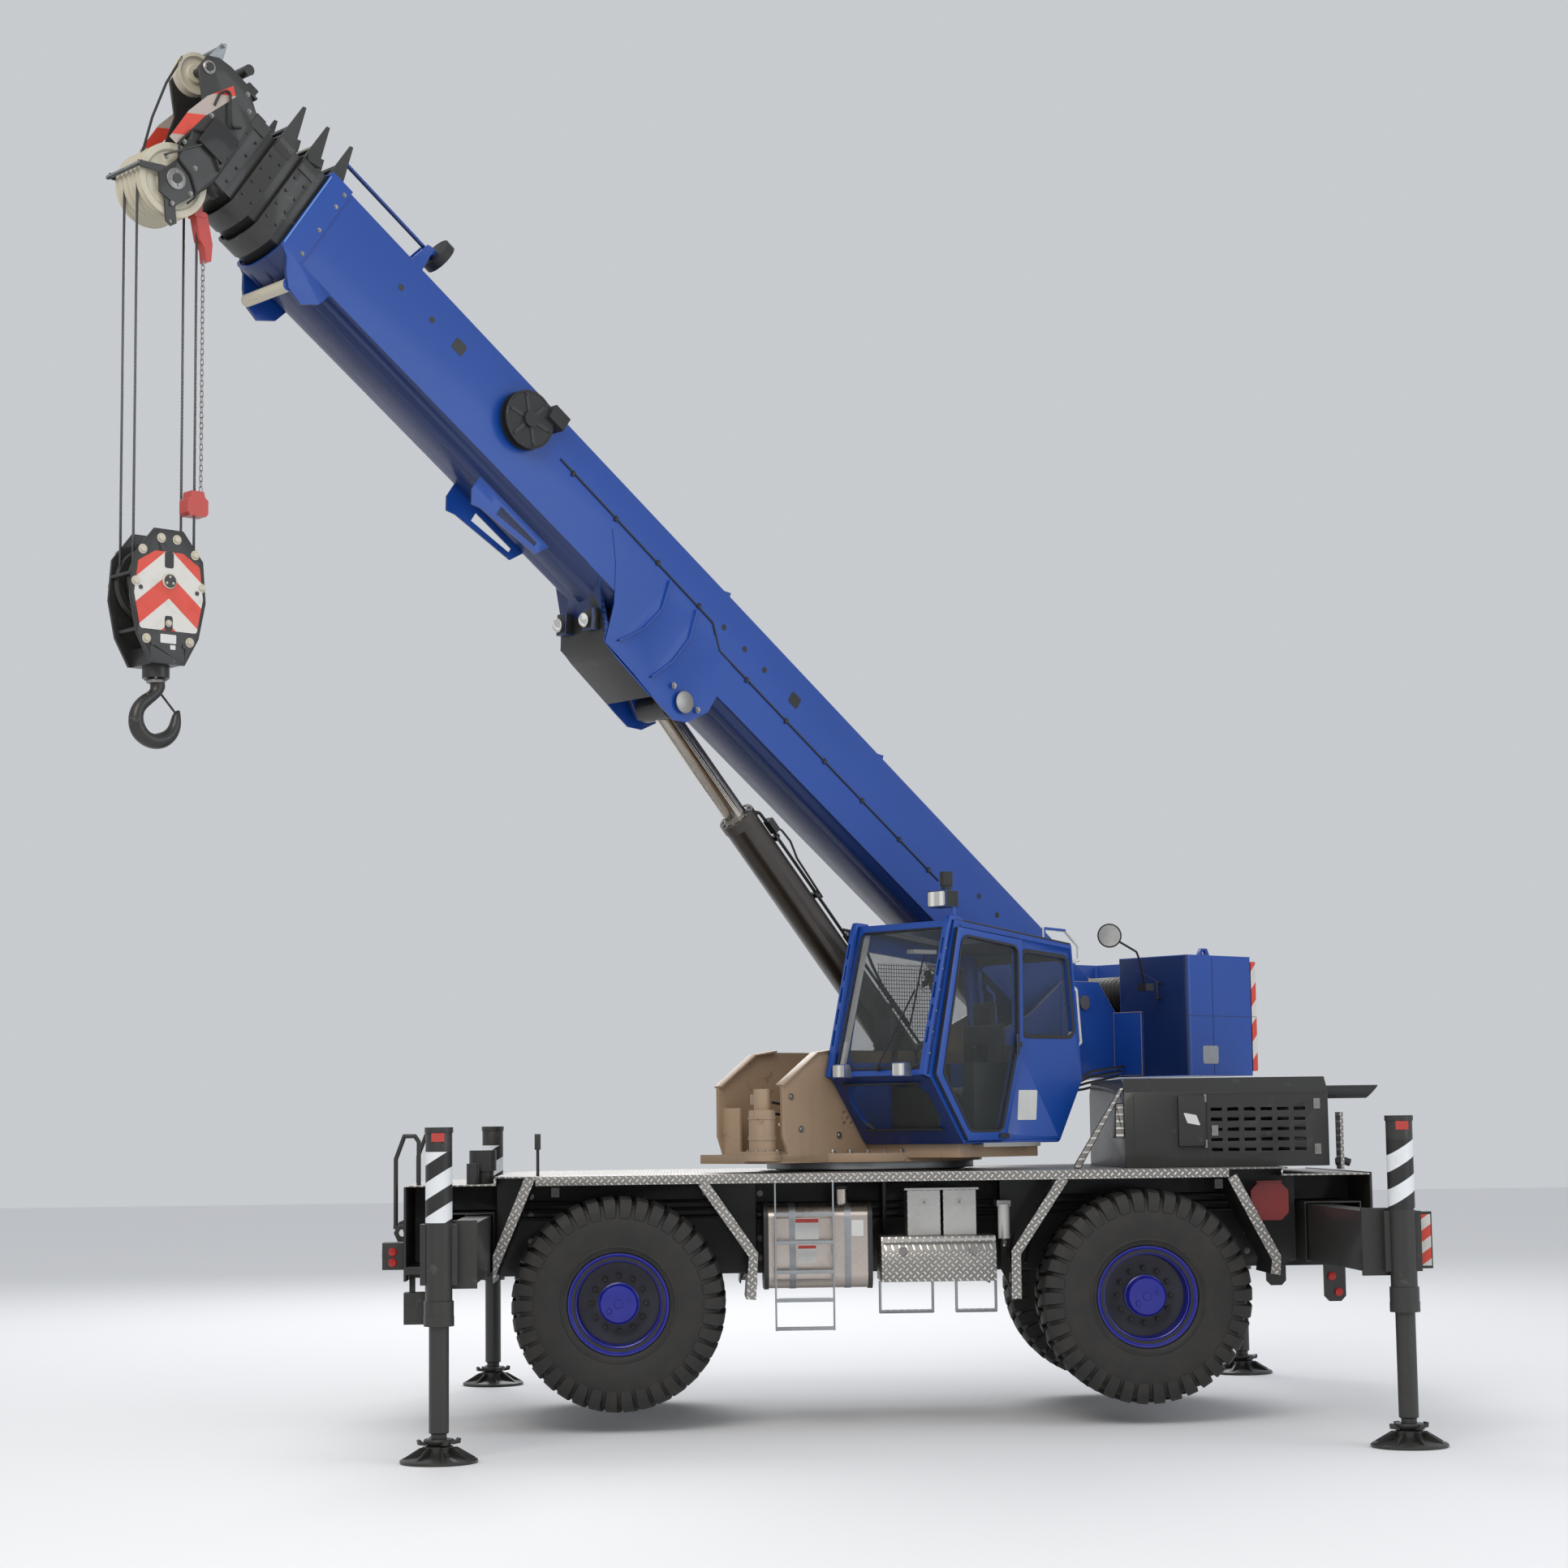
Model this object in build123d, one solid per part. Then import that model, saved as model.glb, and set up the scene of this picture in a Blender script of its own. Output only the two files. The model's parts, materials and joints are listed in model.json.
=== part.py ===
from build123d import *
import os
from math import sin, cos, radians, hypot, atan2, degrees, pi

# Mobile crane on two axles, as standing on its four outriggers.
# Millimetres. X is forward, Y is to the left, Z is up, the ground is Z = 0.

# Pose of the photograph
SLEW = 40.0
LUFF = 35.5

# Wheels and axles
TYRE_R = 808.0
TYRE_CROWN_R = 772.0
TYRE_LUGS = 38
RIM_FLANGE_R = 381.0
WHEEL_X = 2000.0
WHEEL_Z = 959.0
TYRE_OUT_Y = 1469.0
KINGPIN_Y = 850.0

# Carrier
DECK_TOP = 1920.0
DECK_Y = 1450.0
FRAME_Y = 430.0
FRAME_FRONT = 3630.0
EYE_FRONT = FRAME_FRONT + 65
FRAME_REAR = -3790.0
FRAME_LOW = 1130.0
FRAME_TOP = 1850.0

# Outriggers
JACK_Y = 3155.0
JACK_FRONT_X = 3212.0
JACK_REAR_X = -3545.0
BEAM_W = 190.0
BEAM_LOW = 1210.0
BEAM_TOP = 1630.0
BEAM_LEN = 2450.0
HOUSING_R = 92.0
ROD_R = 69.5
FLOAT_R = 270.0

# Superstructure
RING_R = 830.0
RING_TOP = 1990.0
PLATE_Y = 390.0
DRIVE_X = 1400.0
DRIVE_Y = 275.0
PIVOT_X = -2150.0
PIVOT_Z = 3280.0
CYL_X = -900.0
CYL_Z = 2300.0
EYE_S = 4800.0
EYE_N = -700.0
PIN_R = 60.0
PIN_GAP = 0.05
EYE_HALF = 155.0
LUG_GAP = 7.0
LUG_W = 48.0
BARREL_R = 142.0
RAM_R = 92.0

# Boom sections, sizes of the base section and the step to the next one
BOOM_HW = 270.0
BOOM_TOP = 300.0
BOOM_BEND = -430.0
BOOM_LOW = -550.0
BOOM_STEP = 30.0
BOOM_WALL = 10.0
BOOM_FRONT = 9430.0
COLLAR_STEP = 220.0

# Head
SHEAVE_R = 260.0
ROPE_R = 232.0
HEAD_S = BOOM_FRONT + 830.0
HEAD_N = -620.0
TOP_S = HEAD_S + 285.0
TOP_N = 210.0
TOP_R = 150.0
FALL_LEN = 2770.0
REEL_S = 7172.0

# Running gap of pads, rings and pins that carry a moving piece
FIT = 0.3

# Cab
CAB_IN = 410.0
CAB_OUT = 1500.0
CAB_LOW = 2125.0


def box(x0, x1, y0, y1, z0, z1):
    return Pos((x0 + x1) / 2, (y0 + y1) / 2, (z0 + z1) / 2) * Box(x1 - x0, y1 - y0, z1 - z0)


def cyl_z(x, y, z0, z1, r):
    return Pos(x, y, (z0 + z1) / 2) * Cylinder(r, z1 - z0)


def cyl_y(x, z, y0, y1, r):
    return Pos(x, (y0 + y1) / 2, z) * Rot(90, 0, 0) * Cylinder(r, y1 - y0)


def cyl_x(y, z, x0, x1, r):
    return Pos((x0 + x1) / 2, y, z) * Rot(0, 90, 0) * Cylinder(r, x1 - x0)


def rod(p, q, r):
    v = Vector(*q) - Vector(*p)
    plane = Plane(origin=p, z_dir=v)
    return extrude(plane * Circle(r), amount=v.length)


def side(points, y0, y1):
    # Polygon in X and Z, thick from y0 to y1
    plane = Plane(origin=(0, y0, 0), x_dir=(1, 0, 0), z_dir=(0, -1, 0))
    return extrude(plane * make_face(Polyline(*points, close=True)), amount=-(y1 - y0))


def plan(points, z0, z1):
    return extrude(Pos(0, 0, z0) * make_face(Polyline(*points, close=True)), amount=z1 - z0)


def cross(points, x0, x1):
    # Polygon in Y and Z, long from x0 to x1
    plane = Plane(origin=(x0, 0, 0), x_dir=(0, 1, 0), z_dir=(1, 0, 0))
    return extrude(plane * make_face(Polyline(*points, close=True)), amount=x1 - x0)


def bent(points, t):
    # Offsets a path in X and Z to one side, for sheet metal seen from the side
    out = []
    n = len(points)
    for i in range(n):
        a = points[max(i - 1, 0)]
        b = points[min(i + 1, n - 1)]
        d = hypot(b[0] - a[0], b[1] - a[1])
        out.append((points[i][0] - (b[1] - a[1]) / d * t, points[i][1] + (b[0] - a[0]) / d * t))
    return points + out[::-1]


def tube_path(points, r):
    solid = rod(points[0], points[1], r)
    for a, b in zip(points[1:], points[2:]):
        solid += rod(a, b, r) + Pos(*a) * Sphere(r)
    return solid


NODES = {}


def fixed(name, solid):
    NODES[name] = solid


def turned(name, solid):
    NODES[name] = Rot(0, 0, SLEW) * solid


def lifted(name, solid):
    # From the boom's own frame, with s along X and n along Z
    turned(name, Pos(PIVOT_X, 0, PIVOT_Z) * Rot(0, -LUFF, 0) * solid)


def mirror_y(solid):
    return mirror(solid, about=Plane.XZ)


def window(points, y0, y1, r):
    # Side polygon with rounded corners, as a cutter or a pane
    solid = side(points, y0, y1)
    return fillet(solid.edges().filter_by(Axis.Y), r)


def screen(points, y0, y1, r):
    # Cutter through the front or rear wall, with rounded corners
    solid = side(points, y0, y1)
    return fillet(solid.edges().filter_by(Axis.X), r)


def hooked(points, radii):
    # Round bar of changing thickness along a path
    faces = []
    for i, p in enumerate(points):
        a = Vector(*points[max(i - 1, 0)])
        b = Vector(*points[min(i + 1, len(points) - 1)])
        faces.append(Plane(origin=p, z_dir=b - a, x_dir=(0, 1, 0)) * Circle(radii[i]))
    return loft(faces)


# Carrier frame: two side members with top and bottom plates and the outrigger boxes
frame = box(FRAME_REAR + 20, FRAME_FRONT - 20, -FRAME_Y, FRAME_Y, FRAME_LOW, FRAME_TOP)
frame -= box(FRAME_REAR + 40, FRAME_FRONT - 40, -FRAME_Y + 25, FRAME_Y - 25, FRAME_LOW + 20, FRAME_TOP - 20)
for jx, inner in ((JACK_FRONT_X, -1), (JACK_REAR_X, 1)):
    if inner < 0:
        x0, x1 = 2941.0, 3379.0
    else:
        x0, x1 = -3699.0, -3261.0
    frame -= box(x0, x1, -FRAME_Y, FRAME_Y, BEAM_LOW - 20, BEAM_TOP + 20)
    frame += box(x0, x1, -1200, 1200, BEAM_LOW - 20, BEAM_TOP + 20)
    xm = (x0 + x1) / 2
    frame -= box(x0 + 12, xm - 3, -1200, 1200, BEAM_LOW - 7, BEAM_TOP + 7)
    frame -= box(xm + 3, x1 - 12, -1200, 1200, BEAM_LOW - 7, BEAM_TOP + 7)
    for ya, yb in ((-1200, -1080), (1080, 1200)):
        frame += box(x0 + 12, xm - 3, ya, yb, BEAM_LOW - 7, BEAM_LOW - FIT)
        frame += box(xm + 3, x1 - 12, ya, yb, BEAM_LOW - 7, BEAM_LOW - FIT)
for y0, y1 in ((-1200, -FRAME_Y), (FRAME_Y, 1200)):
    frame += box(3379, FRAME_FRONT - 20, y0, y1, 1190, 1250)
    frame += box(FRAME_REAR + 20, -3699, y0, y1, 1190, 1250)
frame += box(FRAME_FRONT - 20, FRAME_FRONT, -1200, 1200, 1140, 1850)
frame += box(FRAME_REAR, FRAME_REAR + 20, -1200, 1200, 1140, 1870)
frame += cyl_z(0, 0, FRAME_TOP, 1935, 760)
frame -= cyl_z(0, 0, FRAME_TOP, 1935, 620)
# Cross members that hold the boxes and tanks at both sides
for x in (-1000, -60, 950):
    frame += box(x - 15, x + 15, -760, 760, 1150, 1850)
    frame -= box(x - 15, x + 15, -FRAME_Y + 25, FRAME_Y - 25, FRAME_LOW + 20, FRAME_TOP - 20)
for xa in (250, 700, -500, -800):
    frame += box(xa, xa + 60, -760, 760, 1200, 1260)
    frame -= box(xa - 1, xa + 61, -FRAME_Y + 25, FRAME_Y - 25, FRAME_LOW + 20, FRAME_TOP - 20)
# Axle seats under the frame
for x in (WHEEL_X, -WHEEL_X):
    frame += box(x - 200, x - 60, -FRAME_Y, FRAME_Y, 1080, FRAME_LOW)
    frame += box(x + 60, x + 200, -FRAME_Y, FRAME_Y, 1080, FRAME_LOW)
# Tow lugs on the front plate
lug = side([(FRAME_FRONT, 1365), (3720, 1400), (3760, 1485), (3720, 1570), (FRAME_FRONT, 1605)], 560, 600)
lug -= cyl_y(EYE_FRONT, 1485, 560, 600, 27)
frame += lug + mirror_y(lug)
fixed("carrier_frame", frame)

# Deck with its edge strip
deck = box(-3090, 2620, -DECK_Y, DECK_Y, DECK_TOP - 12, DECK_TOP)
deck += plan([(2620, -DECK_Y), (2940, -1200), (2940, 1200), (2620, DECK_Y)], DECK_TOP - 12, DECK_TOP)
deck += box(2940, FRAME_FRONT - 20, -1200, 1200, 1850, 1862)
deck += box(2928, 2940, -1200, 1200, 1850, DECK_TOP)
deck += box(FRAME_REAR + 20, -3090, -1200, 1200, 1850, 1862)
deck += box(-3102, -3090, -1200, 1200, 1850, DECK_TOP)
for y in (-1, 1):
    ye = sorted((y * DECK_Y, y * (DECK_Y - 12)))
    deck += box(-2640, 2620, ye[0], ye[1], DECK_TOP - 70, DECK_TOP)
deck += box(-3060, 2900, -FRAME_Y, FRAME_Y, 1850, DECK_TOP - 12)
deck -= cyl_z(0, 0, 1840, DECK_TOP + 10, 800)
fixed("deck", deck)

# Mudguards: bent plates at both ends of each wheel, carried by the frame
paths = [
    [(2620, 1908), (2915, 1200), (2932, 1130)],
    [(1390, 1838), (1015, 1300), (1040, 985)],
    [(-1410, 1838), (-1040, 1290), (-1040, 960)],
    [(-2630, 1838), (-2950, 1220), (-2935, 1120)],
]
pieces = []
for i, path in enumerate(paths):
    if i == 1 or i == 3:
        path = path[::-1]
    shape = side(bent(path, 12), 870, DECK_Y)
    shape += side(bent(path, 75), DECK_Y - 8, DECK_Y)
    pieces.append(shape)
    pieces.append(mirror_y(shape))
mud = pieces[0]
for p in pieces[1:]:
    mud = mud + p
for x0, x1 in ((1000, 1390), (-1410, -1020), (-3000, -2630), (2620, 2930)):
    for s in (-1, 1):
        ys = sorted((s * 870, s * 858))
        if x0 == 1000:
            pts = [(950, 1150), (1040, 985), (1015, 1300), (1390, 1908), (950, 1908)]
        elif x0 == -1410:
            pts = [(-950, 1150), (-1040, 960), (-1040, 1290), (-1410, 1908), (-950, 1908)]
        elif x0 == -3000:
            pts = [(-3250, 1190), (-2935, 1120), (-2950, 1220), (-2630, 1908), (-3250, 1908)]
        else:
            pts = [(2940, 1190), (2932, 1130), (2915, 1200), (2620, 1908), (2940, 1908)]
        mud += side(pts, ys[0], ys[1])
mud -= box(-4000, 4000, -1500, 1500, DECK_TOP - 12, 2000)
mud -= box(2940, 3400, -1500, 1500, 1000, 1910)
for ya, yb in ((-DECK_Y, 12 - DECK_Y), (DECK_Y - 12, DECK_Y)):
    mud -= box(-2640, 2620, ya, yb, DECK_TOP - 70, DECK_TOP)
mud -= box(-3300, -3090, -DECK_Y, DECK_Y, 1850, DECK_TOP)
mud -= box(2928, 2950, -DECK_Y, DECK_Y, 1850, DECK_TOP)
fixed("mudguards", mud)

# Engine hood, hollow, and the engine inside
hood_pts = [(-1000, DECK_TOP), (1000, DECK_TOP), (1000, 2500), (880, 2610), (-880, 2610), (-1000, 2500)]
hood_in = [(-975, 1900), (975, 1900), (975, 2488), (868, 2585), (-868, 2585), (-975, 2488)]
hood = cross(hood_pts, -3510, -1920)
hood -= cross(hood_in, -3485, -1945)
for i in range(6):
    for j in range(5):
        xs = -3330 + i * 130
        zs = 2040 + j * 78
        hood -= box(xs, xs + 90, -1010, 1010, zs, zs + 24)
hood += box(-2540, -2330, 1000, 1050, 2080, 2470)
hood += box(-1925, -1850, 700, 960, 2150, 2420)
hood += side([(-1925, 2540), (-1890, 2540), (-1525, 1955), (-1525, DECK_TOP), (-1570, DECK_TOP)], 960, 990)
fixed("engine_hood", hood)
fixed("engine_block", box(-3250, -2050, -330, 330, DECK_TOP, 2460))
pipe = cyl_x(600, 2490, -3990, -3510, 52)
pipe -= side([(-4000, 2400), (-3860, 2400), (-4000, 2545)], 500, 700)
fixed("exhaust", pipe)

# Tank and ladder on the left, boxes and steps behind them
tank = box(80, 890, 760, 1300, 1050, 1680)
tank = fillet(tank.edges().filter_by(Axis.X), 110)
for x in (72, 862):
    rim = box(x, x + 36, 754, 1308, 1042, 1688)
    tank += fillet(rim.edges().filter_by(Axis.X), 114)
tank += cyl_z(300, 1150, 1670, 1800, 50) + cyl_z(300, 1150, 1790, 1815, 62)
fixed("fuel_tank", tank)
boxes = side([(-870, 1090), (5, 1090), (5, 1430), (-870, 1430)], 760, 1230)
boxes += cross([(1230, 1090), (1310, 1090), (1310, 1300), (1255, 1430), (1230, 1430)], -870, 5)
boxes += box(-740, -485, 760, 1120, 1430, 1780) + box(-465, -210, 760, 1120, 1430, 1780)
boxes += box(-760, -190, 760, 1130, 1775, 1790)
for x0, x1 in ((-380, 20), (-860, -560)):
    boxes += tube_path([(x0, 1290, 1100), (x0, 1290, 865), (x1, 1290, 865), (x1, 1290, 1100)], 10)
    boxes += box(x0, x1, 1275, 1305, 862, 882)
boxes += cyl_z(-950, 1130, 1400, 1660, 45) + box(-1010, -900, 870, 1100, 1640, 1690) + cyl_z(-950, 1130, 1340, 1400, 25)
right_boxes = box(-900, 900, -1320, -760, 1090, 1600)
right_boxes += box(-820, -60, -1160, -760, 1600, 1800) + box(60, 820, -1160, -760, 1600, 1740)
fixed("toolboxes", boxes + right_boxes)
lad = box(370, 382, 1390, DECK_Y, 745, 1850) + box(808, 820, 1390, DECK_Y, 745, 1850)
for z in (760, 970, 1180, 1400, 1610):
    lad += box(370, 820, 1390, DECK_Y, z - 12, z + 12)
fixed("ladder", lad)

# Axle housings, one piece each with the differential
for name, x in (("front_axle", WHEEL_X), ("rear_axle", -WHEEL_X)):
    ax = cyl_y(x, WHEEL_Z, -700, 700, 105)
    ax += Pos(x, 0, WHEEL_Z) * Sphere(230)
    ax += box(x - 200, x - 60, -330, -200, WHEEL_Z, 1080) + box(x - 200, x - 60, 200, 330, WHEEL_Z, 1080)
    ax += box(x + 60, x + 200, -330, -200, WHEEL_Z, 1080) + box(x + 60, x + 200, 200, 330, WHEEL_Z, 1080)
    ax += box(x - 130, x + 130, -330, 330, WHEEL_Z - 60, 1060)
    ax -= box(x - 300, x + 300, -440, 440, 1080, 1300)
    for s in (-1, 1):
        for z0, z1 in ((WHEEL_Z + 130, WHEEL_Z + 180), (WHEEL_Z - 180, WHEEL_Z - 130)):
            ys = sorted((s * 690, s * (KINGPIN_Y + 60)))
            ax += box(x - 70, x + 70, ys[0], ys[1], z0, z1)
        ys = sorted((s * 640, s * 700))
        ax += box(x - 80, x + 80, ys[0], ys[1], WHEEL_Z - 180, WHEEL_Z + 180)
    fixed(name, ax)

# Knuckles, rims with their dish and hub, and tyres with their lugs
WHEEL_MID = 1170.5
rim_prof = [
    (0, 1190), (306, 1190), (305, 923), (RIM_FLANGE_R, 923), (RIM_FLANGE_R, 938),
    (330, 938), (330, 1403), (RIM_FLANGE_R, 1403), (RIM_FLANGE_R, 1418), (357, 1405), (333, 1382), (318, 1356),
    (306, 1215), (235, 1205), (160, 1232), (149, 1290), (147, 1378), (136, 1392), (34, 1399), (0, 1405),
]
rim_shape = revolve(make_face(Polyline(*[(0, y, q) for q, y in rim_prof], close=True)), Axis.Y)
rim_shape += [Rot(0, i * 30, 0) * cyl_y(205, 0, 1200, 1228, 17) for i in range(12)]
half = [
    (330 + FIT, 1403), (RIM_FLANGE_R + FIT, 1403), (RIM_FLANGE_R + 12, 1436), (500, 1460), (590, TYRE_OUT_Y - 5), (690, 1450),
    (745, 1420), (TYRE_CROWN_R, 1330),
]
prof = half + [(q, 2 * WHEEL_MID - y) for q, y in half[::-1]]
tyre_shape = revolve(make_face(Polyline(*[(0, y, q) for q, y in prof], close=True)), Axis.Y)
# A lug runs from the crown over the shoulder, and the pattern is turned round the tyre
lug_pts = [(1190, 745), (1190, TYRE_R), (1385, TYRE_R - 3), (1440, 775), (TYRE_OUT_Y, 690), (TYRE_OUT_Y, 630), (1435, 640), (1400, 735)]
lug_half = pi * TYRE_R / TYRE_LUGS * 0.76
lug = extrude(Plane.YZ * make_face(Polyline(*lug_pts, close=True)), amount=lug_half, both=True)
other = mirror(lug, about=Plane(origin=(0, WHEEL_MID, 0), z_dir=(0, 1, 0)))
lugs = []
for i in range(TYRE_LUGS):
    lugs.append(Rot(0, i * 360 / TYRE_LUGS, 0) * lug)
    lugs.append(Rot(0, (i + 0.5) * 360 / TYRE_LUGS, 0) * other)
tyre_shape += lugs
for tag, x, s in (("fl", WHEEL_X, 1), ("fr", WHEEL_X, -1), ("rl", -WHEEL_X, 1), ("rr", -WHEEL_X, -1)):
    kn = cyl_z(x, KINGPIN_Y, WHEEL_Z - 130 + FIT, WHEEL_Z + 130 - FIT, 62)
    kn += cyl_y(x, WHEEL_Z, KINGPIN_Y, 1190 - FIT, 90)
    kn += cyl_y(x, WHEEL_Z, 1060, 1100, 190)
    kn += box(x - 150, x - 60, KINGPIN_Y - 40, KINGPIN_Y + 40, WHEEL_Z - 30, WHEEL_Z + 30)
    for name, solid in (("knuckle", kn), ("rim", Pos(x, 0, WHEEL_Z) * rim_shape), ("tyre", Pos(x, 0, WHEEL_Z) * tyre_shape)):
        fixed(name + "_" + tag, solid if s > 0 else mirror_y(solid))

# Outrigger beams with their jack housings, and the rods with floats
for tag, jx, s in (("fl", JACK_FRONT_X, 1), ("fr", JACK_FRONT_X, -1), ("rl", JACK_REAR_X, 1), ("rr", JACK_REAR_X, -1)):
    if jx > 0:
        x0 = 2960.0 if s > 0 else 3170.0
    else:
        x0 = -3470.0 if s > 0 else -3680.0
    y1 = JACK_Y - 95
    beam = box(x0, x0 + BEAM_W, y1 - BEAM_LEN, y1, BEAM_LOW, BEAM_TOP)
    beam -= box(x0 + 12, x0 + BEAM_W - 12, y1 - BEAM_LEN, y1 - 12, BEAM_LOW + 12, BEAM_TOP - 12)
    xa = min(x0, jx - HOUSING_R)
    xb = max(x0 + BEAM_W, jx + HOUSING_R)
    beam += box(xa, xb, y1, JACK_Y - 60, BEAM_LOW, BEAM_TOP)
    beam += cyl_z(jx, JACK_Y, 930, 2300, HOUSING_R)
    beam += cyl_z(jx, JACK_Y, 930, 1000, HOUSING_R + 14) + cyl_z(jx, JACK_Y, 2262, 2300, HOUSING_R + 8)
    beam += box(xa - 8, xb + 8, JACK_Y - 100, JACK_Y - 60, BEAM_LOW - 30, BEAM_TOP + 22)
    beam -= cyl_z(jx, JACK_Y, 990, 2270, HOUSING_R - 16)
    beam -= cyl_z(jx, JACK_Y, 930, 990, ROD_R + FIT)
    leg = cyl_z(jx, JACK_Y, 150, 1560, ROD_R)
    leg += cyl_z(jx, JACK_Y, 0, 24, FLOAT_R) + Pos(jx, JACK_Y, 90) * Cone(145, 105, 132)
    for i in range(8):
        rib = side([(jx + 90, 24), (jx + FLOAT_R - 12, 24), (jx + FLOAT_R - 12, 40), (jx + 100, 135)], JACK_Y - 5, JACK_Y + 5)
        leg += Pos(jx, JACK_Y, 0) * Rot(0, 0, i * 45 + 22.5) * Pos(-jx, -JACK_Y, 0) * rib
    fixed("outrigger_beam_" + tag, beam if s > 0 else mirror_y(beam))
    fixed("jack_leg_" + tag, leg if s > 0 else mirror_y(leg))

# Front fittings: handrails, lamp boxes, filter housing and air cleaner
hoop = [(3705, 1020, 1560), (3705, 1020, 2060), (3640, 1020, 2235), (3560, 1020, 2235), (3530, 1020, 2190), (3530, 1020, 1862)]
fit = tube_path(hoop, 17) + box(3630, 3722, 1003, 1037, 1530, 1560)
fit += mirror_y(fit)
for y in (-1110, 890):
    fit += box(FRAME_FRONT, 3800, y, y + 220, 1225, 1430)
    fit += box(3480, 3640, y + 20, y + 190, 810, 1050) + box(3560, 3600, y + 60, y + 150, 1050, 1190)
fit += box(3080, 3150, 900, 1000, 1862, 2010) + cyl_z(3115, 1050, 1862, 2020, 48)
fit += cyl_z(3055, 780, 1862, 1960, 85) + cyl_z(3055, 780, 1960, 2118, 105)
fit += rod((2612, 1190, DECK_TOP), (2612, 1190, 2190), 12) + box(2590, 2634, 1150, 1230, 2120, 2240)
for y in (-420, 380):
    fit += side([(FRAME_FRONT, 1440), (3690, 1460), (3705, 1500), (3690, 1540), (FRAME_FRONT, 1560)], y, y + 40)
fixed("front_fittings", fit)

# Slew ring between carrier and superstructure
ring = cyl_z(0, 0, 1935, RING_TOP - FIT, RING_R) - cyl_z(0, 0, 1935, RING_TOP - FIT, 620)
fixed("slew_ring", ring)

# Turntable: base plate, two side plates, cross plates, cab arms
tt = cyl_z(0, 0, RING_TOP, 2060, 900)
tt += box(0, DRIVE_X + 60, -PLATE_Y, PLATE_Y, RING_TOP, 2060)
tt += cyl_z(DRIVE_X, DRIVE_Y, RING_TOP + 20, 2060, 150)
tt -= cyl_z(0, 0, RING_TOP, 2060, 300)
cheek_pts = [
    (1235, 2060), (1290, 2200), (1290, 2580), (920, 2830), (700, 2860), (-700, 2860), (-1500, 3180), (-1900, 3460),
    (-2350, 3460), (-2560, 3200), (-2560, 2660), (-1800, 2640), (-1400, 2540), (-900, 2060),
]
cheek = side(cheek_pts, PLATE_Y - 30, PLATE_Y)
cheek += side(bent([(1290, 2580), (920, 2830), (700, 2860)], -16), PLATE_Y - 70, PLATE_Y + 14)
for x, z in ((600, 2330), (560, 2290), (640, 2290), (560, 2370), (640, 2370)):
    cheek -= cyl_y(x, z, PLATE_Y - 30, PLATE_Y, 18)
cheek += side([(-860, 2060), (-700, 2860), (-670, 2860), (-830, 2060)], PLATE_Y, PLATE_Y + 14)
cheek += side([(-1900, 2700), (-1900, 3430), (-1870, 3430), (-1870, 2700)], PLATE_Y, PLATE_Y + 14)
tt += cheek + mirror_y(cheek)
# The front plate is open in the middle, where the luffing cylinder lies when the boom is down
tt += box(1205, 1235, -PLATE_Y, PLATE_Y, 2060, 2420) - box(1200, 1240, -175, PLATE_Y, 2080, 2430)
tt += side([(-1800, 2640), (-2560, 2660), (-2560, 2690), (-1800, 2670)], -PLATE_Y, PLATE_Y)
tt += side([(-1800, 2640), (-1400, 2540), (-1400, 2570), (-1800, 2670)], -PLATE_Y, PLATE_Y)
for s in (-1, 1):
    ya = sorted((s * (EYE_HALF + 1), s * PLATE_Y))
    tt += cyl_y(CYL_X, CYL_Z, ya[0], ya[1], 95)
    ya = sorted((s * (PLATE_Y - 30), s * 700))
    tt += box(-2560, -2530, ya[0], ya[1], 2660, 3200)
tt += box(-500, 380, PLATE_Y - 1, 1380, 2020, CAB_LOW)
tt -= cyl_y(PIVOT_X, PIVOT_Z, -PLATE_Y, PLATE_Y, PIN_R + PIN_GAP)
turned("turntable", tt)
drive = cyl_z(DRIVE_X, DRIVE_Y, 2060, 2085, 135) + cyl_z(DRIVE_X, DRIVE_Y, 2085, 2400, 102)
drive += cyl_z(DRIVE_X, DRIVE_Y, 2170, 2200, 108) + cyl_z(DRIVE_X, DRIVE_Y, 2330, 2350, 108)
drive += cyl_z(DRIVE_X, DRIVE_Y, 2400, 2561, 62) + box(DRIVE_X - 40, DRIVE_X + 40, DRIVE_Y - 90, DRIVE_Y, 2440, 2520)
turned("slew_drive", drive)

# Counterweight with its notch for the winches
cw_pts = [(-2560, -1200), (-2560, 1200), (-3380, 1200), (-3450, 1130), (-3450, -1130), (-3380, -1200)]
cw = plan(cw_pts, 2650, 3660)
cw = fillet(cw.edges().filter_by(Axis.Z), 40)
cw -= box(-3240, -2560, -440, 440, 2700, 3660)
for y in (-900, 900):
    cw += tube_path([(-2570, y, 3300), (-2515, y, 3300), (-2515, y, 3430), (-2570, y, 3430)], 10)
    cw += side([(-3200, 3660), (-3160, 3740), (-3080, 3740), (-3040, 3660)], y - 15, y + 15) - cyl_y(-3120, 3700, y - 20, y + 20, 22)
turned("counterweight", cw)
win = cyl_y(-2910, 3370, -345, 345, 60) + cyl_y(-2910, 2980, -345, 345, 60)
for z in (3370, 2980):
    win += cyl_y(-2910, z, -300, 300, 150)
    for i in range(12):
        win += cyl_y(-2910, z, -298 + i * 50, -268 + i * 50, 156)
    for y in (-320, 300):
        win += cyl_y(-2910, z, y, y + 20, 190)
    win += cyl_y(-2910, z, 345, 425, 105)
win += box(-3050, -2750, -400, -340, 2700, 3500) + box(-3050, -2750, 340, 400, 2700, 3500)
win += box(-3050, -2750, -400, 400, 2700, 2730)
turned("winches", win)

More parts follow.
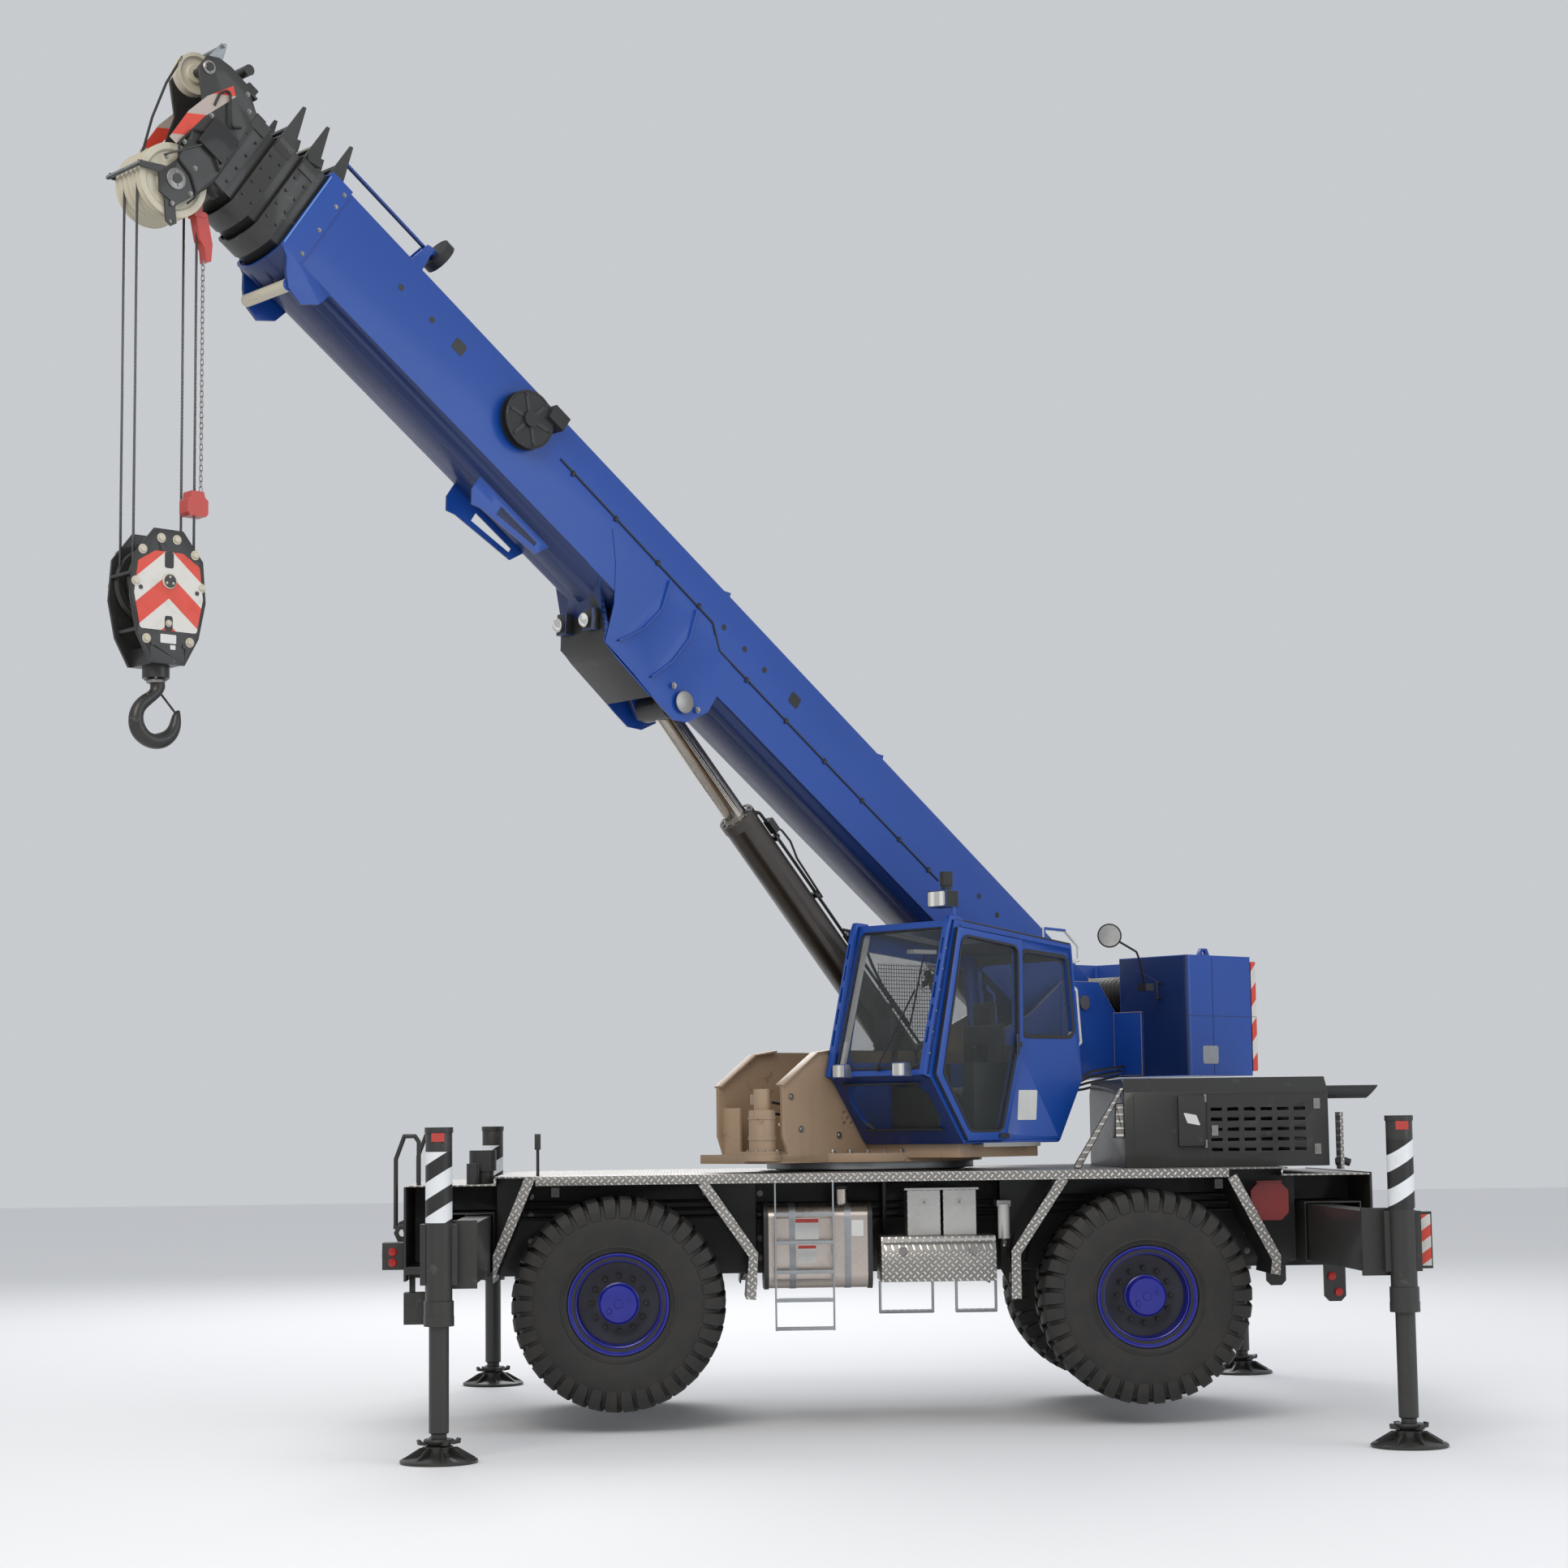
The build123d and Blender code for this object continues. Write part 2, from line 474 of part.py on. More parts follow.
# Cab: walls with their windows cut, glass, seat and console
outer = [(440, CAB_LOW), (800, 2650), (500, 3830), (-810, 3670), (-900, 2610), (-620, CAB_LOW)]
inner = [(415, 2165), (752, 2655), (465, 3780), (-770, 3628), (-855, 2615), (-595, 2165)]
cab = side(outer, CAB_IN, CAB_OUT)
cab = fillet(cab.edges().filter_by(Axis.X), 24)
cab -= side(inner, CAB_IN + 40, CAB_OUT - 40)
door_hole = [(400, 2175), (720, 2660), (470, 3730), (-160, 3650), (-150, 2900), (60, 2175)]
cab -= window(door_hole, CAB_OUT - 40, CAB_OUT, 30)
side_win = [(-240, 2960), (-240, 3600), (-740, 3560), (-800, 2960)]
cab -= window(side_win, CAB_OUT - 40, CAB_OUT, 25)
right_win = [(640, 2760), (440, 3640), (-700, 3520), (-760, 2760)]
cab -= window(right_win, CAB_IN, CAB_IN + 40, 60)
front_cut = [(880, 2700), (560, 3780), (400, 3780), (700, 2700)]
low_cut = [(840, 2590), (600, 2230), (450, 2230), (700, 2590)]
rear_cut = [(-700, 2900), (-1000, 2900), (-1000, 3550), (-700, 3550)]
roof_cut = [(350, 3700), (350, 3900), (-250, 3850), (-250, 3600)]
front_y = (CAB_IN + 60, CAB_OUT - 60)
low_y = (CAB_IN + 90, CAB_OUT - 110)
rear_y = (CAB_IN + 80, CAB_OUT - 80)
roof_y = (CAB_IN + 150, CAB_OUT - 150)
cab -= screen(front_cut, *front_y, 60)
cab -= screen(low_cut, *low_y, 150)
cab -= screen(rear_cut, *rear_y, 60)
cab -= side(roof_cut, *roof_y)
# Rails that carry the sliding door
cab += side([(-600, 2150), (420, 2150), (420, 2172), (-600, 2172)], CAB_OUT, CAB_OUT + 6 - FIT)
cab += side([(-780, 3642), (440, 3776), (440, 3796), (-780, 3662)], CAB_OUT, CAB_OUT + 6 - FIT)
# Slotted guard bars at both edges of the windscreen, joined to the roof and the lower front
guard_path = [(790, 2625), (860, 2650), (800, 2900), (575, 3780), (540, 3860), (420, 3850), (400, 3808)]
for ya in (CAB_IN, CAB_OUT - 55):
    guard = side(bent(guard_path, 34), ya, ya + 55)
    for i in range(5):
        t0 = 0.1 + i * 0.17
        gx = 835 - 250 * t0
        gz = 2790 + 1000 * t0
        guard -= box(gx - 60, gx + 60, ya + 18, ya + 37, gz, gz + 120)
    cab += guard
for ya in (CAB_IN + 95, CAB_OUT - 330):
    cab += side([(770, 2640), (870, 2640), (870, 2745), (815, 2745)], ya, ya + 140)
cab += side([(420, 2130), (-590, 2130), (-590, 2145), (420, 2145)], CAB_OUT - 1, CAB_OUT + 5)
# Rails at the rear, lamp and beacon on the roof, mirror arm
cab += tube_path([(-560, 1440, 3690), (-560, 1440, 3800), (-800, 1440, 3790), (-955, 1440, 3670), (-955, 1440, 3560), (-820, 1440, 3530)], 14)
for ya in (CAB_IN + 60, CAB_OUT - 120):
    rail = side([(-840, 3400), (-945, 3330), (-985, 2900), (-880, 2830), (-880, 2860), (-950, 2915), (-915, 3310), (-840, 3360)], ya, ya + 55)
    cab += rail
cab += cyl_z(480, 1470, 3830, 3935, 18) + box(440, 580, 1290, 1490, 3925, 4055)
cab += cyl_z(520, 1440, 4055, 4090, 40) + cyl_z(520, 1440, 4090, 4195, 50)
turned("cab_shell", cab)


glass = window(side_win, CAB_OUT - 24, CAB_OUT - 16, 25)
glass += window(right_win, CAB_IN + 16, CAB_IN + 24, 60)


def pane(edge_a, edge_b, cutter):
    # Cuts the pane out of the wall that the window went through
    wall = side(outer, CAB_IN, CAB_OUT) - side(inner, CAB_IN + 40, CAB_OUT - 40)
    mid = side(edge_a, CAB_IN, CAB_OUT) - side(edge_b, CAB_IN, CAB_OUT)
    return wall & mid & cutter


lay_a = [(432, 2134), (784, 2652), (488, 3813), (-796, 3656), (-885, 2612), (-610, 2144)]
lay_b = [(427, 2142), (776, 2653), (482, 3805), (-788, 3649), (-877, 2613), (-604, 2151)]
glass += pane(lay_a, lay_b, screen(front_cut, *front_y, 60))
glass += pane(lay_a, lay_b, screen(low_cut, *low_y, 150))
glass += pane(lay_a, lay_b, screen(rear_cut, *rear_y, 60))
glass += pane(lay_a, lay_b, side(roof_cut, *roof_y))
turned("cab_glass", glass)

door_out = [(430, 2150), (765, 2655), (500, 3770), (-200, 3690), (-190, 2890), (20, 2150)]
door_win = [(405, 2230), (680, 2660), (450, 3700), (-140, 3630), (-130, 2910), (70, 2230)]
door = side(door_out, CAB_OUT + 6, CAB_OUT + 44) - window(door_win, CAB_OUT + 6, CAB_OUT + 44, 30)
door += box(-130, -100, CAB_OUT + 44, CAB_OUT + 62, 2800, 2960)
turned("cab_door", door)
turned("door_glass", window(door_win, CAB_OUT + 20, CAB_OUT + 28, 30))
seat = fillet(box(-300, 180, 700, 1200, 2450, 2560).edges(), 35) + fillet(box(-420, -300, 720, 1180, 2500, 3060).edges(), 35)
seat += fillet(box(-410, -330, 830, 1070, 3040, 3230).edges(), 25) + box(-250, 100, 800, 1100, 2165, 2455)
turned("seat", seat)
console = box(300, 420, 700, 1200, 2175, 2560) + rod((340, 950, 2550), (345, 950, 2700), 22)
console += Pos(345, 950, 2715) * Rot(0, 25, 0) * Torus(95, 13) + Pos(345, 950, 2705) * Cylinder(30, 30)
console += rod((345, 860, 2705), (345, 1040, 2705), 9)
console += box(-250, 150, 560, 690, 2165, 2750) + box(-250, 150, 1210, 1330, 2165, 2750)
for y in (625, 1270):
    console += rod((60, y, 2740), (80, y, 2860), 12) + Pos(80, y, 2865) * Sphere(24)
console += box(400, 460, 560, 740, 2850, 3100) - box(395, 405, 575, 725, 2865, 3085) + box(385, 420, 700, 738, 2500, 2900)
turned("console", console)

# Boom sections, nested tubes with collars


def section(k, s0, s1, grow=0.0):
    d = BOOM_STEP * k - grow
    hw = BOOM_HW - d
    top = BOOM_TOP - d
    bend = BOOM_BEND + d * 0.3
    low = BOOM_LOW + d
    plane = Plane(origin=(s0, 0, 0), x_dir=(0, 1, 0), z_dir=(1, 0, 0))
    lines = Polyline((-hw, bend), (-hw, top), (hw, top), (hw, bend))
    arc = ThreePointArc((hw, bend), (0, low), (-hw, bend))
    return extrude(plane * make_face(lines + arc), amount=s1 - s0)


def shell(k, s0, s1):
    return section(k, s0, s1) - section(k, s0 - 1, s1 + 1, -BOOM_WALL)


def pads(k, s0, s1):
    # Wear pads at the four corners between a section and the one inside it
    ring = section(k, s0, s1, -BOOM_WALL) - section(k + 1, s0 - 1, s1 + 1, FIT)
    hw = BOOM_HW - BOOM_STEP * k
    ring -= box(s0 - 1, s1 + 1, -hw + 90, hw - 90, -2000, 2000)
    return ring - box(s0 - 1, s1 + 1, -hw, hw, BOOM_BEND + 80, BOOM_TOP - BOOM_STEP * k - 100)


base = shell(0, 0, BOOM_FRONT)
base += section(0, BOOM_FRONT - 200, BOOM_FRONT, 14) - section(0, BOOM_FRONT - 201, BOOM_FRONT + 1, -BOOM_WALL)
foot = side([(-140, -120), (-140, 120), (-40, 300), (500, 300), (500, -430), (0, -430)], 200, 270)
foot += cyl_y(0, 0, 200, PLATE_Y - 35, 120)
# Fairing at the cylinder's eye, with fins, front plate and work lamps
both_sides = [foot]
both_sides.append(side([
    (6080, -60), (5900, -260), (5740, -520), (5640, -810), (5300, -830), (5000, -860), (4800, -870), (4680, -800),
    (4560, -600), (4560, -430), (4600, -60),
], BOOM_HW - 9, BOOM_HW + 4))
for line in ([(5430, -10), (5370, -250), (5420, -500), (5550, -730)], [(5100, -20), (5030, -260), (5060, -520), (5150, -750)]):
    both_sides.append(side(bent(line, 12), BOOM_HW - 2, BOOM_HW + 28))
# Skid plates under the boom, and plates that carry the rope roller
skid = side([(6390, -500), (7170, -500), (7170, -640), (7110, -730), (7030, -700), (6460, -640)], 150, 162)
skid -= side([(6500, -600), (6900, -640), (6900, -560), (6500, -560)], 150, 162)
both_sides.append(skid)
both_sides.append(side([
    (BOOM_FRONT, -430), (BOOM_FRONT - 80, -470), (BOOM_FRONT - 140, -560), (BOOM_FRONT - 215, -640), (BOOM_FRONT - 360, -665),
    (BOOM_FRONT - 470, -560), (BOOM_FRONT - 500, -430),
], BOOM_HW - 8, BOOM_HW + 20))
for piece in both_sides:
    base += piece
    base += mirror_y(piece)
base += cyl_y(BOOM_FRONT - 215, -612, -BOOM_HW, BOOM_HW, 46)
base += side(bent([(5950, -440), (5760, -620), (5640, -800), (5500, -822), (5060, -850)], 12), -BOOM_HW + 5, BOOM_HW - 5)
for y in (-215, 105):
    base += side([(5790, -600), (5700, -740), (5765, -782), (5850, -640)], y, y + 110)
# Fittings on top: hooks, tabs, rope guide with its bar
for x in (2770, 4790):
    base += side([(x - 40, BOOM_TOP - 2), (x + 40, BOOM_TOP - 2), (x + 30, 480), (x - 30, 510), (x - 45, 460)], -14, 14)
guide = side([(8380, BOOM_TOP - 2), (8540, BOOM_TOP - 2), (8470, 640), (8410, 660)], 40, 52)
base += guide
base += mirror_y(guide)
base += box(8395, 8445, -52, 52, 600, 650)
base += cyl_x(0, 640, 8300, 8400, 40) + cyl_x(0, 670, 8300, 8370, 130)
base += rod((8440, 0, 635), (BOOM_FRONT - 110, 0, 635), 16) + box(BOOM_FRONT - 120, BOOM_FRONT - 100, -25, 25, BOOM_TOP + 10, 650)


def fin(front, top):
    # Upright and tray that hold the roller of a collar
    plate = side([(front - 150, top - 2), (front - 10, top - 2), (front - 15, top + 320), (front - 40, top + 330)], 180, 192)
    both = plate + mirror_y(plate)
    both += box(front - 90, front - 30, -190, 190, top + 120, top + 132)
    both += cyl_y(front - 60, top + 156, -150, 150, 28)
    return both + box(front - 130, front - 40, -60, 60, top - 2, top + 60)


base += fin(BOOM_FRONT, BOOM_TOP + 14)
base -= cyl_y(0, 0, -PLATE_Y, PLATE_Y, PIN_R + PIN_GAP)
yl = EYE_HALF + LUG_GAP
lug = side([(4560, -420), (4700, -760), (4800, -810), (4900, -770), (5550, -420)], yl, yl + LUG_W)
lug -= cyl_y(EYE_S, EYE_N, yl, yl + LUG_W, PIN_R + PIN_GAP)
base += lug + mirror_y(lug)
base += pads(0, BOOM_FRONT - 150, BOOM_FRONT - 20)
base -= section(0, -10, BOOM_FRONT - 160, -BOOM_WALL) - box(-200, 200, -400, 400, -400, 400)
lifted("boom_base", base)
for k in (1, 2, 3):
    sec = shell(k, 250 + 60 * k, BOOM_FRONT + COLLAR_STEP * k)
    fs = BOOM_FRONT + COLLAR_STEP * k
    sec += section(k, fs - 150, fs, 12) - section(k, fs - 151, fs + 1, -BOOM_WALL)
    hwk = BOOM_HW - BOOM_STEP * k
    tab = box(fs - 145, fs - 5, hwk + 8, hwk + 24, 130, 230)
    sec += tab + mirror_y(tab)
    if k < 3:
        sec += fin(fs, BOOM_TOP - BOOM_STEP * k + 12)
    if k < 3:
        sec += pads(k, fs - 140, fs - 20)
        lifted("boom_section_" + str(k + 1), sec)
    else:
        tip = sec
head = tip
hw = BOOM_HW - BOOM_STEP * 3
back = BOOM_FRONT + COLLAR_STEP * 3 - 50
cheek_pts = [
    (back, 200), (back, -470), (HEAD_S - 150, -660), (HEAD_S - 110, -770), (HEAD_S + 40, -780), (HEAD_S + 120, -680),
    (HEAD_S + 75, -500), (HEAD_S + 100, -270), (HEAD_S + 165, -30), (TOP_S + 60, 150), (TOP_S + 60, 270), (TOP_S - 20, 330),
    (TOP_S - 120, 350), (HEAD_S, 345),
]
cheek = side(cheek_pts, hw - 2, hw + 18)
cheek += box(back + 40, back + 270, hw + 18, hw + 62, -290, -60)
cheek += side(bent([(back + 20, -330), (back + 200, -250), (back + 380, -560)], 12), hw + 18, hw + 50)
head += cheek + mirror_y(cheek)
head -= section(3, back + 30, TOP_S + 300, -BOOM_WALL)
head -= cyl_y(HEAD_S, HEAD_N, -172, 172, SHEAVE_R + 20)
head += cyl_y(HEAD_S, HEAD_N, -hw - 40, hw + 40, 35)
head += cyl_y(TOP_S, TOP_N, -hw - 40, hw + 40, 30)
head += cyl_y(TOP_S + 10, TOP_N + 210, -220, 220, 14)
for y in (-hw - 10, hw - 2):
    head += side([(TOP_S - 60, 300), (TOP_S + 50, 260), (TOP_S + 30, TOP_N + 225), (TOP_S - 15, TOP_N + 225)], y, y + 12)
head += cyl_y(HEAD_S + 262, HEAD_N - 119, -hw - 45, hw + 45, 16)
for y in (-hw - 18, hw + 2):
    head += side([(HEAD_S + 60, -640), (HEAD_S + 110, -600), (HEAD_S + 282, HEAD_N - 104), (HEAD_S + 265, HEAD_N - 142)], y, y + 12)
head += cyl_y(HEAD_S + 30, 505, -110, 110, 40) + side([(HEAD_S - 10, 330), (HEAD_S + 70, 330), (HEAD_S + 50, 500), (HEAD_S + 10, 500)], -12, 12)
head += box(HEAD_S - 120, HEAD_S + 100, -hw + 5, hw - 5, 325, 345) + box(HEAD_S - 110, HEAD_S - 20, 20, 120, 345, 430)
dead = side([(HEAD_S - 70, -730), (HEAD_S - 190, -860), (HEAD_S - 170, -905), (HEAD_S - 120, -905), (HEAD_S + 20, -740)], hw - 10, hw + 8)
head += dead - cyl_y(HEAD_S - 150, -876, hw - 31, hw + 20, 14)
fin4 = BOOM_FRONT + COLLAR_STEP * 3
head += box(fin4 - 130, fin4 - 40, -60, 60, BOOM_TOP - BOOM_STEP * 3 + 10, BOOM_TOP - BOOM_STEP * 3 + 130)
lifted("boom_section_4", head)


def sheave(x, z, y, bore):
    # Grooved sheave of the falls
    disc = cyl_y(x, z, y - 25, y + 25, SHEAVE_R)
    disc -= cyl_y(x, z, y - 9.5, y + 9.5, SHEAVE_R + 1) - cyl_y(x, z, y - 10, y + 10, ROPE_R - 9 - FIT)
    return disc - cyl_y(x, z, y - 26, y + 26, bore + FIT)


sh = None
for y in (-141, -85, -29, 29, 85, 141):
    one = sheave(HEAD_S, HEAD_N, y, 35)
    sh = one if sh is None else sh + one
top_sheave = cyl_y(TOP_S, TOP_N, -45, 45, TOP_R) - cyl_y(TOP_S, TOP_N, -12, 12, TOP_R + 1)
top_sheave += cyl_y(TOP_S, TOP_N, -13, 13, TOP_R - 22)
top_sheave -= cyl_y(TOP_S, TOP_N, -46, 46, 30 + FIT)
lifted("head_sheaves", sh + top_sheave)
turned("boom_pin", cyl_y(PIVOT_X, PIVOT_Z, -PLATE_Y - 25, PLATE_Y + 25, PIN_R))

# Reel for the cable at the boom's side
reel = cyl_y(REEL_S, 22, 290, 300, 220) + cyl_y(REEL_S, 22, 300, 350, 165) + cyl_y(REEL_S, 22, 350, 360, 220)
reel += cyl_y(REEL_S, 22, 360, 385, 60) + box(REEL_S - 260, REEL_S - 100, BOOM_HW, 400, 140, 260)
lifted("cable_reel", reel + cyl_y(REEL_S, 22, 270, 285, 60))

# Luffing cylinder
a = radians(LUFF)
EYE_X = PIVOT_X + EYE_S * cos(a) - EYE_N * sin(a)
EYE_Z = PIVOT_Z + EYE_S * sin(a) + EYE_N * cos(a)
CYL_ANG = degrees(atan2(EYE_Z - CYL_Z, EYE_X - CYL_X))
CYL_LEN = hypot(EYE_X - CYL_X, EYE_Z - CYL_Z)
barrel = cyl_x(0, 0, 80, 3300, BARREL_R) - cyl_x(0, 0, 200, 3301, BARREL_R - 26)
barrel += cyl_x(0, 0, 3230, 3310, 150) - cyl_x(0, 0, 3230, 3310, RAM_R + FIT)
barrel += cyl_y(0, 0, -EYE_HALF + 6, EYE_HALF - 6, 130)
barrel -= cyl_x(0, 0, 200, 3231, BARREL_R - 26)
turned("luff_barrel", Pos(CYL_X, 0, CYL_Z) * Rot(0, -CYL_ANG, 0) * barrel)
ram = cyl_x(0, 0, CYL_LEN - 3130, CYL_LEN - 60, RAM_R) + cyl_x(0, 0, CYL_LEN - 3130, CYL_LEN - 3050, BARREL_R - 26 - FIT)
ram += cyl_y(CYL_LEN, 0, -EYE_HALF, EYE_HALF, 112)
ram -= cyl_y(CYL_LEN, 0, -EYE_HALF, EYE_HALF, PIN_R + PIN_GAP)
turned("luff_rod", Pos(CYL_X, 0, CYL_Z) * Rot(0, -CYL_ANG, 0) * ram)
pin_half = EYE_HALF + LUG_GAP + LUG_W + 20
lifted("luff_pin", cyl_y(EYE_S, EYE_N, -pin_half, pin_half, PIN_R))

# Falls, hook block and hook, plumb below the head
HX = PIVOT_X + HEAD_S * cos(a) - HEAD_N * sin(a)
HZ = PIVOT_Z + HEAD_S * sin(a) + HEAD_N * cos(a)
ropes = None
for x in (-ROPE_R, ROPE_R):
    for y in (-85, 85):
        one = cyl_z(HX + x, y, HZ - FALL_LEN, HZ, 9)
        ropes = one if ropes is None else ropes + one
BZ = HZ - FALL_LEN
turned("hoist_falls", ropes)
cheek_pts = [(-110, 355), (110, 355), (265, 160), (288, -120), (235, -372), (130, -560), (-130, -560), (-235, -372), (-288, -120), (-265, 160)]
pts = [(HX + p[0], BZ + p[1]) for p in cheek_pts]
block = side(pts, 130, 155) + side(pts, -155, -130)
block += box(HX - 110, HX + 110, -130, 130, BZ - 560, BZ - 440) + cyl_z(HX, 0, BZ - 640, BZ - 560, 92)
block += cyl_y(HX, BZ, -175, 175, 45) + cyl_y(HX, BZ + 300, -130, 130, 16)
for x, z in ((-215, -60), (215, -60), (-120, -430), (120, -430)):
    block += cyl_y(HX + x, BZ + z, -163, 163, 15) - cyl_y(HX + x, BZ + z, -129, 129, 20)
turned("hook_block", block)
bsh = None
for y in (-85, 85):
    one = sheave(HX, BZ, y, 45)
    bsh = one if bsh is None else bsh + one
turned("block_sheaves", bsh)
hook_pts = [(0, -641), (0, -730), (50, -775), (128, -850), (146, -940), (90, -1035), (0, -1063), (-95, -1030), (-150, -950), (-165, -872), (-180, -845)]
hook_r = [44, 44, 42, 46, 52, 54, 54, 50, 40, 26, 10]
hook = hooked([(HX + x, 0, BZ + z - FIT) for x, z in hook_pts], hook_r)
hook += rod((HX - 20, 0, BZ - 720), (HX - 158, 0, BZ - 868), 8)
turned("hook", hook)

# The origin goes under the middle of the whole, on the ground
lo = [1e9, 1e9, 1e9]
hi = [-1e9, -1e9, -1e9]
for solid in NODES.values():
    bb = solid.bounding_box()
    lo = [min(a, b) for a, b in zip(lo, (bb.min.X, bb.min.Y, bb.min.Z))]
    hi = [max(a, b) for a, b in zip(hi, (bb.max.X, bb.max.Y, bb.max.Z))]
SHIFT_X = -(lo[0] + hi[0]) / 2
SHIFT_Y = -(lo[1] + hi[1]) / 2
os.makedirs("parts", exist_ok=True)
for name, solid in NODES.items():
    export_step(Pos(SHIFT_X, SHIFT_Y, 0) * solid, "parts/" + name + ".step")
print("nodes", len(NODES))
print("shift", round(SHIFT_X, 3), round(SHIFT_Y, 3))
print("size", [round(b - a, 1) for a, b in zip(lo, hi)])
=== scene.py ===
import json
import math

import bmesh
import bpy
from mathutils import Matrix, Vector

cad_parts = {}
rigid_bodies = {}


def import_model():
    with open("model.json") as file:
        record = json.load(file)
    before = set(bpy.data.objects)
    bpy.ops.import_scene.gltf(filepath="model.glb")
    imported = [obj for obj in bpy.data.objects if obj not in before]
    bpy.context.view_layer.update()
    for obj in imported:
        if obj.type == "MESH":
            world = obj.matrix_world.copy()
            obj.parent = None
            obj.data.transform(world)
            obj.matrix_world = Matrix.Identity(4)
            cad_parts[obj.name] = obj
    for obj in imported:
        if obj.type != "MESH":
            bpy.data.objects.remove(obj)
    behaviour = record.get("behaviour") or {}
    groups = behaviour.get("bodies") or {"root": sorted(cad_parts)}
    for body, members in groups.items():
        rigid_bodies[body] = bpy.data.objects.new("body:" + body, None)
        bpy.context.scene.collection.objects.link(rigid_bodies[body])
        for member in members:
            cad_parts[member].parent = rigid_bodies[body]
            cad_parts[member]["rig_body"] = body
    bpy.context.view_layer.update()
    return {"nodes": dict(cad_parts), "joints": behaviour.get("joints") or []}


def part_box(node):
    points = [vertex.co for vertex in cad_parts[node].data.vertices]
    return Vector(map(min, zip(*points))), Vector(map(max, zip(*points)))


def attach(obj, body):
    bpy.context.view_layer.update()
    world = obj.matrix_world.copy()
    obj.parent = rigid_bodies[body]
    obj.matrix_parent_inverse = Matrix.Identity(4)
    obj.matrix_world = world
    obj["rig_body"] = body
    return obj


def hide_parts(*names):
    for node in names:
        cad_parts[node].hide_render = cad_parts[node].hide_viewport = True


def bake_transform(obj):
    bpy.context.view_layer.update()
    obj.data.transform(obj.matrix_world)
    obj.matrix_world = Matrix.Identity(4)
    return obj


bl_info = {
    "name": "Rough Terrain Crane Dressing",
    "version": (1, 0, 0),
    "blender": (4, 5, 0),
    "location": "View3D > Sidebar > Crane",
    "description": "Dresses the packed crane with plates, sheaves, ropes, cab, tyres and finishes",
    "category": "Object",
}

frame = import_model()
JOINTS = {joint["name"]: joint for joint in frame["joints"]}
SLEW_AT = Vector(JOINTS["slew"]["pos_m"])
PIVOT_AT = Vector(JOINTS["luff"]["pos_m"])
EYE_AT = Vector(JOINTS["luff_rod_pivot"]["pos_m"])
HEAD_AT = Vector(JOINTS["falls_plumb"]["pos_m"])
BOOM_DIR = Vector(JOINTS["telescope_2"]["axis"]).normalized()
HEADING = math.atan2(BOOM_DIR.y, BOOM_DIR.x)
LIFT = math.asin(BOOM_DIR.z)

# The machine's own frames: carrier, superstructure, boom and plumb line
CARRIER = Matrix.Translation((SLEW_AT.x, SLEW_AT.y, 0))
TURNED = CARRIER @ Matrix.Rotation(HEADING, 4, "Z")
BOOM = Matrix.Translation(PIVOT_AT) @ Matrix.Rotation(
    HEADING, 4, "Z") @ Matrix.Rotation(-LIFT, 4, "Y")
PLUMB = Matrix.Translation(HEAD_AT) @ Matrix.Rotation(HEADING, 4, "Z")

WHEELS = {"fl": (2.0, 1), "fr": (2.0, -1), "rl": (-2.0, 1), "rr": (-2.0, -1)}
WHEEL_Z = JOINTS["wheel_spin_fl"]["pos_m"][2]
JACKS = {
    "fl": (3.212, 3.155, 1), "fr": (3.212, -3.155, -1), "rl": (-3.545, 3.155, 1),
    "rr": (-3.545, -3.155, -1)}
FOOT_AT = TURNED @ Vector((-0.9, 0, 2.3))
CYL_DIR = (EYE_AT - FOOT_AT).normalized()
CYL_LEN = (EYE_AT - FOOT_AT).length
CYL = Matrix.Translation(FOOT_AT) @ Matrix.Rotation(HEADING, 4, "Z") @ Matrix.Rotation(
    -math.asin(CYL_DIR.z), 4, "Y")


# Axes and the origin of a piece's own frame
X, Y, Z = (1, 0, 0), (0, 1, 0), (0, 0, 1)
ORIGIN = (0, 0, 0)

# Metres, in the frame that the piece is made in
HALF_TRACK = 1.1705
FALL_LENGTH = 2.770
SHEAVE_Y = 0.085
REEL_X, REEL_Z = 7.172, 0.022
HEAD_SHEAVE = (10.26, -0.62)
TOP_SHEAVE = (10.545, 0.21)
DRUM_X, DRUM_Z, DRUM_R = -2.91, (3.37, 2.98), 0.152
CABLE_Y = 0.2745
FAN_AT = (0.40, 1.12, 3.38)
MIRROR_AT, MIRROR_FACES = (-1.71, 1.1, 3.796), (0.75, 0.55, -0.12)
GUARD_AT = (-0.05, 0.45, 3.25)
CAMERA_AT = (1.5633, 24.5846, 2.3059)
CAMERA_TURNS = (-2.12, 6.35, -0.72)
BLOCK = PLUMB @ Matrix.Translation((0, 0, -FALL_LENGTH))


# Form building

def arc(cx, cy, r, a0, a1, n):
    """Points on an arc, angles in degrees."""
    out = []
    for i in range(n + 1):
        a = math.radians(a0 + (a1 - a0) * i / n)
        out.append((cx + r * math.cos(a), cy + r * math.sin(a)))
    return out


def fillet(a, b, c, radius, steps, share, straight):
    """Points that round the corner at b, using up to a share of either leg."""
    u = (a - b).normalized()
    v = (c - b).normalized()
    turn = u.angle(v)
    if radius <= 0 or turn > straight:
        return [b]
    slope = math.tan(turn / 2)
    d = min(radius / slope, share * (a - b).length, share * (c - b).length)
    r = d * slope
    middle = b + (u + v).normalized() * (r / math.sin(turn / 2))
    first = b + u * d - middle
    last = b + v * d - middle
    return [middle + first.lerp(last, k / steps).normalized() * r for k in range(steps + 1)]


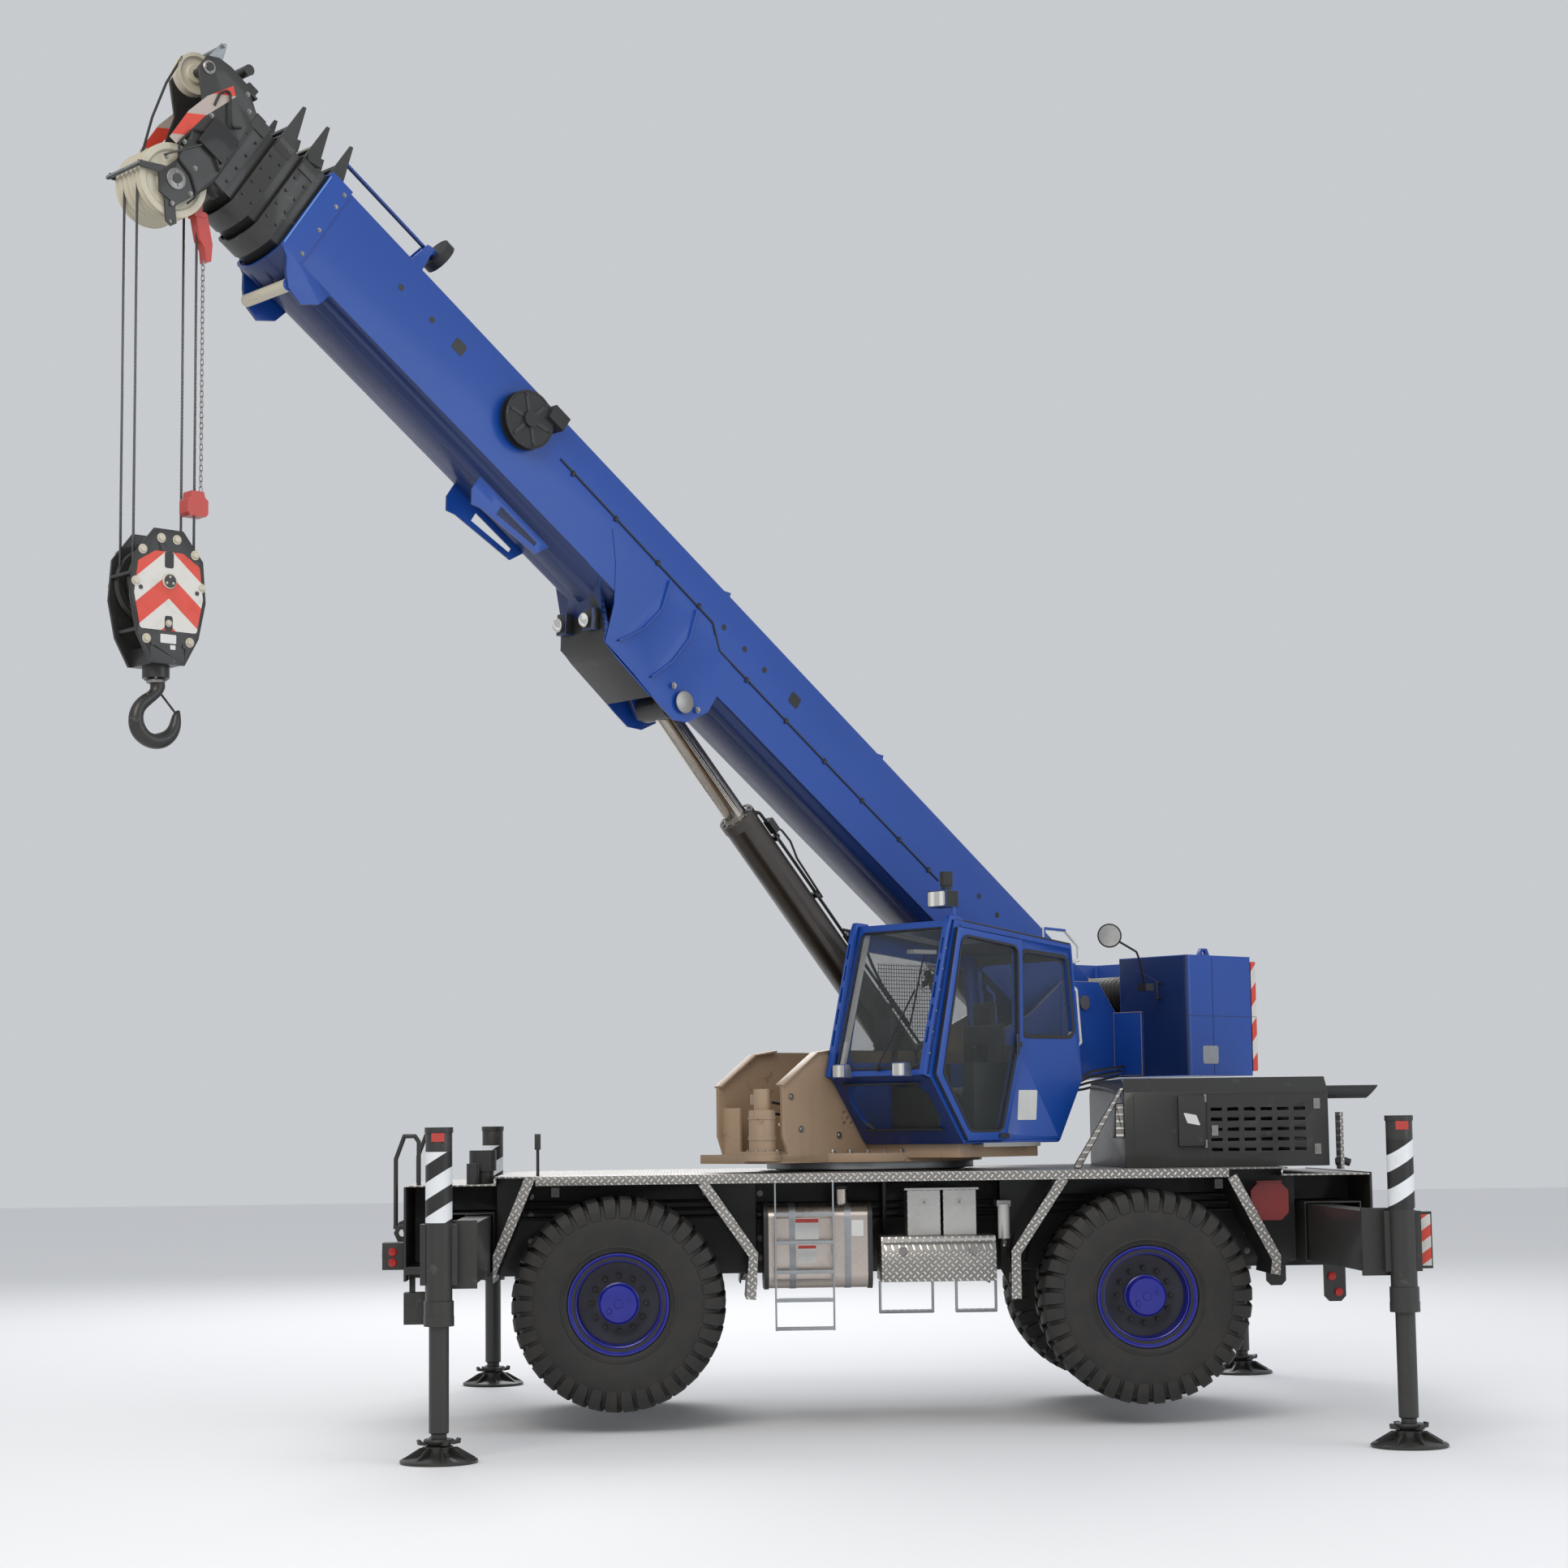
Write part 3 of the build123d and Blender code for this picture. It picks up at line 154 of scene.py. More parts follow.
def rounded(points, r, n=4):
    """A closed outline with its corners rounded."""
    ring = [Vector(p) for p in points]
    out = []
    for a, b, c in zip(ring[-1:] + ring[:-1], ring, ring[1:] + ring[:1]):
        out += [tuple(p) for p in fillet(a, b, c, r, n, 0.48, 3.13)]
    return out


def around(middle, axis, radius, angle):
    """A point on a circle about a middle, across the axis that the circle faces."""
    c, s = radius * math.cos(angle), radius * math.sin(angle)
    x, y, z = middle
    if axis[0]:
        return (x, y + c, z + s)
    return (x + c, y, z + s) if axis[1] else (x + c, y + s, z)


def in_scene(name, mesh):
    """A mesh's object, in the scene."""
    obj = bpy.data.objects.new(name, mesh)
    bpy.context.scene.collection.objects.link(obj)
    return obj


def owned(obj, body, replaces=()):
    """Gives a finished piece its body and hides the CAD nodes that it stands for."""
    if body:
        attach(obj, body)
    if replaces:
        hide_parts(*replaces)
    return obj


class Form:
    """Gathers faces in one of the machine's frames and becomes one piece."""

    def __init__(self, place):
        self.place = place
        self.bm = bmesh.new()

    def _put(self, verts, faces, bevel=0.0, local=None):
        made = [self.bm.verts.new(local @ Vector(v) if local else v) for v in verts]
        done = [self.bm.faces.new([made[i] for i in f]) for f in faces]
        if bevel > 0:
            edges = {e for f in done for e in f.edges}
            sharp = [e for e in edges if len(e.link_faces) == 2 and e.calc_face_angle(0) > 0.5]
            if sharp:
                bmesh.ops.bevel(
                    self.bm, geom=sharp, offset=bevel, segments=2, profile=0.6, affect="EDGES",
                    clamp_overlap=True)
        return self

    def box(self, x0, x1, y0, y1, z0, z1, bevel=0.004, local=None):
        v = [(x, y, z) for x in (x0, x1) for y in (y0, y1) for z in (z0, z1)]
        f = [(0, 1, 3, 2), (4, 6, 7, 5), (0, 4, 5, 1), (2, 3, 7, 6), (0, 2, 6, 4), (1, 5, 7, 3)]
        return self._put(v, f, bevel, local)

    def prism(self, outline, lo, hi, axis="y", bevel=0.003, local=None):
        """A closed outline pushed from lo to hi along an axis; it lies in the other two."""
        def at(p, h):
            if axis == "y":
                return (p[0], h, p[1])
            if axis == "z":
                return (p[0], p[1], h)
            return (h, p[0], p[1])
        area = sum(a[0] * b[1] - b[0] * a[1] for a, b in zip(outline, outline[1:] + outline[:1]))
        if (area < 0) != (axis == "y"):
            outline = outline[::-1]
        n = len(outline)
        v = [at(p, lo) for p in outline] + [at(p, hi) for p in outline]
        f = [tuple(range(n - 1, -1, -1)), tuple(range(n, 2 * n))]
        f += [(i, (i + 1) % n, n + (i + 1) % n, n + i) for i in range(n)]
        return self._put(v, f, bevel, local)

    def lathe(self, profile, centre, axis, n=48, local=None):
        """A closed profile of (radius, height) turned about an axis through centre."""
        axis = Vector(axis).normalized()
        side = axis.orthogonal().normalized()
        other = axis.cross(side)
        centre = Vector(centre)
        if sum(a[0] * b[1] - b[0] * a[1] for a, b in zip(profile, profile[1:] + profile[:1])) > 0:
            profile = profile[::-1]
        rings = []
        for r, h in profile:
            if r < 1e-6:
                p = centre + axis * h
                rings.append([self.bm.verts.new(local @ p if local else p)])
                continue
            ring = []
            for i in range(n):
                a = 2 * math.pi * i / n
                p = centre + axis * h + (side * math.cos(a) + other * math.sin(a)) * r
                ring.append(self.bm.verts.new(local @ p if local else p))
            rings.append(ring)
        for a, b in zip(rings, rings[1:] + rings[:1]):
            if len(a) == 1 and len(b) == 1:
                continue
            for i in range(n):
                j = (i + 1) % n
                if len(a) == 1:
                    self.bm.faces.new((a[0], b[i], b[j]))
                elif len(b) == 1:
                    self.bm.faces.new((a[j], a[i], b[0]))
                else:
                    self.bm.faces.new((a[j], a[i], b[i], b[j]))
        return self

    def rod(self, a, b, r, n=24, chamfer=None, bore=0.0):
        a = Vector(a)
        b = Vector(b)
        h = (b - a).length
        c = min(r * 0.12, h * 0.2) if chamfer is None else chamfer
        c = min(c, h * 0.45)
        profile = [(r - c, 0), (r, c), (r, h - c), (r - c, h)] if c > 0 else [(r, 0), (r, h)]
        profile = [(bore, 0)] + profile + [(bore, h)]
        return self.lathe(profile, a, b - a, n)

    def tube(self, points, r, n=12, bend=0.0, closed=False):
        """A round bar along a path; bend rounds the path's corners."""
        points = [Vector(p) for p in points]
        if bend > 0 and len(points) > 2:
            path = [points[0]]
            for a, b, c in zip(points, points[1:], points[2:]):
                path += fillet(a, b, c, bend, 6, 0.45, 3.1)
            points = path + [points[-1]]
        if closed:
            points = points + [points[0]]
        side = (points[1] - points[0]).orthogonal().normalized()
        rings = []
        for i, p in enumerate(points):
            t = (points[min(i + 1, len(points) - 1)] - points[max(i - 1, 0)]).normalized()
            side = (side - t * side.dot(t)).normalized()
            other = t.cross(side)
            rings.append(
                [
                    self.bm.verts.new(
                        p + (
                            side * math.cos(
                                2 * math.pi * k / n) + other * math.sin(2 * math.pi * k / n)
                        ) * r
                    )
                    for k in range(n)]
            )
        for a, b in zip(rings, rings[1:]):
            for i in range(n):
                j = (i + 1) % n
                self.bm.faces.new((a[i], a[j], b[j], b[i]))
        self.bm.faces.new(rings[0][::-1])
        self.bm.faces.new(rings[-1])
        return self

    def loft(self, rings, cap=True):
        """Skins rings of equally many points, first to last."""
        made = [[self.bm.verts.new(p) for p in ring] for ring in rings]
        n = len(made[0])
        for a, b in zip(made, made[1:]):
            for i in range(n):
                j = (i + 1) % n
                self.bm.faces.new((a[i], a[j], b[j], b[i]))
        if cap:
            self.bm.faces.new(made[0][::-1])
            self.bm.faces.new(made[-1])
        return self

    def bolt(self, at, axis, r=0.014, h=0.012):
        """A hexagon head on its washer."""
        self.lathe([(0, 0), (r * 1.5, 0), (r * 1.5, h * 0.2), (0, h * 0.2)], at, axis, 16)
        axis = Vector(axis).normalized()
        base = Vector(at) + axis * h * 0.2
        return self.lathe([(0, 0), (r, 0), (r, h * 0.75), (r * 0.85, h), (0, h)], base, axis, 6)

    def bolt_ring(self, middle, axis, radius, count, r, h, first=0):
        """Bolts on a circle, the first one at its angle in degrees."""
        for k in range(count):
            self.bolt(
                around(middle, axis, radius, math.radians(360 / count * k + first)), axis, r, h)
        return self

    def hoop(self, middle, axis, radius, r, half, n):
        """A closed ring of round bar, in twice half straight lengths."""
        path = [around(middle, axis, radius, math.pi * i / half) for i in range(2 * half)]
        return self.tube(path, r, n, closed=True)

    def label(self, x0, x1, z0, z1, lo, hi, r, axis="y"):
        """A thin rectangle with round corners."""
        outline = [(x0, z0), (x1, z0), (x1, z1), (x0, z1)]
        return self.prism(rounded(outline, r), lo, hi, axis, 0)

    def mirror(self):
        """Doubles what is there to the other side of the frame's middle plane."""
        geom = self.bm.verts[:] + self.bm.edges[:] + self.bm.faces[:]
        made = bmesh.ops.duplicate(self.bm, geom=geom)["geom"]
        for v in made:
            if isinstance(v, bmesh.types.BMVert):
                v.co.y = -v.co.y
        bmesh.ops.reverse_faces(
            self.bm, faces=[f for f in made if isinstance(f, bmesh.types.BMFace)])
        return self

    def piece(self, name, body, paint, slot, smooth=35, replaces=()):
        """Closes the form as one object with its finish and body; the slot argument is not used."""
        mesh = bpy.data.meshes.new(name)
        bmesh.ops.recalc_face_normals(self.bm, faces=self.bm.faces)
        self.bm.to_mesh(mesh)
        self.bm.free()
        mesh.transform(self.place)
        mesh.shade_smooth()
        mesh.set_sharp_from_angle(angle=math.radians(smooth))
        mesh.materials.append(finish(paint))
        return owned(in_scene(name, mesh), body, replaces)


def bake(obj):
    """Turns an object's modifiers into plain mesh."""
    bpy.context.view_layer.update()
    graph = bpy.context.evaluated_depsgraph_get()
    mesh = bpy.data.meshes.new_from_object(obj.evaluated_get(graph))
    obj.modifiers.clear()
    old = obj.data
    obj.data = mesh
    bpy.data.meshes.remove(old)
    return obj


# Geometry Nodes: repeats along a circle, a line or a grid

def tree_of(name, sizes):
    tree = bpy.data.node_groups.new(name, "GeometryNodeTree")
    tree.interface.new_socket("Geometry", in_out="INPUT", socket_type="NodeSocketGeometry")
    for label, kind, value in sizes:
        socket = tree.interface.new_socket(label, in_out="INPUT", socket_type=kind)
        if value is not None:
            socket.default_value = value
    tree.interface.new_socket("Geometry", in_out="OUTPUT", socket_type="NodeSocketGeometry")
    return tree


def repeat_tree():
    """Copies the unit mesh on the points of a circle or a grid, realised and with its material."""
    name = "repeat_unit"
    if name in bpy.data.node_groups:
        return bpy.data.node_groups[name]
    tree = tree_of(name, [
        ("Count", "NodeSocketInt", 12),
        ("Radius", "NodeSocketFloat", 0.5),
        ("Columns", "NodeSocketInt", 0),
        ("Rows", "NodeSocketInt", 1),
        ("Column step", "NodeSocketFloat", 0.1),
        ("Row step", "NodeSocketFloat", 0.1),
        ("Material", "NodeSocketMaterial", None),
    ])
    n = tree.nodes
    link = tree.links.new
    source = n.new("NodeGroupInput")
    out = n.new("NodeGroupOutput")
    circle = n.new("GeometryNodeMeshCircle")
    circle.fill_type = "NONE"
    link(source.outputs["Count"], circle.inputs["Vertices"])
    link(source.outputs["Radius"], circle.inputs["Radius"])
    place = n.new("GeometryNodeInputPosition")
    split = n.new("ShaderNodeSeparateXYZ")
    link(place.outputs[0], split.inputs[0])
    turn = n.new("ShaderNodeMath")
    turn.operation = "ARCTAN2"
    link(split.outputs["Y"], turn.inputs[0])
    link(split.outputs["X"], turn.inputs[1])
    spin = n.new("ShaderNodeCombineXYZ")
    link(turn.outputs[0], spin.inputs["Z"])
    ring = n.new("GeometryNodeInstanceOnPoints")
    link(circle.outputs[0], ring.inputs["Points"])
    link(source.outputs["Geometry"], ring.inputs["Instance"])
    link(spin.outputs[0], ring.inputs["Rotation"])
    # The grid is drawn from its steps, so that it stays centred
    grid = n.new("GeometryNodeMeshGrid")
    for label, count, step, size in (
        ("Columns", "Vertices X", "Column step", "Size X"),
        ("Rows", "Vertices Y", "Row step", "Size Y")):
        less = n.new("ShaderNodeMath")
        less.operation = "SUBTRACT"
        link(source.outputs[label], less.inputs[0])
        less.inputs[1].default_value = 1
        times = n.new("ShaderNodeMath")
        times.operation = "MULTIPLY"
        link(less.outputs[0], times.inputs[0])
        link(source.outputs[step], times.inputs[1])
        link(times.outputs[0], grid.inputs[size])
        link(source.outputs[label], grid.inputs[count])
    rows = n.new("GeometryNodeInstanceOnPoints")
    link(grid.outputs[0], rows.inputs["Points"])
    link(source.outputs["Geometry"], rows.inputs["Instance"])
    compare = n.new("FunctionNodeCompare")
    compare.data_type = "INT"
    compare.operation = "GREATER_THAN"
    a, b = [s for s in compare.inputs if s.type == "INT"]
    link(source.outputs["Columns"], a)
    b.default_value = 0
    switch = n.new("GeometryNodeSwitch")
    switch.input_type = "GEOMETRY"
    link(compare.outputs[0], switch.inputs[0])
    link(ring.outputs[0], switch.inputs[1])
    link(rows.outputs[0], switch.inputs[2])
    real = n.new("GeometryNodeRealizeInstances")
    link(switch.outputs[0], real.inputs[0])
    paint = n.new("GeometryNodeSetMaterial")
    link(real.outputs[0], paint.inputs[0])
    link(source.outputs["Material"], paint.inputs["Material"])
    link(paint.outputs[0], out.inputs[0])
    return tree


def repeated(form, name, body, paint, slot, place, smooth=35, replaces=(), **sizes):
    """A unit form, made about the origin, repeated by Geometry Nodes and put in place."""
    form.place = Matrix.Identity(4)
    obj = form.piece(name, None, paint, slot, smooth)
    tree = repeat_tree()
    modifier = obj.modifiers.new("repeat", "NODES")
    modifier.node_group = tree
    ids = {
        item.name: item.identifier
        for item in tree.interface.items_tree if getattr(item, "in_out", "") == "INPUT"}
    for label, value in sizes.items():
        modifier[ids[label.replace("_", " ")]] = value
    modifier[ids["Material"]] = finish(paint)
    bake(obj)
    obj.data.transform(place)
    if place.is_negative:
        obj.data.flip_normals()
    return owned(obj, body, replaces)


def joined(name, body, parts, replaces=()):
    """Joins finished meshes of one material into one piece."""
    bm = bmesh.new()
    for part in parts:
        bm.from_mesh(part.data)
    mesh = bpy.data.meshes.new(name)
    bm.to_mesh(mesh)
    bm.free()
    for material in parts[0].data.materials:
        mesh.materials.append(material)
    obj = in_scene(name, mesh)
    for part in parts:
        bpy.data.objects.remove(part)
    return owned(obj, body, replaces)


# Shader maths

class Val:
    """A shader socket that takes Python arithmetic."""

    def __init__(self, maker, socket):
        self.maker = maker
        self.socket = socket

    def _math(self, operation, *values, clamp=False):
        return self.maker.node(
            "ShaderNodeMath", {"operation": operation, "use_clamp": clamp}, *values)

    def __add__(self, other):
        return self._math("ADD", self, other)

    __radd__ = __add__

    def __sub__(self, other):
        return self._math("SUBTRACT", self, other)

    def __rsub__(self, other):
        return self._math("SUBTRACT", other, self)

    def __mul__(self, other):
        return self._math("MULTIPLY", self, other)

    __rmul__ = __mul__

    def __truediv__(self, other):
        return self._math("DIVIDE", self, other)

    def __pow__(self, other):
        return self._math("POWER", self, other)

    def __gt__(self, other):
        return self._math("GREATER_THAN", self, other)

    def mod(self, other):
        return self._math("FLOORED_MODULO", self, other)

    def abs(self):
        return self._math("ABSOLUTE", self)

    def clamp(self):
        return self._math("ADD", self, 0.0, clamp=True)

    def sin(self):
        return self._math("SINE", self)

    def step(self, low, high):
        """0 below low, 1 above high, smooth between."""
        return self.maker.node(
            "ShaderNodeMapRange", {"interpolation_type": "SMOOTHSTEP"}, self, low, high, 0.0, 1.0)


class Finish:
    """Builds one material: a Principled shader and what feeds it."""

    def __init__(self, name, color=(0.5, 0.5, 0.5), rough=0.5, metal=0.0, **fixed):
        self.material = bpy.data.materials.new(name)
        self.material.use_nodes = True
        self.tree = self.material.node_tree
        self.tree.nodes.clear()
        self.out = self.tree.nodes.new("ShaderNodeOutputMaterial")
        self.shader = self.tree.nodes.new("ShaderNodeBsdfPrincipled")
        self.tree.links.new(self.shader.outputs[0], self.out.inputs[0])
        self.shader.inputs["Base Color"].default_value = (*color, 1)
        self.shader.inputs["Roughness"].default_value = rough
        self.shader.inputs["Metallic"].default_value = metal
        for label, value in fixed.items():
            self.shader.inputs[label.replace("_", " ")].default_value = value
        self.coords = None

    def node(self, kind, settings, *values, out=0, named=None):
        made = self.tree.nodes.new(kind)
        for key, value in settings.items():
            setattr(made, key, value)
        for i, value in enumerate(values):
            self._feed(made.inputs[i], value)
        for key, value in (named or {}).items():
            self._feed(made.inputs[key], value)
        return Val(self, made.outputs[out])

    def _feed(self, socket, value):
        if isinstance(value, Val):
            self.tree.links.new(value.socket, socket)
        elif value is not None:
            socket.default_value = value

    def point(self):
        if self.coords is None:
            self.coords = self.node("ShaderNodeTexCoord", {}, out=3)
        return self.coords

    def at(self, place):
        """Object coordinates in one of the machine's frames."""
        flat = place.inverted()
        angles = flat.to_euler()
        mapped = self.node(
            "ShaderNodeMapping", {"vector_type": "POINT"}, self.point(),
            tuple(flat.to_translation()), tuple(angles))
        return mapped

    def axes(self, vector):
        made = self.tree.nodes.new("ShaderNodeSeparateXYZ")
        self.tree.links.new(vector.socket, made.inputs[0])
        return tuple(Val(self, made.outputs[i]) for i in range(3))

    def noise(self, scale, detail=3.0, rough=0.5, vector=None, seed=0.0):
        return self.node("ShaderNodeTexNoise", {"noise_dimensions": "4D"}, named={
            "Vector": vector or self.point(), "W": seed, "Scale": scale, "Detail": detail,
            "Roughness": rough})

    def stretch(self, vector, factors):
        return self.node("ShaderNodeVectorMath", {"operation": "MULTIPLY"}, vector, tuple(factors))

    def mix(self, factor, a, b):
        made = self.tree.nodes.new("ShaderNodeMix")
        made.data_type = "RGBA"
        self._feed(made.inputs["Factor"], factor)
        for slot_index, value in ((6, a), (7, b)):
            self._feed(made.inputs[slot_index], value if isinstance(value, Val) else (*value, 1))
        return Val(self, made.outputs[2])

    def bump(self, height, strength=0.3, distance=0.002, normal=None):
        made = self.tree.nodes.new("ShaderNodeBump")
        made.inputs["Strength"].default_value = strength
        made.inputs["Distance"].default_value = distance
        self._feed(made.inputs["Height"], height)
        if normal is not None:
            self._feed(made.inputs["Normal"], normal)
        return Val(self, made.outputs[0])

    def set(self, label, value):
        self._feed(self.shader.inputs[label], value)
        return self

    def grime(self, color, dirt, amount=0.35, low=0.0, high=2.2):
        """Dust and stains that gather low down and in patches."""
        z = self.axes(self.point())[2]
        patches = self.noise(2.3, 6, 0.62).step(0.48, 0.72)
        streaks = self.noise(1.0, 4, 0.6, self.stretch(self.point(), (9, 9, 0.8))).step(0.5, 0.75)
        near = 1 - (z - low) / (high - low)
        mask = ((patches * 0.6 + streaks * 0.5) * near.clamp() * amount).clamp()
        return self.mix(mask, color, dirt), mask


def painted(
    name, color, rough=0.38, dirt=(0.2, 0.17, 0.14), amount=0.3, peel=0.25, high=2.2, coat=0.25,
    wear=0.0, under=(0.35, 0.33, 0.3)):
    """Machine enamel with orange peel, faint fading, dust low down and rubbed spots."""
    f = Finish(name, color, rough, Coat_Roughness=0.12, IOR=1.5)
    fade = f.noise(0.9, 3, 0.5).step(0.3, 0.75)
    light = tuple(min(1, c * 1.14 + 0.004) for c in color)
    base = f.mix(fade * 0.5, color, light)
    base, mask = f.grime(base, dirt, amount, 0.0, high)
    specks = f.noise(60, 3, 0.6).step(0.66, 0.72)
    base = f.mix(specks * 0.12, base, dirt)
    if wear > 0:
        chips = (f.noise(7, 8, 0.7, seed=3.0).step(0.60, 0.66)) * wear
        base = f.mix(chips.clamp(), base, under)
        mask = (mask + chips * 0.5).clamp()
    f.set("Base Color", base)
    f.set("Roughness", (f.noise(14, 4, 0.6) * 0.14 + (rough - 0.07) + mask * 0.35).clamp())
    f.set("Coat Weight", ((1 - mask) * coat).clamp())
    height = f.noise(170, 2, 0.5) * peel + f.noise(24, 2, 0.5) * 0.25
    f.set("Normal", f.bump(height, 0.10, 0.002))
    return f.material


def metal(name, color, rough=0.3, brush=(1, 1, 14), amount=0.2, dirt=(0.1, 0.08, 0.06), grain=0.15):
    f = Finish(name, color, rough, 1.0)
    lines = f.noise(26, 4, 0.6, f.stretch(f.point(), brush))
    stain = f.noise(3.2, 6, 0.65).step(0.45, 0.75)
    f.set(
        "Base Color",
        f.mix(
            (stain * amount).clamp(), f.mix(lines * 0.35, color, tuple(c * 0.72 for c in color)),
            dirt)
    )
    f.set("Roughness", (lines * 0.16 + stain * 0.22 + rough - 0.08).clamp())
    f.set("Normal", f.bump(lines, grain, 0.001))
    return f.material


def tread_plate(name, place, plane, color=(0.52, 0.5, 0.47)):
    """Aluminium chequer plate: raised bars in pairs that turn about every other cell."""
    f = Finish(name, color, 0.34, 1.0)
    x, y, z = f.axes(f.at(place))
    a, b = {"xy": (x, y), "xz": (x, z), "yz": (y, z)}[plane]
    cell = 0.038
    u = (a + b) / (cell * 1.4142)
    v = (a - b) / (cell * 1.4142)
    cu = u.mod(1.0) - 0.5
    cv = v.mod(1.0) - 0.5
    odd = ((u - u.mod(1.0)) + (v - v.mod(1.0))).mod(2.0) > 0.5
    along = cu * odd + cv * (1 - odd)
    across = cv * odd + cu * (1 - odd)
    bar = (1 - ((along * 2.3) ** 2.0 + (across * 5.5) ** 2.0)).clamp()
    bar = bar.step(0.0, 0.5)
    worn = f.noise(5, 5, 0.6).step(0.4, 0.7)
    low = f.mix(worn * 0.5, tuple(c * 0.5 for c in color), tuple(c * 0.72 for c in color))
    f.set("Base Color", f.mix(bar, low, tuple(min(1, c * 1.45) for c in color)))
    f.set("Roughness", (0.46 - bar * 0.2 + worn * 0.12).clamp())
    f.set("Normal", f.bump(bar, 0.55, 0.004))
    return f.material


def striped(name, place, plane, a, b, width, slope=1.0, chevron=None, rough=0.4):
    """Warning stripes painted on a plate, straight or as chevrons about a line."""
    f = Finish(name, a, rough)
    x, y, z = f.axes(f.at(place))
    u, v = {"xy": (x, y), "xz": (x, z), "yz": (y, z)}[plane]
    if chevron is not None:
        u = (u - chevron).abs()
    edge = (v + u * slope) / width
    wobble = edge.mod(1.0)
    band = wobble.step(0.0, 0.02) * (1 - wobble.step(0.5, 0.52))
    dirt = f.noise(6, 6, 0.65).step(0.5, 0.75)
    base = f.mix(band, a, b)
    f.set("Base Color", f.mix(dirt * 0.18, base, (0.1, 0.08, 0.07)))
    f.set("Roughness", (rough + dirt * 0.2).clamp())
    f.set("Normal", f.bump(f.noise(140, 2, 0.5), 0.08, 0.001))
    return f.material


def rubber(name):
    """Tyre rubber, with patches of brown dust and a fine grain."""
    f = Finish(name, (0.02, 0.02, 0.019), 0.75)
    dust = f.noise(5.5, 7, 0.68).step(0.42, 0.72)
    fine = f.noise(70, 4, 0.6)
    low = f.mix(dust * 0.5, (0.014, 0.0135, 0.0125), (0.06, 0.05, 0.04))
    f.set("Base Color", f.mix(fine.step(0.55, 0.8) * 0.25, low, (0.08, 0.07, 0.058)))
    f.set("Roughness", (0.62 + dust * 0.25).clamp())
    f.set("Normal", f.bump(fine * 0.6 + f.noise(16, 3, 0.6), 0.25, 0.002))
    return f.material


def rope_steel(name):
    """Laid wire rope: strands wind round, read from the piece's own UV map."""
    f = Finish(name, (0.2, 0.2, 0.21), 0.42, 0.9)
    uv = f.node("ShaderNodeTexCoord", {}, out=2)
    u, v = f.axes(uv)[:2]
    strand = ((v * 42.0 + u * 6.0) * 6.28318).sin()
    f.set("Base Color", f.mix(strand.step(-0.4, 0.8), (0.035, 0.035, 0.038), (0.3, 0.3, 0.31)))
    f.set("Normal", f.bump(strand, 0.6, 0.003))
    return f.material


def clear_glass(name, tint=(0.55, 0.62, 0.6), rough=0.03, alpha=0.2):
    f = Finish(name, tuple(c * 0.12 for c in tint), rough, IOR=1.5)
    smear = f.noise(4, 5, 0.6).step(0.45, 0.8)
    f.set("Roughness", (rough + smear * 0.06).clamp())
    f.set("Alpha", (alpha + smear * 0.08).clamp())
    f.set("Normal", f.bump(f.noise(3, 1, 0.5), 0.01, 0.001))
    return f.material


def plastic(name, color, rough=0.55, grain=90.0):
    f = Finish(name, color, rough)
    fine = f.noise(grain, 3, 0.6)
    worn = f.noise(6, 5, 0.6).step(0.45, 0.75)
    f.set("Base Color", f.mix(worn * 0.25, color, tuple(min(1, c * 1.5 + 0.01) for c in color)))
    f.set("Roughness", (rough + worn * 0.12).clamp())
    f.set("Normal", f.bump(fine, 0.18, 0.0015))
    return f.material


def fabric(name, color):
    f = Finish(name, color, 0.85, Sheen_Weight=0.3)
    x, y, z = f.axes(f.point())
    weave = ((x + y) * 1100.0).sin() * (z * 1100.0 + (x - y) * 500.0).sin()
    f.set("Base Color", f.mix(weave.step(-0.3, 0.8), tuple(c * 0.7 for c in color), color))
    f.set("Roughness", (0.82 + weave * 0.08).clamp())
    f.set("Normal", f.bump(weave, 0.3, 0.001))
    return f.material


def lamp_glass(name, color):
    f = Finish(name, color, 0.12, Coat_Roughness=0.05)
    x, y = f.axes(f.point())[:2]
    ribs = ((x + y) * 520.0).sin()
    f.set("Base Color", f.mix(ribs.step(-0.2, 0.9), tuple(c * 0.6 for c in color), color))
    f.set("Normal", f.bump(ribs, 0.3, 0.001))
    return f.material


# Sizes and colours that a user would change

class CraneSizes(bpy.types.PropertyGroup):
    """Sizes of the pieces that the dressing adds."""

    lugs: bpy.props.IntProperty(
        name="Tyre lugs", description="Lugs on each side of a tyre", default=38, min=20, max=60)
    lug_height: bpy.props.FloatProperty(
        name="Lug height", description="Depth of the tyre's tread", default=0.034, unit="LENGTH")
    rope: bpy.props.FloatProperty(
        name="Rope radius", description="Radius of the hoist rope", default=0.009, unit="LENGTH")
    stripe: bpy.props.FloatProperty(
        name="Stripe width", description="Pitch of the warning stripes", default=0.24, unit="LENGTH"
    )
    camera_lens: bpy.props.FloatProperty(
        name="Lens", description="Focal length in mm on a 36 mm sensor", default=69.76,
        unit="CAMERA")


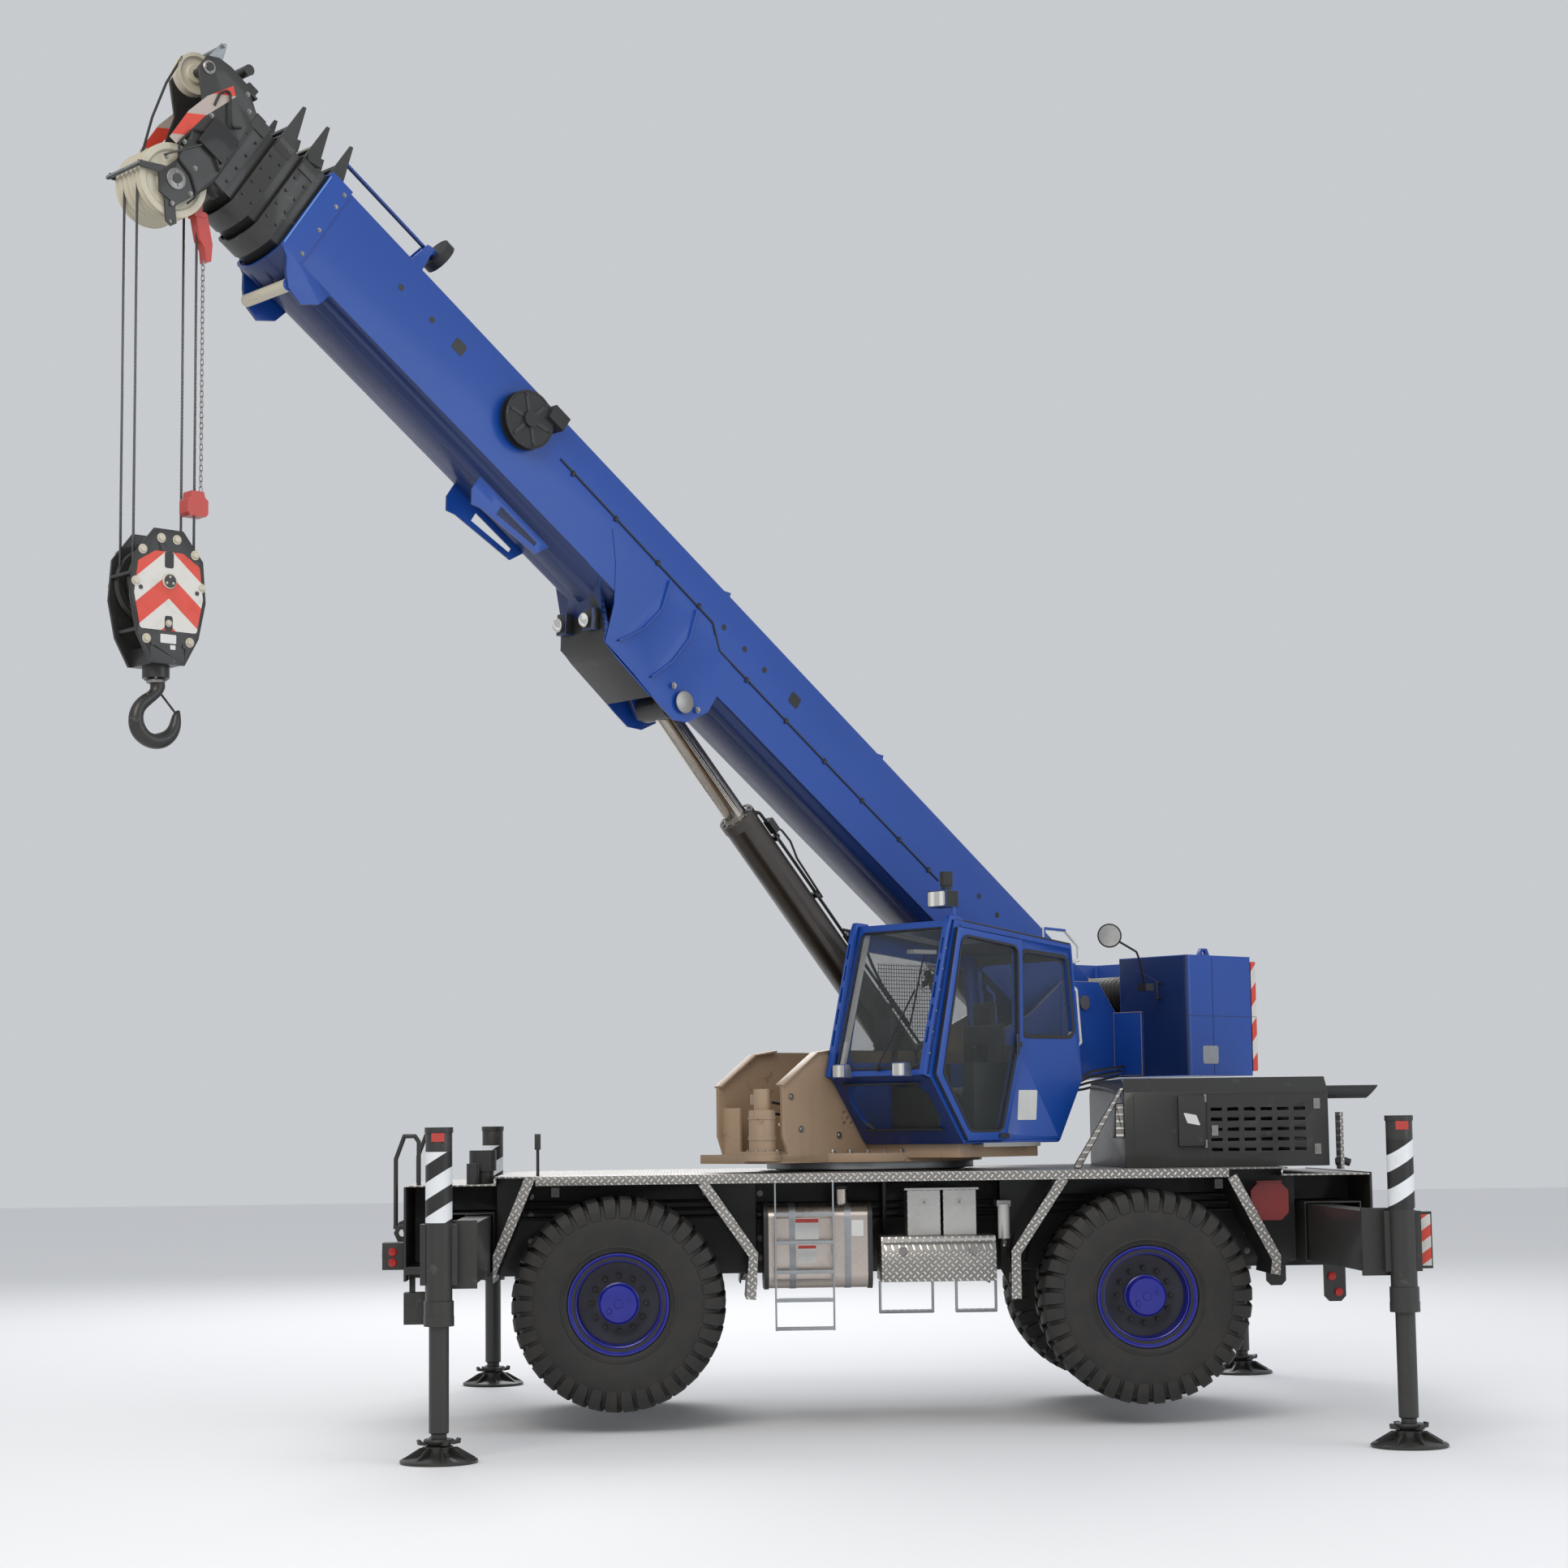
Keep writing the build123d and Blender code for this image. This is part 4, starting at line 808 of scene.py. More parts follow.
class CranePaint(bpy.types.PropertyGroup):
    """Colours of the machine's finishes."""

    blue: bpy.props.FloatVectorProperty(
        name="Machine blue", description="Boom, cab and counterweight", subtype="COLOR",
        default=(0.0025, 0.052, 0.3))
    rim_blue: bpy.props.FloatVectorProperty(
        name="Rim blue", description="Wheels", subtype="COLOR", default=(0.003, 0.006, 0.24))
    charcoal: bpy.props.FloatVectorProperty(
        name="Charcoal", description="Hood, frame and jacks", subtype="COLOR",
        default=(0.013, 0.0125, 0.0115))
    sand: bpy.props.FloatVectorProperty(
        name="Sand", description="Turntable and winches", subtype="COLOR",
        default=(0.34, 0.235, 0.15))
    red: bpy.props.FloatVectorProperty(
        name="Warning red", description="Warning stripes", subtype="COLOR",
        default=(0.62, 0.055, 0.03))
    white: bpy.props.FloatVectorProperty(
        name="Warning white", description="Warning stripes", subtype="COLOR",
        default=(0.62, 0.6, 0.56))


MADE = {}


def finish(name):
    """Makes each material once, when it is first asked for."""
    if name in MADE:
        return MADE[name]
    paint = bpy.context.scene.crane_paint
    sizes = bpy.context.scene.crane_sizes
    blue = tuple(paint.blue)
    dark = tuple(paint.charcoal)
    sand = tuple(paint.sand)
    red = tuple(paint.red)
    white = tuple(paint.white)
    # Near black: soot and black parts, and painted shade inside holes and notches
    soot = (0.008, 0.008, 0.0085)
    recipes = {
        "boom_blue": (painted, blue, 0.42, (0.06, 0.055, 0.06), 0.12, dict(high=9.0, coat=0.15)),
        # A lighter copy of the machine blue: a painted highlight on the collar's edge
        "light_blue": (
            painted, (0.12, 0.25, 0.55), 0.42, (0.06, 0.055, 0.06), 0.12, dict(high=9.0)),
        # A darker copy of the machine blue: painted shade on faces turned from the light, and the
        # colour of weld seams
        "navy": (
            painted, tuple(c * 0.3 for c in blue), 0.42, (0.05, 0.045, 0.05), 0.15, dict(high=9.0)),
        "rim_blue": (painted, tuple(paint.rim_blue), 0.36, (0.1, 0.08, 0.06), 0.35, dict(high=1.6)),
        "rim_dark": (painted, (0.004, 0.004, 0.02), 0.5, (0.05, 0.04, 0.035), 0.4, dict(high=1.6)),
        "charcoal": (
            painted, dark, 0.5, (0.09, 0.078, 0.065), 0.35,
            dict(high=2.6, wear=0.25, under=(0.1, 0.095, 0.09))),
        "frame_dark": (
            painted, (0.008, 0.0078, 0.0075), 0.55, (0.07, 0.06, 0.05), 0.45,
            dict(high=2.2, wear=0.2, under=(0.07, 0.065, 0.06))),
        "jack_grey": (
            painted, (0.017, 0.0165, 0.0145), 0.5, (0.08, 0.07, 0.06), 0.35,
            dict(high=2.4, wear=0.3, under=(0.12, 0.11, 0.1))),
        "barrel_dark": (
            painted, (0.03, 0.024, 0.019), 0.4, (0.1, 0.07, 0.05), 0.3,
            dict(high=7.0, wear=0.2, under=(0.09, 0.07, 0.05))),
        "section_grey": (
            painted, (0.021, 0.0205, 0.019), 0.45, (0.12, 0.1, 0.08), 0.2,
            dict(high=12.0, wear=0.3, under=(0.3, 0.28, 0.25))),
        "sand": (
            painted, sand, 0.5, (0.08, 0.055, 0.035), 0.5,
            dict(high=4.0, wear=0.5, under=(0.12, 0.08, 0.05))),
        "sheave": (
            painted, (0.5, 0.46, 0.36), 0.5, (0.12, 0.1, 0.075), 0.4,
            dict(high=12.0, wear=0.35, under=(0.2, 0.18, 0.15))),
        "soot": (painted, soot, 0.6, (0.05, 0.045, 0.04), 0.3, dict(high=6.0)),
        "hook": (
            painted, (0.012, 0.0115, 0.011), 0.48, (0.06, 0.05, 0.04), 0.3,
            dict(high=9.0, wear=0.5, under=(0.14, 0.12, 0.1))),
        "white": (painted, (0.6, 0.6, 0.58), 0.45, (0.2, 0.18, 0.15), 0.3, dict(high=9.0)),
        "red": (painted, (0.42, 0.035, 0.025), 0.45, (0.1, 0.05, 0.04), 0.3, dict(high=9.0)),
        "dull_red": (painted, (0.2, 0.018, 0.018), 0.5, (0.1, 0.06, 0.05), 0.3, dict(high=9.0)),
        "galvanised": (metal, (0.36, 0.38, 0.4), 0.45, (4, 4, 4), 0.3, (0.16, 0.14, 0.12)),
        "tank": (metal, (0.58, 0.51, 0.46), 0.24, (1, 1, 9), 0.15, (0.2, 0.14, 0.1), 0.06),
        "aluminium": (metal, (0.55, 0.54, 0.52), 0.36, (10, 1, 1), 0.25, (0.2, 0.18, 0.15)),
        "chrome": (metal, (0.7, 0.66, 0.6), 0.16, (1, 1, 3), 0.1, (0.2, 0.16, 0.12), 0.01),
        "bolt": (metal, (0.32, 0.31, 0.3), 0.4, (3, 3, 3), 0.4, (0.12, 0.07, 0.04)),
        "mirror": (metal, (0.45, 0.45, 0.43), 0.2, (1, 1, 1), 0.03, (0.3, 0.3, 0.3), 0.02),
        "tread_deck": (tread_plate, CARRIER, "xy"),
        "tread_side": (tread_plate, CARRIER, "xz"),
        "tread_end": (tread_plate, CARRIER, "yz"),
        "jack_stripes": (
            striped, CARRIER, "xz", (0.013, 0.013, 0.012), (0.72, 0.74, 0.76), sizes.stripe, 0.62),
        "end_stripes": (striped, CARRIER, "xz", red, white, 0.16, 0.7),
        "rear_stripes": (striped, TURNED, "yz", red, white, 0.3, 1.0),
        "side_stripes": (striped, TURNED, "xz", red, white, 0.3, 1.0),
        "head_stripes": (striped, BOOM, "xz", red, (0.42, 0.36, 0.32), 0.42, 0.9),
        "block_stripes": (striped, PLUMB, "xz", red, white, 0.34, 0.85, dict(chevron=0.0)),
        "rubber": (rubber,),
        "hose": (plastic, (0.011, 0.011, 0.011), 0.5, 60.0),
        "rope": (rope_steel,),
        "glass": (clear_glass,),
        "trim": (plastic, (0.014, 0.014, 0.015)),
        "grey_trim": (plastic, (0.09, 0.09, 0.095)),
        "seat": (fabric, (0.03, 0.03, 0.034)),
        "lens": (lamp_glass, (0.75, 0.75, 0.72)),
        "amber": (lamp_glass, (0.75, 0.24, 0.02)),
        "red_lens": (lamp_glass, (0.5, 0.02, 0.015)),
        "engine": (plastic, (0.05, 0.05, 0.05), 0.6, 20.0),
    }
    maker, *values = recipes[name]
    named = values.pop() if values and isinstance(values[-1], dict) else {}
    MADE[name] = maker(name, *values, **named)
    return MADE[name]


def repaint(node, name):
    """Gives a CAD node a finish."""
    mesh = frame["nodes"][node].data
    mesh.materials.clear()
    mesh.materials.append(finish(name))


def dressed(node, name, paint, place=None, bevel=0.003, regions=(), smooth=32, shortest=0.03):
    """Stands for a CAD node: its merged copy with rounded edges, and a finish for each region.

    A region is (finish, test), and the test takes a face's middle and normal
    in the machine's frame."""
    source = frame["nodes"][node]
    place = place or CARRIER
    back = place.inverted()
    turn = back.to_3x3()
    bm = bmesh.new()
    bm.from_mesh(source.data)
    bmesh.ops.remove_doubles(bm, verts=bm.verts, dist=2e-5)
    bmesh.ops.dissolve_limit(bm, angle_limit=0.004, verts=bm.verts, edges=bm.edges)
    names = [paint] + [region for region, test in regions]
    for face in bm.faces:
        at = back @ face.calc_center_median()
        normal = turn @ face.normal
        face.material_index = 0
        for i, (region, test) in enumerate(regions):
            if test(at, normal):
                face.material_index = i + 1
                break
    if bevel:
        # Only edges whose two faces have room for the rounding
        sharp = []
        for edge in bm.edges:
            length = edge.calc_length()
            if len(edge.link_faces) != 2 or length < shortest or edge.calc_face_angle(0) < 0.9:
                continue
            if min(face.calc_area() for face in edge.link_faces) > 4 * bevel * length:
                sharp.append(edge)
        bmesh.ops.bevel(
            bm, geom=sharp, offset=bevel, segments=2, profile=0.6, affect="EDGES",
            clamp_overlap=False)
    mesh = bpy.data.meshes.new(name)
    bm.to_mesh(mesh)
    bm.free()
    mesh.shade_smooth()
    mesh.set_sharp_from_angle(angle=math.radians(smooth))
    for item in names:
        mesh.materials.append(finish(item))
    return owned(in_scene(name, mesh), source["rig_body"], (node,))


# Stage

class CRANE_OT_stage(bpy.types.Operator):
    """Floor, light and the camera at the photograph's angle"""

    bl_idname = "crane.stage"
    bl_label = "Stage"

    def execute(self, context):
        scene = context.scene
        scene.view_settings.view_transform = "Standard"
        mesh = bpy.data.meshes.new("floor")
        bm = bmesh.new()
        bmesh.ops.create_grid(bm, x_segments=1, y_segments=1, size=70)
        bm.to_mesh(mesh)
        bm.free()
        floor = bpy.data.objects.new("floor", mesh)
        scene.collection.objects.link(floor)
        floor.location.z = -0.001
        f = Finish("floor", (0.86, 0.86, 0.87), 0.7)
        f.set(
            "Base Color", f.mix(f.noise(0.6, 3, 0.5) * 0.15, (0.86, 0.86, 0.87), (0.82, 0.82, 0.83))
        )
        mesh.materials.append(f.material)
        world = bpy.data.worlds.new("sky")
        scene.world = world
        world.use_nodes = True
        world.node_tree.nodes["Background"].inputs[0].default_value = (0.93, 0.96, 1.0, 1)
        world.node_tree.nodes["Background"].inputs[1].default_value = 0.62
        lamps = [
            ("key", (8, 22, 19), 15.0, 2900, (1.0, 0.96, 0.9)),
            ("fill", (-16, 12, 9), 14.0, 900, (0.9, 0.95, 1.0)),
            ("back", (2, -16, 14), 12.0, 1500, (1.0, 1.0, 1.0)),
        ]
        for name, at, size, power, color in lamps:
            data = bpy.data.lights.new(name, "AREA")
            data.shape = "DISK"
            data.size = size
            data.energy = power
            data.color = color
            lamp = bpy.data.objects.new(name, data)
            lamp.location = CARRIER @ Vector(at)
            aim = (CARRIER @ Vector((0.5, 0, 3.0))) - lamp.location
            lamp.rotation_euler = aim.to_track_quat("-Z", "Y").to_euler()
            scene.collection.objects.link(lamp)
        # Camera fitted to the wheels, floats and deck edge in the photograph
        yaw, pitch, roll = (math.radians(turn) for turn in CAMERA_TURNS)
        look = Vector(
            (math.sin(yaw) * math.cos(pitch), -math.cos(yaw) * math.cos(pitch), math.sin(pitch)))
        right = look.cross(Vector(Z)).normalized()
        up = right.cross(look)
        r = right * math.cos(roll) + up * math.sin(roll)
        u = up * math.cos(roll) - right * math.sin(roll)
        data = bpy.data.cameras.new("camera")
        data.lens = scene.crane_sizes.camera_lens
        data.sensor_width = 36
        data.clip_end = 300
        camera = bpy.data.objects.new("camera", data)
        camera.matrix_world = Matrix((
            (r.x, u.x, -look.x, 0), (r.y, u.y, -look.y, 0), (r.z, u.z, -look.z, 0), (0, 0, 0, 1)))
        camera.location = CARRIER @ Vector(CAMERA_AT)
        scene.collection.objects.link(camera)
        scene.camera = camera
        return {"FINISHED"}


# Wheels

class CRANE_OT_wheels(bpy.types.Operator):
    """Tyres with their lugs, rims, hubs and bolts"""

    bl_idname = "crane.wheels"
    bl_label = "Wheels"

    def execute(self, context):
        sizes = context.scene.crane_sizes
        radius = (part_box("tyre_fl")[1].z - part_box("tyre_fl")[0].z) / 2
        base = radius - sizes.lug_height
        for tag, (x, side) in WHEELS.items():
            middle = CARRIER @ Matrix.Translation((x, side * HALF_TRACK, WHEEL_Z))
            # Local Z runs out of the machine
            place = middle @ Matrix.Rotation(-side * math.pi / 2, 4, "X")
            body = "wheel_" + tag
            half = [
                (
                    0.382, 0.234
                ), (0.392, 0.262), (0.415, 0.272), (0.426, 0.283), (0.436, 0.283), (0.442, 0.279),
                (0.50, 0.291), (0.56, 0.296), (0.64, 0.292), (0.70, 0.276), (0.742, 0.25), (0.762,
                0.21), (
                    base - 0.003, 0.14), (base, 0.0),
            ]
            profile = half + [(r, -h) for r, h in half[-2::-1]] + [
                (0.331, -0.2325), (0.331, 0.2325)]
            carcass = Form(place).lathe(profile, ORIGIN, Z, 120)
            tyre = carcass.piece("tyre_carcass_" + tag, None, "rubber", "tyre", 30)
            parts = [tyre]
            stations = [
                (0.004, 0.0, -0.045, 0.062, 0.022), (0.07, 0.0, -0.045, 0.045, 0.034), (
                    0.15, -0.001, -0.048, 0.024, 0.043),
                (
                    0.215, -0.007, -0.055, 0.010, 0.048
                ), (0.262, -0.026, -0.075, 0.003, 0.050), (0.288, -0.062, -0.105, 0.0, 0.050),
                (0.2985, -0.115, -0.135, 0.0, 0.047), (0.2975, -0.165, -0.19, 0.0, 0.042),
            ]
            for k, flip in enumerate((1, -1)):
                lug = Form(Matrix.Identity(4))
                rings = []
                for z, top, low, shift, wide in stations:
                    inner = z - 0.03 if z > 0.28 else z
                    rings.append(
                        [
                            (top, shift - wide * 0.86, z), (top, shift + wide * 0.86, z),
                            (low, shift + wide, inner), (low, shift - wide, inner)]
                    )
                lug.loft([[(p[0], p[1] * side, p[2] * flip) for p in ring] for ring in rings])
                turn = Matrix.Rotation(k * math.pi / sizes.lugs, 4, "Z")
                parts.append(
                    repeated(
                        lug, "lugs", None, "rubber", "tyre", place @ turn, 30, Count=sizes.lugs,
                        Radius=radius)
                )
            joined("tyre_tread_" + tag, body, parts, replaces=("tyre_" + tag,))
            rim = Form(place)
            ring = [
                (
                    0.381, 0.2325
                ), (0.381, 0.2475), (0.368, 0.2475), (0.357, 0.235), (0.34, 0.224), (0.333, 0.212),
                (0.326, 0.19), (0.318, 0.186),
                (0.312, 0.1), (0.305, 0.04), (0.305, -0.2475), (0.381, -0.2475), (0.381, -0.2325), (
                    0.3302, -0.2325), (0.3302, 0.2325),
            ]
            rim.lathe(ring, ORIGIN, Z, 96)
            dish = Form(place)
            dish.lathe(
                [
                    (0, 0.044), (0.1, 0.044), (0.13, 0.038), (0.235, 0.03), (0.27, 0.042),
                    (0.306, 0.044), (0.306, 0.02), (0, 0.02)],
                ORIGIN, Z, 96)
            dish.piece("rim_dish_" + tag, body, "rim_dark", "rim_blue", 30)
            rim.piece("rim_ring_" + tag, body, "rim_blue", "rim_blue", 30, replaces=("rim_" + tag,))
            hub = Form(place)
            hub.lathe(
                [
                    (0, 0.235), (0.03, 0.235), (0.034, 0.229), (0.09, 0.229), (0.136, 0.222),
                    (0.147, 0.208), (0.149, 0.12), (0.158, 0.116), (0.158, 0.09), (0.15, 0.085),
                    (0.15, 0.045), (0, 0.045)],
                ORIGIN, Z, 64)
            hub.lathe(
                [(0, 0.236), (0.022, 0.236), (0.018, 0.244), (0, 0.244)], (0.07, 0.05, 0), Z, 6)
            hub.lathe(
                [(0, 0.228), (0.016, 0.228), (0.014, 0.24), (0, 0.24)], (-0.08, -0.03, 0), Z, 6)
            hub.piece("hub_" + tag, body, "rim_blue", "rim_blue", 30)
            nut = Form(Matrix.Identity(4)).bolt(ORIGIN, Z, 0.017, 0.024)
            repeated(
                nut, "wheel_nuts_" + tag, body, "soot", "rim_blue",
                place @ Matrix.Translation((0, 0, 0.036)), Count=12, Radius=0.205)
        for tag in WHEELS:
            repaint("knuckle_" + tag, "frame_dark")
        return {"FINISHED"}


# Outriggers

class CRANE_OT_outriggers(bpy.types.Operator):
    """Beams, jack housings, legs and floats"""

    bl_idname = "crane.outriggers"
    bl_label = "Outriggers"

    def execute(self, context):
        for tag, (x, y, side) in JACKS.items():
            body = "outrigger_" + tag
            leg_body = "jack_" + tag
            repaint("outrigger_beam_" + tag, "jack_grey")
            at = CARRIER @ Matrix.Translation((x, y, 0))
            tube = Form(at)
            # The housing wears its stripes between two plain lengths
            tube.lathe(
                [
                    (0.0698, 0.93), (0.1, 0.93), (0.1035, 0.934), (0.1035, 1.1), (0.1, 1.104),
                    (0.0935, 1.106), (0.0935, 1.64), (0.076, 1.64), (0.076, 0.99), (0.0698, 0.99)],
                ORIGIN, Z, 56)
            tube.lathe(
                [
                    (0.0935, 2.13), (0.0935, 2.288), (0.088, 2.3), (0, 2.3), (0, 2.27),
                    (0.076, 2.27), (0.076, 2.13)],
                ORIGIN, Z, 56)
            tube.box(-0.13, 0.13, *sorted((-0.13 * side, 0.02 * side)), 1.21, 1.63, 0.006)
            tube.box(-0.035, 0.035, *sorted((-0.12 * side, -0.09 * side)), 1.63, 1.78, 0.004)
            tube.piece("jack_housing_" + tag, body, "jack_grey", "jack_grey", 32)
            band = Form(at)
            band.lathe(
                [(0.076, 1.64), (0.0936, 1.64), (0.0936, 2.13), (0.076, 2.13)], ORIGIN, Z, 56)
            band.piece("jack_stripes_" + tag, body, "jack_stripes", "jack_grey", 32)
            label = Form(at)
            label.prism(
                [(-0.045, 2.2), (0.045, 2.2), (0.045, 2.26), (-0.045, 2.26)], side * 0.083,
                side * 0.0955, "y", 0.001)
            label.piece("jack_label_" + tag, body, "red", "jack_grey", 32)
            leg = Form(at)
            leg.rod((0, 0, 0.2), (0, 0, 1.56), 0.0695, 48, 0.004)
            leg.rod((0, 0, 0.16), (0, 0, 0.2), 0.055, 32, 0.004)
            leg.piece("jack_rod_" + tag, leg_body, "jack_grey", "jack_grey", 32)
            pad = Form(at)
            pad.lathe(
                [
                    (0, 0), (0.262, 0), (0.27, 0.006), (0.27, 0.02), (0.255, 0.03), (0.13, 0.05),
                    (0.1, 0.075), (0.1, 0.11), (0.085, 0.118), (0, 0.118)],
                ORIGIN, Z, 56)
            pad.lathe(
                [
                    (0, 0.118), (0.075, 0.118), (0.102, 0.135), (0.108, 0.15), (0.1, 0.162),
                    (0, 0.165)],
                ORIGIN, Z, 40)
            for i in range(8):
                turn = Matrix.Rotation(i * math.pi / 4 + 0.2, 4, "Z")
                pad.prism(
                    [(0.08, 0.02), (0.25, 0.02), (0.25, 0.034), (0.13, 0.105), (0.08, 0.105)],
                    -0.008, 0.008, "y", 0.002, turn)
            for i in range(4):
                turn = Matrix.Rotation(i * math.pi / 2 + 0.4, 4, "Z")
                pad.prism(
                    [
                        (0.095, 0.12), (0.15, 0.128), (0.155, 0.16), (0.14, 0.165), (0.12, 0.145),
                        (0.095, 0.145)],
                    -0.02, 0.02, "y", 0.002, turn)
            pad.piece(
                "float_" + tag, leg_body, "jack_grey", "jack_grey", 32,
                replaces=("jack_leg_" + tag,))
            # Guard plate at the beam's end and its stripes, without the recessed lamp
            plate = Form(at)
            plate.box(-0.25, 0.12, -side * 0.175, -side * 0.163, 1.22, 1.62, 0.003)
            plate.piece("beam_plate_" + tag, body, "jack_grey", "jack_grey", 32)
            flag = Form(at)
            y0, y1 = sorted((-side * 0.163, -side * 0.159))
            x0, x1 = (0.0, 0.11) if x > 0 else (-0.24, -0.13)
            flag.box(x0, x1, y0, y1, 1.24, 1.6, 0.001)
            flag.piece("beam_stripes_" + tag, body, "end_stripes", "jack_grey", 32)
        return {"FINISHED"}


# Boom

class CRANE_OT_boom(bpy.types.Operator):
    """Boom sections with their collars, fittings and the head"""

    bl_idname = "crane.boom"
    bl_label = "Boom"

    def execute(self, context):
        self.base()
        self.sections()
        self.head()
        return {"FINISHED"}

    def base(self):
        regions = (
            (
                "sheave",
                lambda p, n: abs(p.x - 9.215) < 0.05 and abs(p.z + 0.612) < 0.05 and abs(p.y) < 0.25
            ),
            ("trim", lambda p, n: 8.28 < p.x < 8.375 and p.z > 0.53),
            ("charcoal", lambda p, n: 5.0 < p.x < 5.98 and p.z < -0.56 and abs(p.y) < 0.259),
            ("section_grey", lambda p, n: p.x > 9.3 and p.z > 0.33),
            # Faces that look downwards are painted navy as painted shade
            ("navy", lambda p, n: n.z < -0.3),
        )
        dressed("boom_base", "boom_base_section", "boom_blue", BOOM, 0.004, regions)
        side = Form(BOOM)
        # Cable that runs down the side, held by clips
        line = [
            (6.75, CABLE_Y, 0.035), (6.2, CABLE_Y, 0.028), (4.92, CABLE_Y, 0.012),
            (4.74, CABLE_Y, -0.125), (3.2, CABLE_Y, -0.13), (1.86, CABLE_Y, -0.13)]
        side.tube(line, 0.0075, 8, 0.05)
        for s in (6.6, 6.1, 5.6, 5.1):
            side.box(s - 0.012, s + 0.012, 0.2705, 0.2845, 0.005, 0.045, 0.002)
        for s in (4.4, 3.9, 3.4, 2.9, 2.4, 2.0):
            side.box(s - 0.012, s + 0.012, 0.2705, 0.2845, -0.15, -0.11, 0.002)
        side.piece("boom_cable", "boom_base", "trim", "charcoal")
        # Near-black discs and slots on the boom's sides: painted shade in its holes
        hole_shade = Form(BOOM)
        for s in (8.53, 8.2, 4.81, 4.55, 4.3, 1.41, 1.15):
            hole_shade.lathe(
                [(0, 0), (0.024, 0), (0.024, 0.0015), (0, 0.0015)], (s, 0.2702, 0.06), Y, 20)
        for s in (7.91, 3.92):
            hole_shade.label(s - 0.055, s + 0.055, 0.02, 0.12, 0.2702, 0.2717, 0.018)
        hole_shade.mirror()
        hole_shade.piece("boom_side_hole_shade", "boom_base", "soot", "charcoal")
        # Weld seams between the two shells of the section
        seam = Form(BOOM)
        seam.tube([(0.9, 0.2705, -0.43), (4.45, 0.2705, -0.43)], 0.004, 6)
        seam.tube([(6.1, 0.2705, -0.43), (9.2, 0.2705, -0.43)], 0.004, 6)
        seam.mirror()
        seam.piece("boom_seams", "boom_base", "navy", "boom_blue")
        collar = Form(BOOM)
        for n in (-0.36, -0.12, 0.12, 0.24):
            collar.bolt((9.27, 0.2845, n), Y, 0.011, 0.008)
        for s in (4.66, 4.95):
            collar.bolt((s, 0.2985, -0.66), Y, 0.016, 0.01)
        collar.lathe(
            [(0, 0), (0.085, 0), (0.085, 0.008), (0.075, 0.012), (0, 0.012)], (4.8, 0.2985, -0.7),
            Y, 40)
        collar.mirror()
        collar.piece("boom_collar_bolts", "boom_base", "bolt", "boom_blue")
        # Strips of lighter blue at the collar's end: a painted highlight on its edge
        edge = Form(BOOM)
        for y0, y1 in ((0.2835, 0.2865), (-0.2865, -0.2835)):
            edge.box(9.419, 9.428, y0, y1, -0.40, 0.27, 0.001)
        edge.piece("collar_edge_highlight", "boom_base", "light_blue", "boom_blue")
        lamps = Form(BOOM)
        for y in (0.16, -0.16):
            lamps.lathe(
                [(0, 0.0), (0.05, 0.0), (0.054, 0.004), (0.048, 0.012), (0, 0.016)],
                (5.83, y, -0.74), (0.75, 0, -0.66), 24)
        lamps.piece("boom_lamps", "boom_base", "lens", "chrome_rod")
        roller = Form(BOOM)
        for y in (0.262, -0.262):
            roller.bolt((9.215, y, -0.612), (0, 1 if y > 0 else -1, 0), 0.02, 0.014)
        roller.piece("roller_bolts", "boom_base", "bolt", "boom_blue")
        # Reel of the length cable, with its drum, spokes and housing
        dressed("cable_reel", "cable_reel_body", "trim", BOOM, 0.003)
        reel = Form(BOOM)
        for k in range(6):
            a = math.radians(60 * k + 15)
            turn = Matrix.Translation((REEL_X, 0, REEL_Z)) @ Matrix.Rotation(a, 4, "Y")
            reel.box(0.05, 0.2, 0.3595, 0.366, -0.014, 0.014, 0.002, turn)
            reel.bolt(turn @ Vector((0.185, 0.3655, 0)), Y, 0.008, 0.006)
        reel.hoop((REEL_X, 0.3585, REEL_Z), Y, 0.207, 0.006, 18, 8)
        reel.piece("cable_reel_spokes", "boom_base", "soot", "hook_black")

    def sections(self):
        for k, front in ((2, 9.65), (3, 9.87), (4, 10.09)):
            node = "boom_section_%d" % k
            regions = [
                ("sheave", lambda p, n, f=front: p.z > 0.42 and p.x < 10.1 and abs(p.y) < 0.178)]
            if k == 4:
                regions = [
                    ("sheave", lambda p, n: p.z > 0.33 and p.x < 10.12 and abs(p.y) < 0.17),
                    (
                        "soot",
                        lambda p, n: abs(p.y) > 0.204 and 10.07 < p.x < 10.32 and -0.3 < p.z < -0.05
                    ),
                    ("galvanised", lambda p, n: p.x > 10.53 and (p.z > 0.38 or p.z < -0.71)),
                ]
            dressed(
                node, "boom_section_%d_dressed" % k, "section_grey", BOOM, 0.003,
                regions)
            half = 0.27 - 0.03 * (k - 1)
            trim = Form(BOOM)
            for s in (front - 0.12, front - 0.03):
                for j in range(4):
                    trim.bolt((s, half + 0.0125, -0.33 + 0.13 * j), Y, 0.010, 0.009)
            for j in range(3):
                trim.bolt(
                    (front - 0.075, half - 0.05 - 0.06 * j, 0.3125 - 0.03 * (k - 1)), Z, 0.010,
                    0.008)
            trim.mirror()
            trim.piece("collar_bolts_%d" % k, node, "hook", "section_grey")
            tabs = Form(BOOM)
            tabs.box(front - 0.1, front - 0.02, half + 0.011, half + 0.02, 0.14, 0.225, 0.002)
            tabs.mirror()
            tabs.piece("collar_tabs_%d" % k, node, "aluminium", "galvanised")

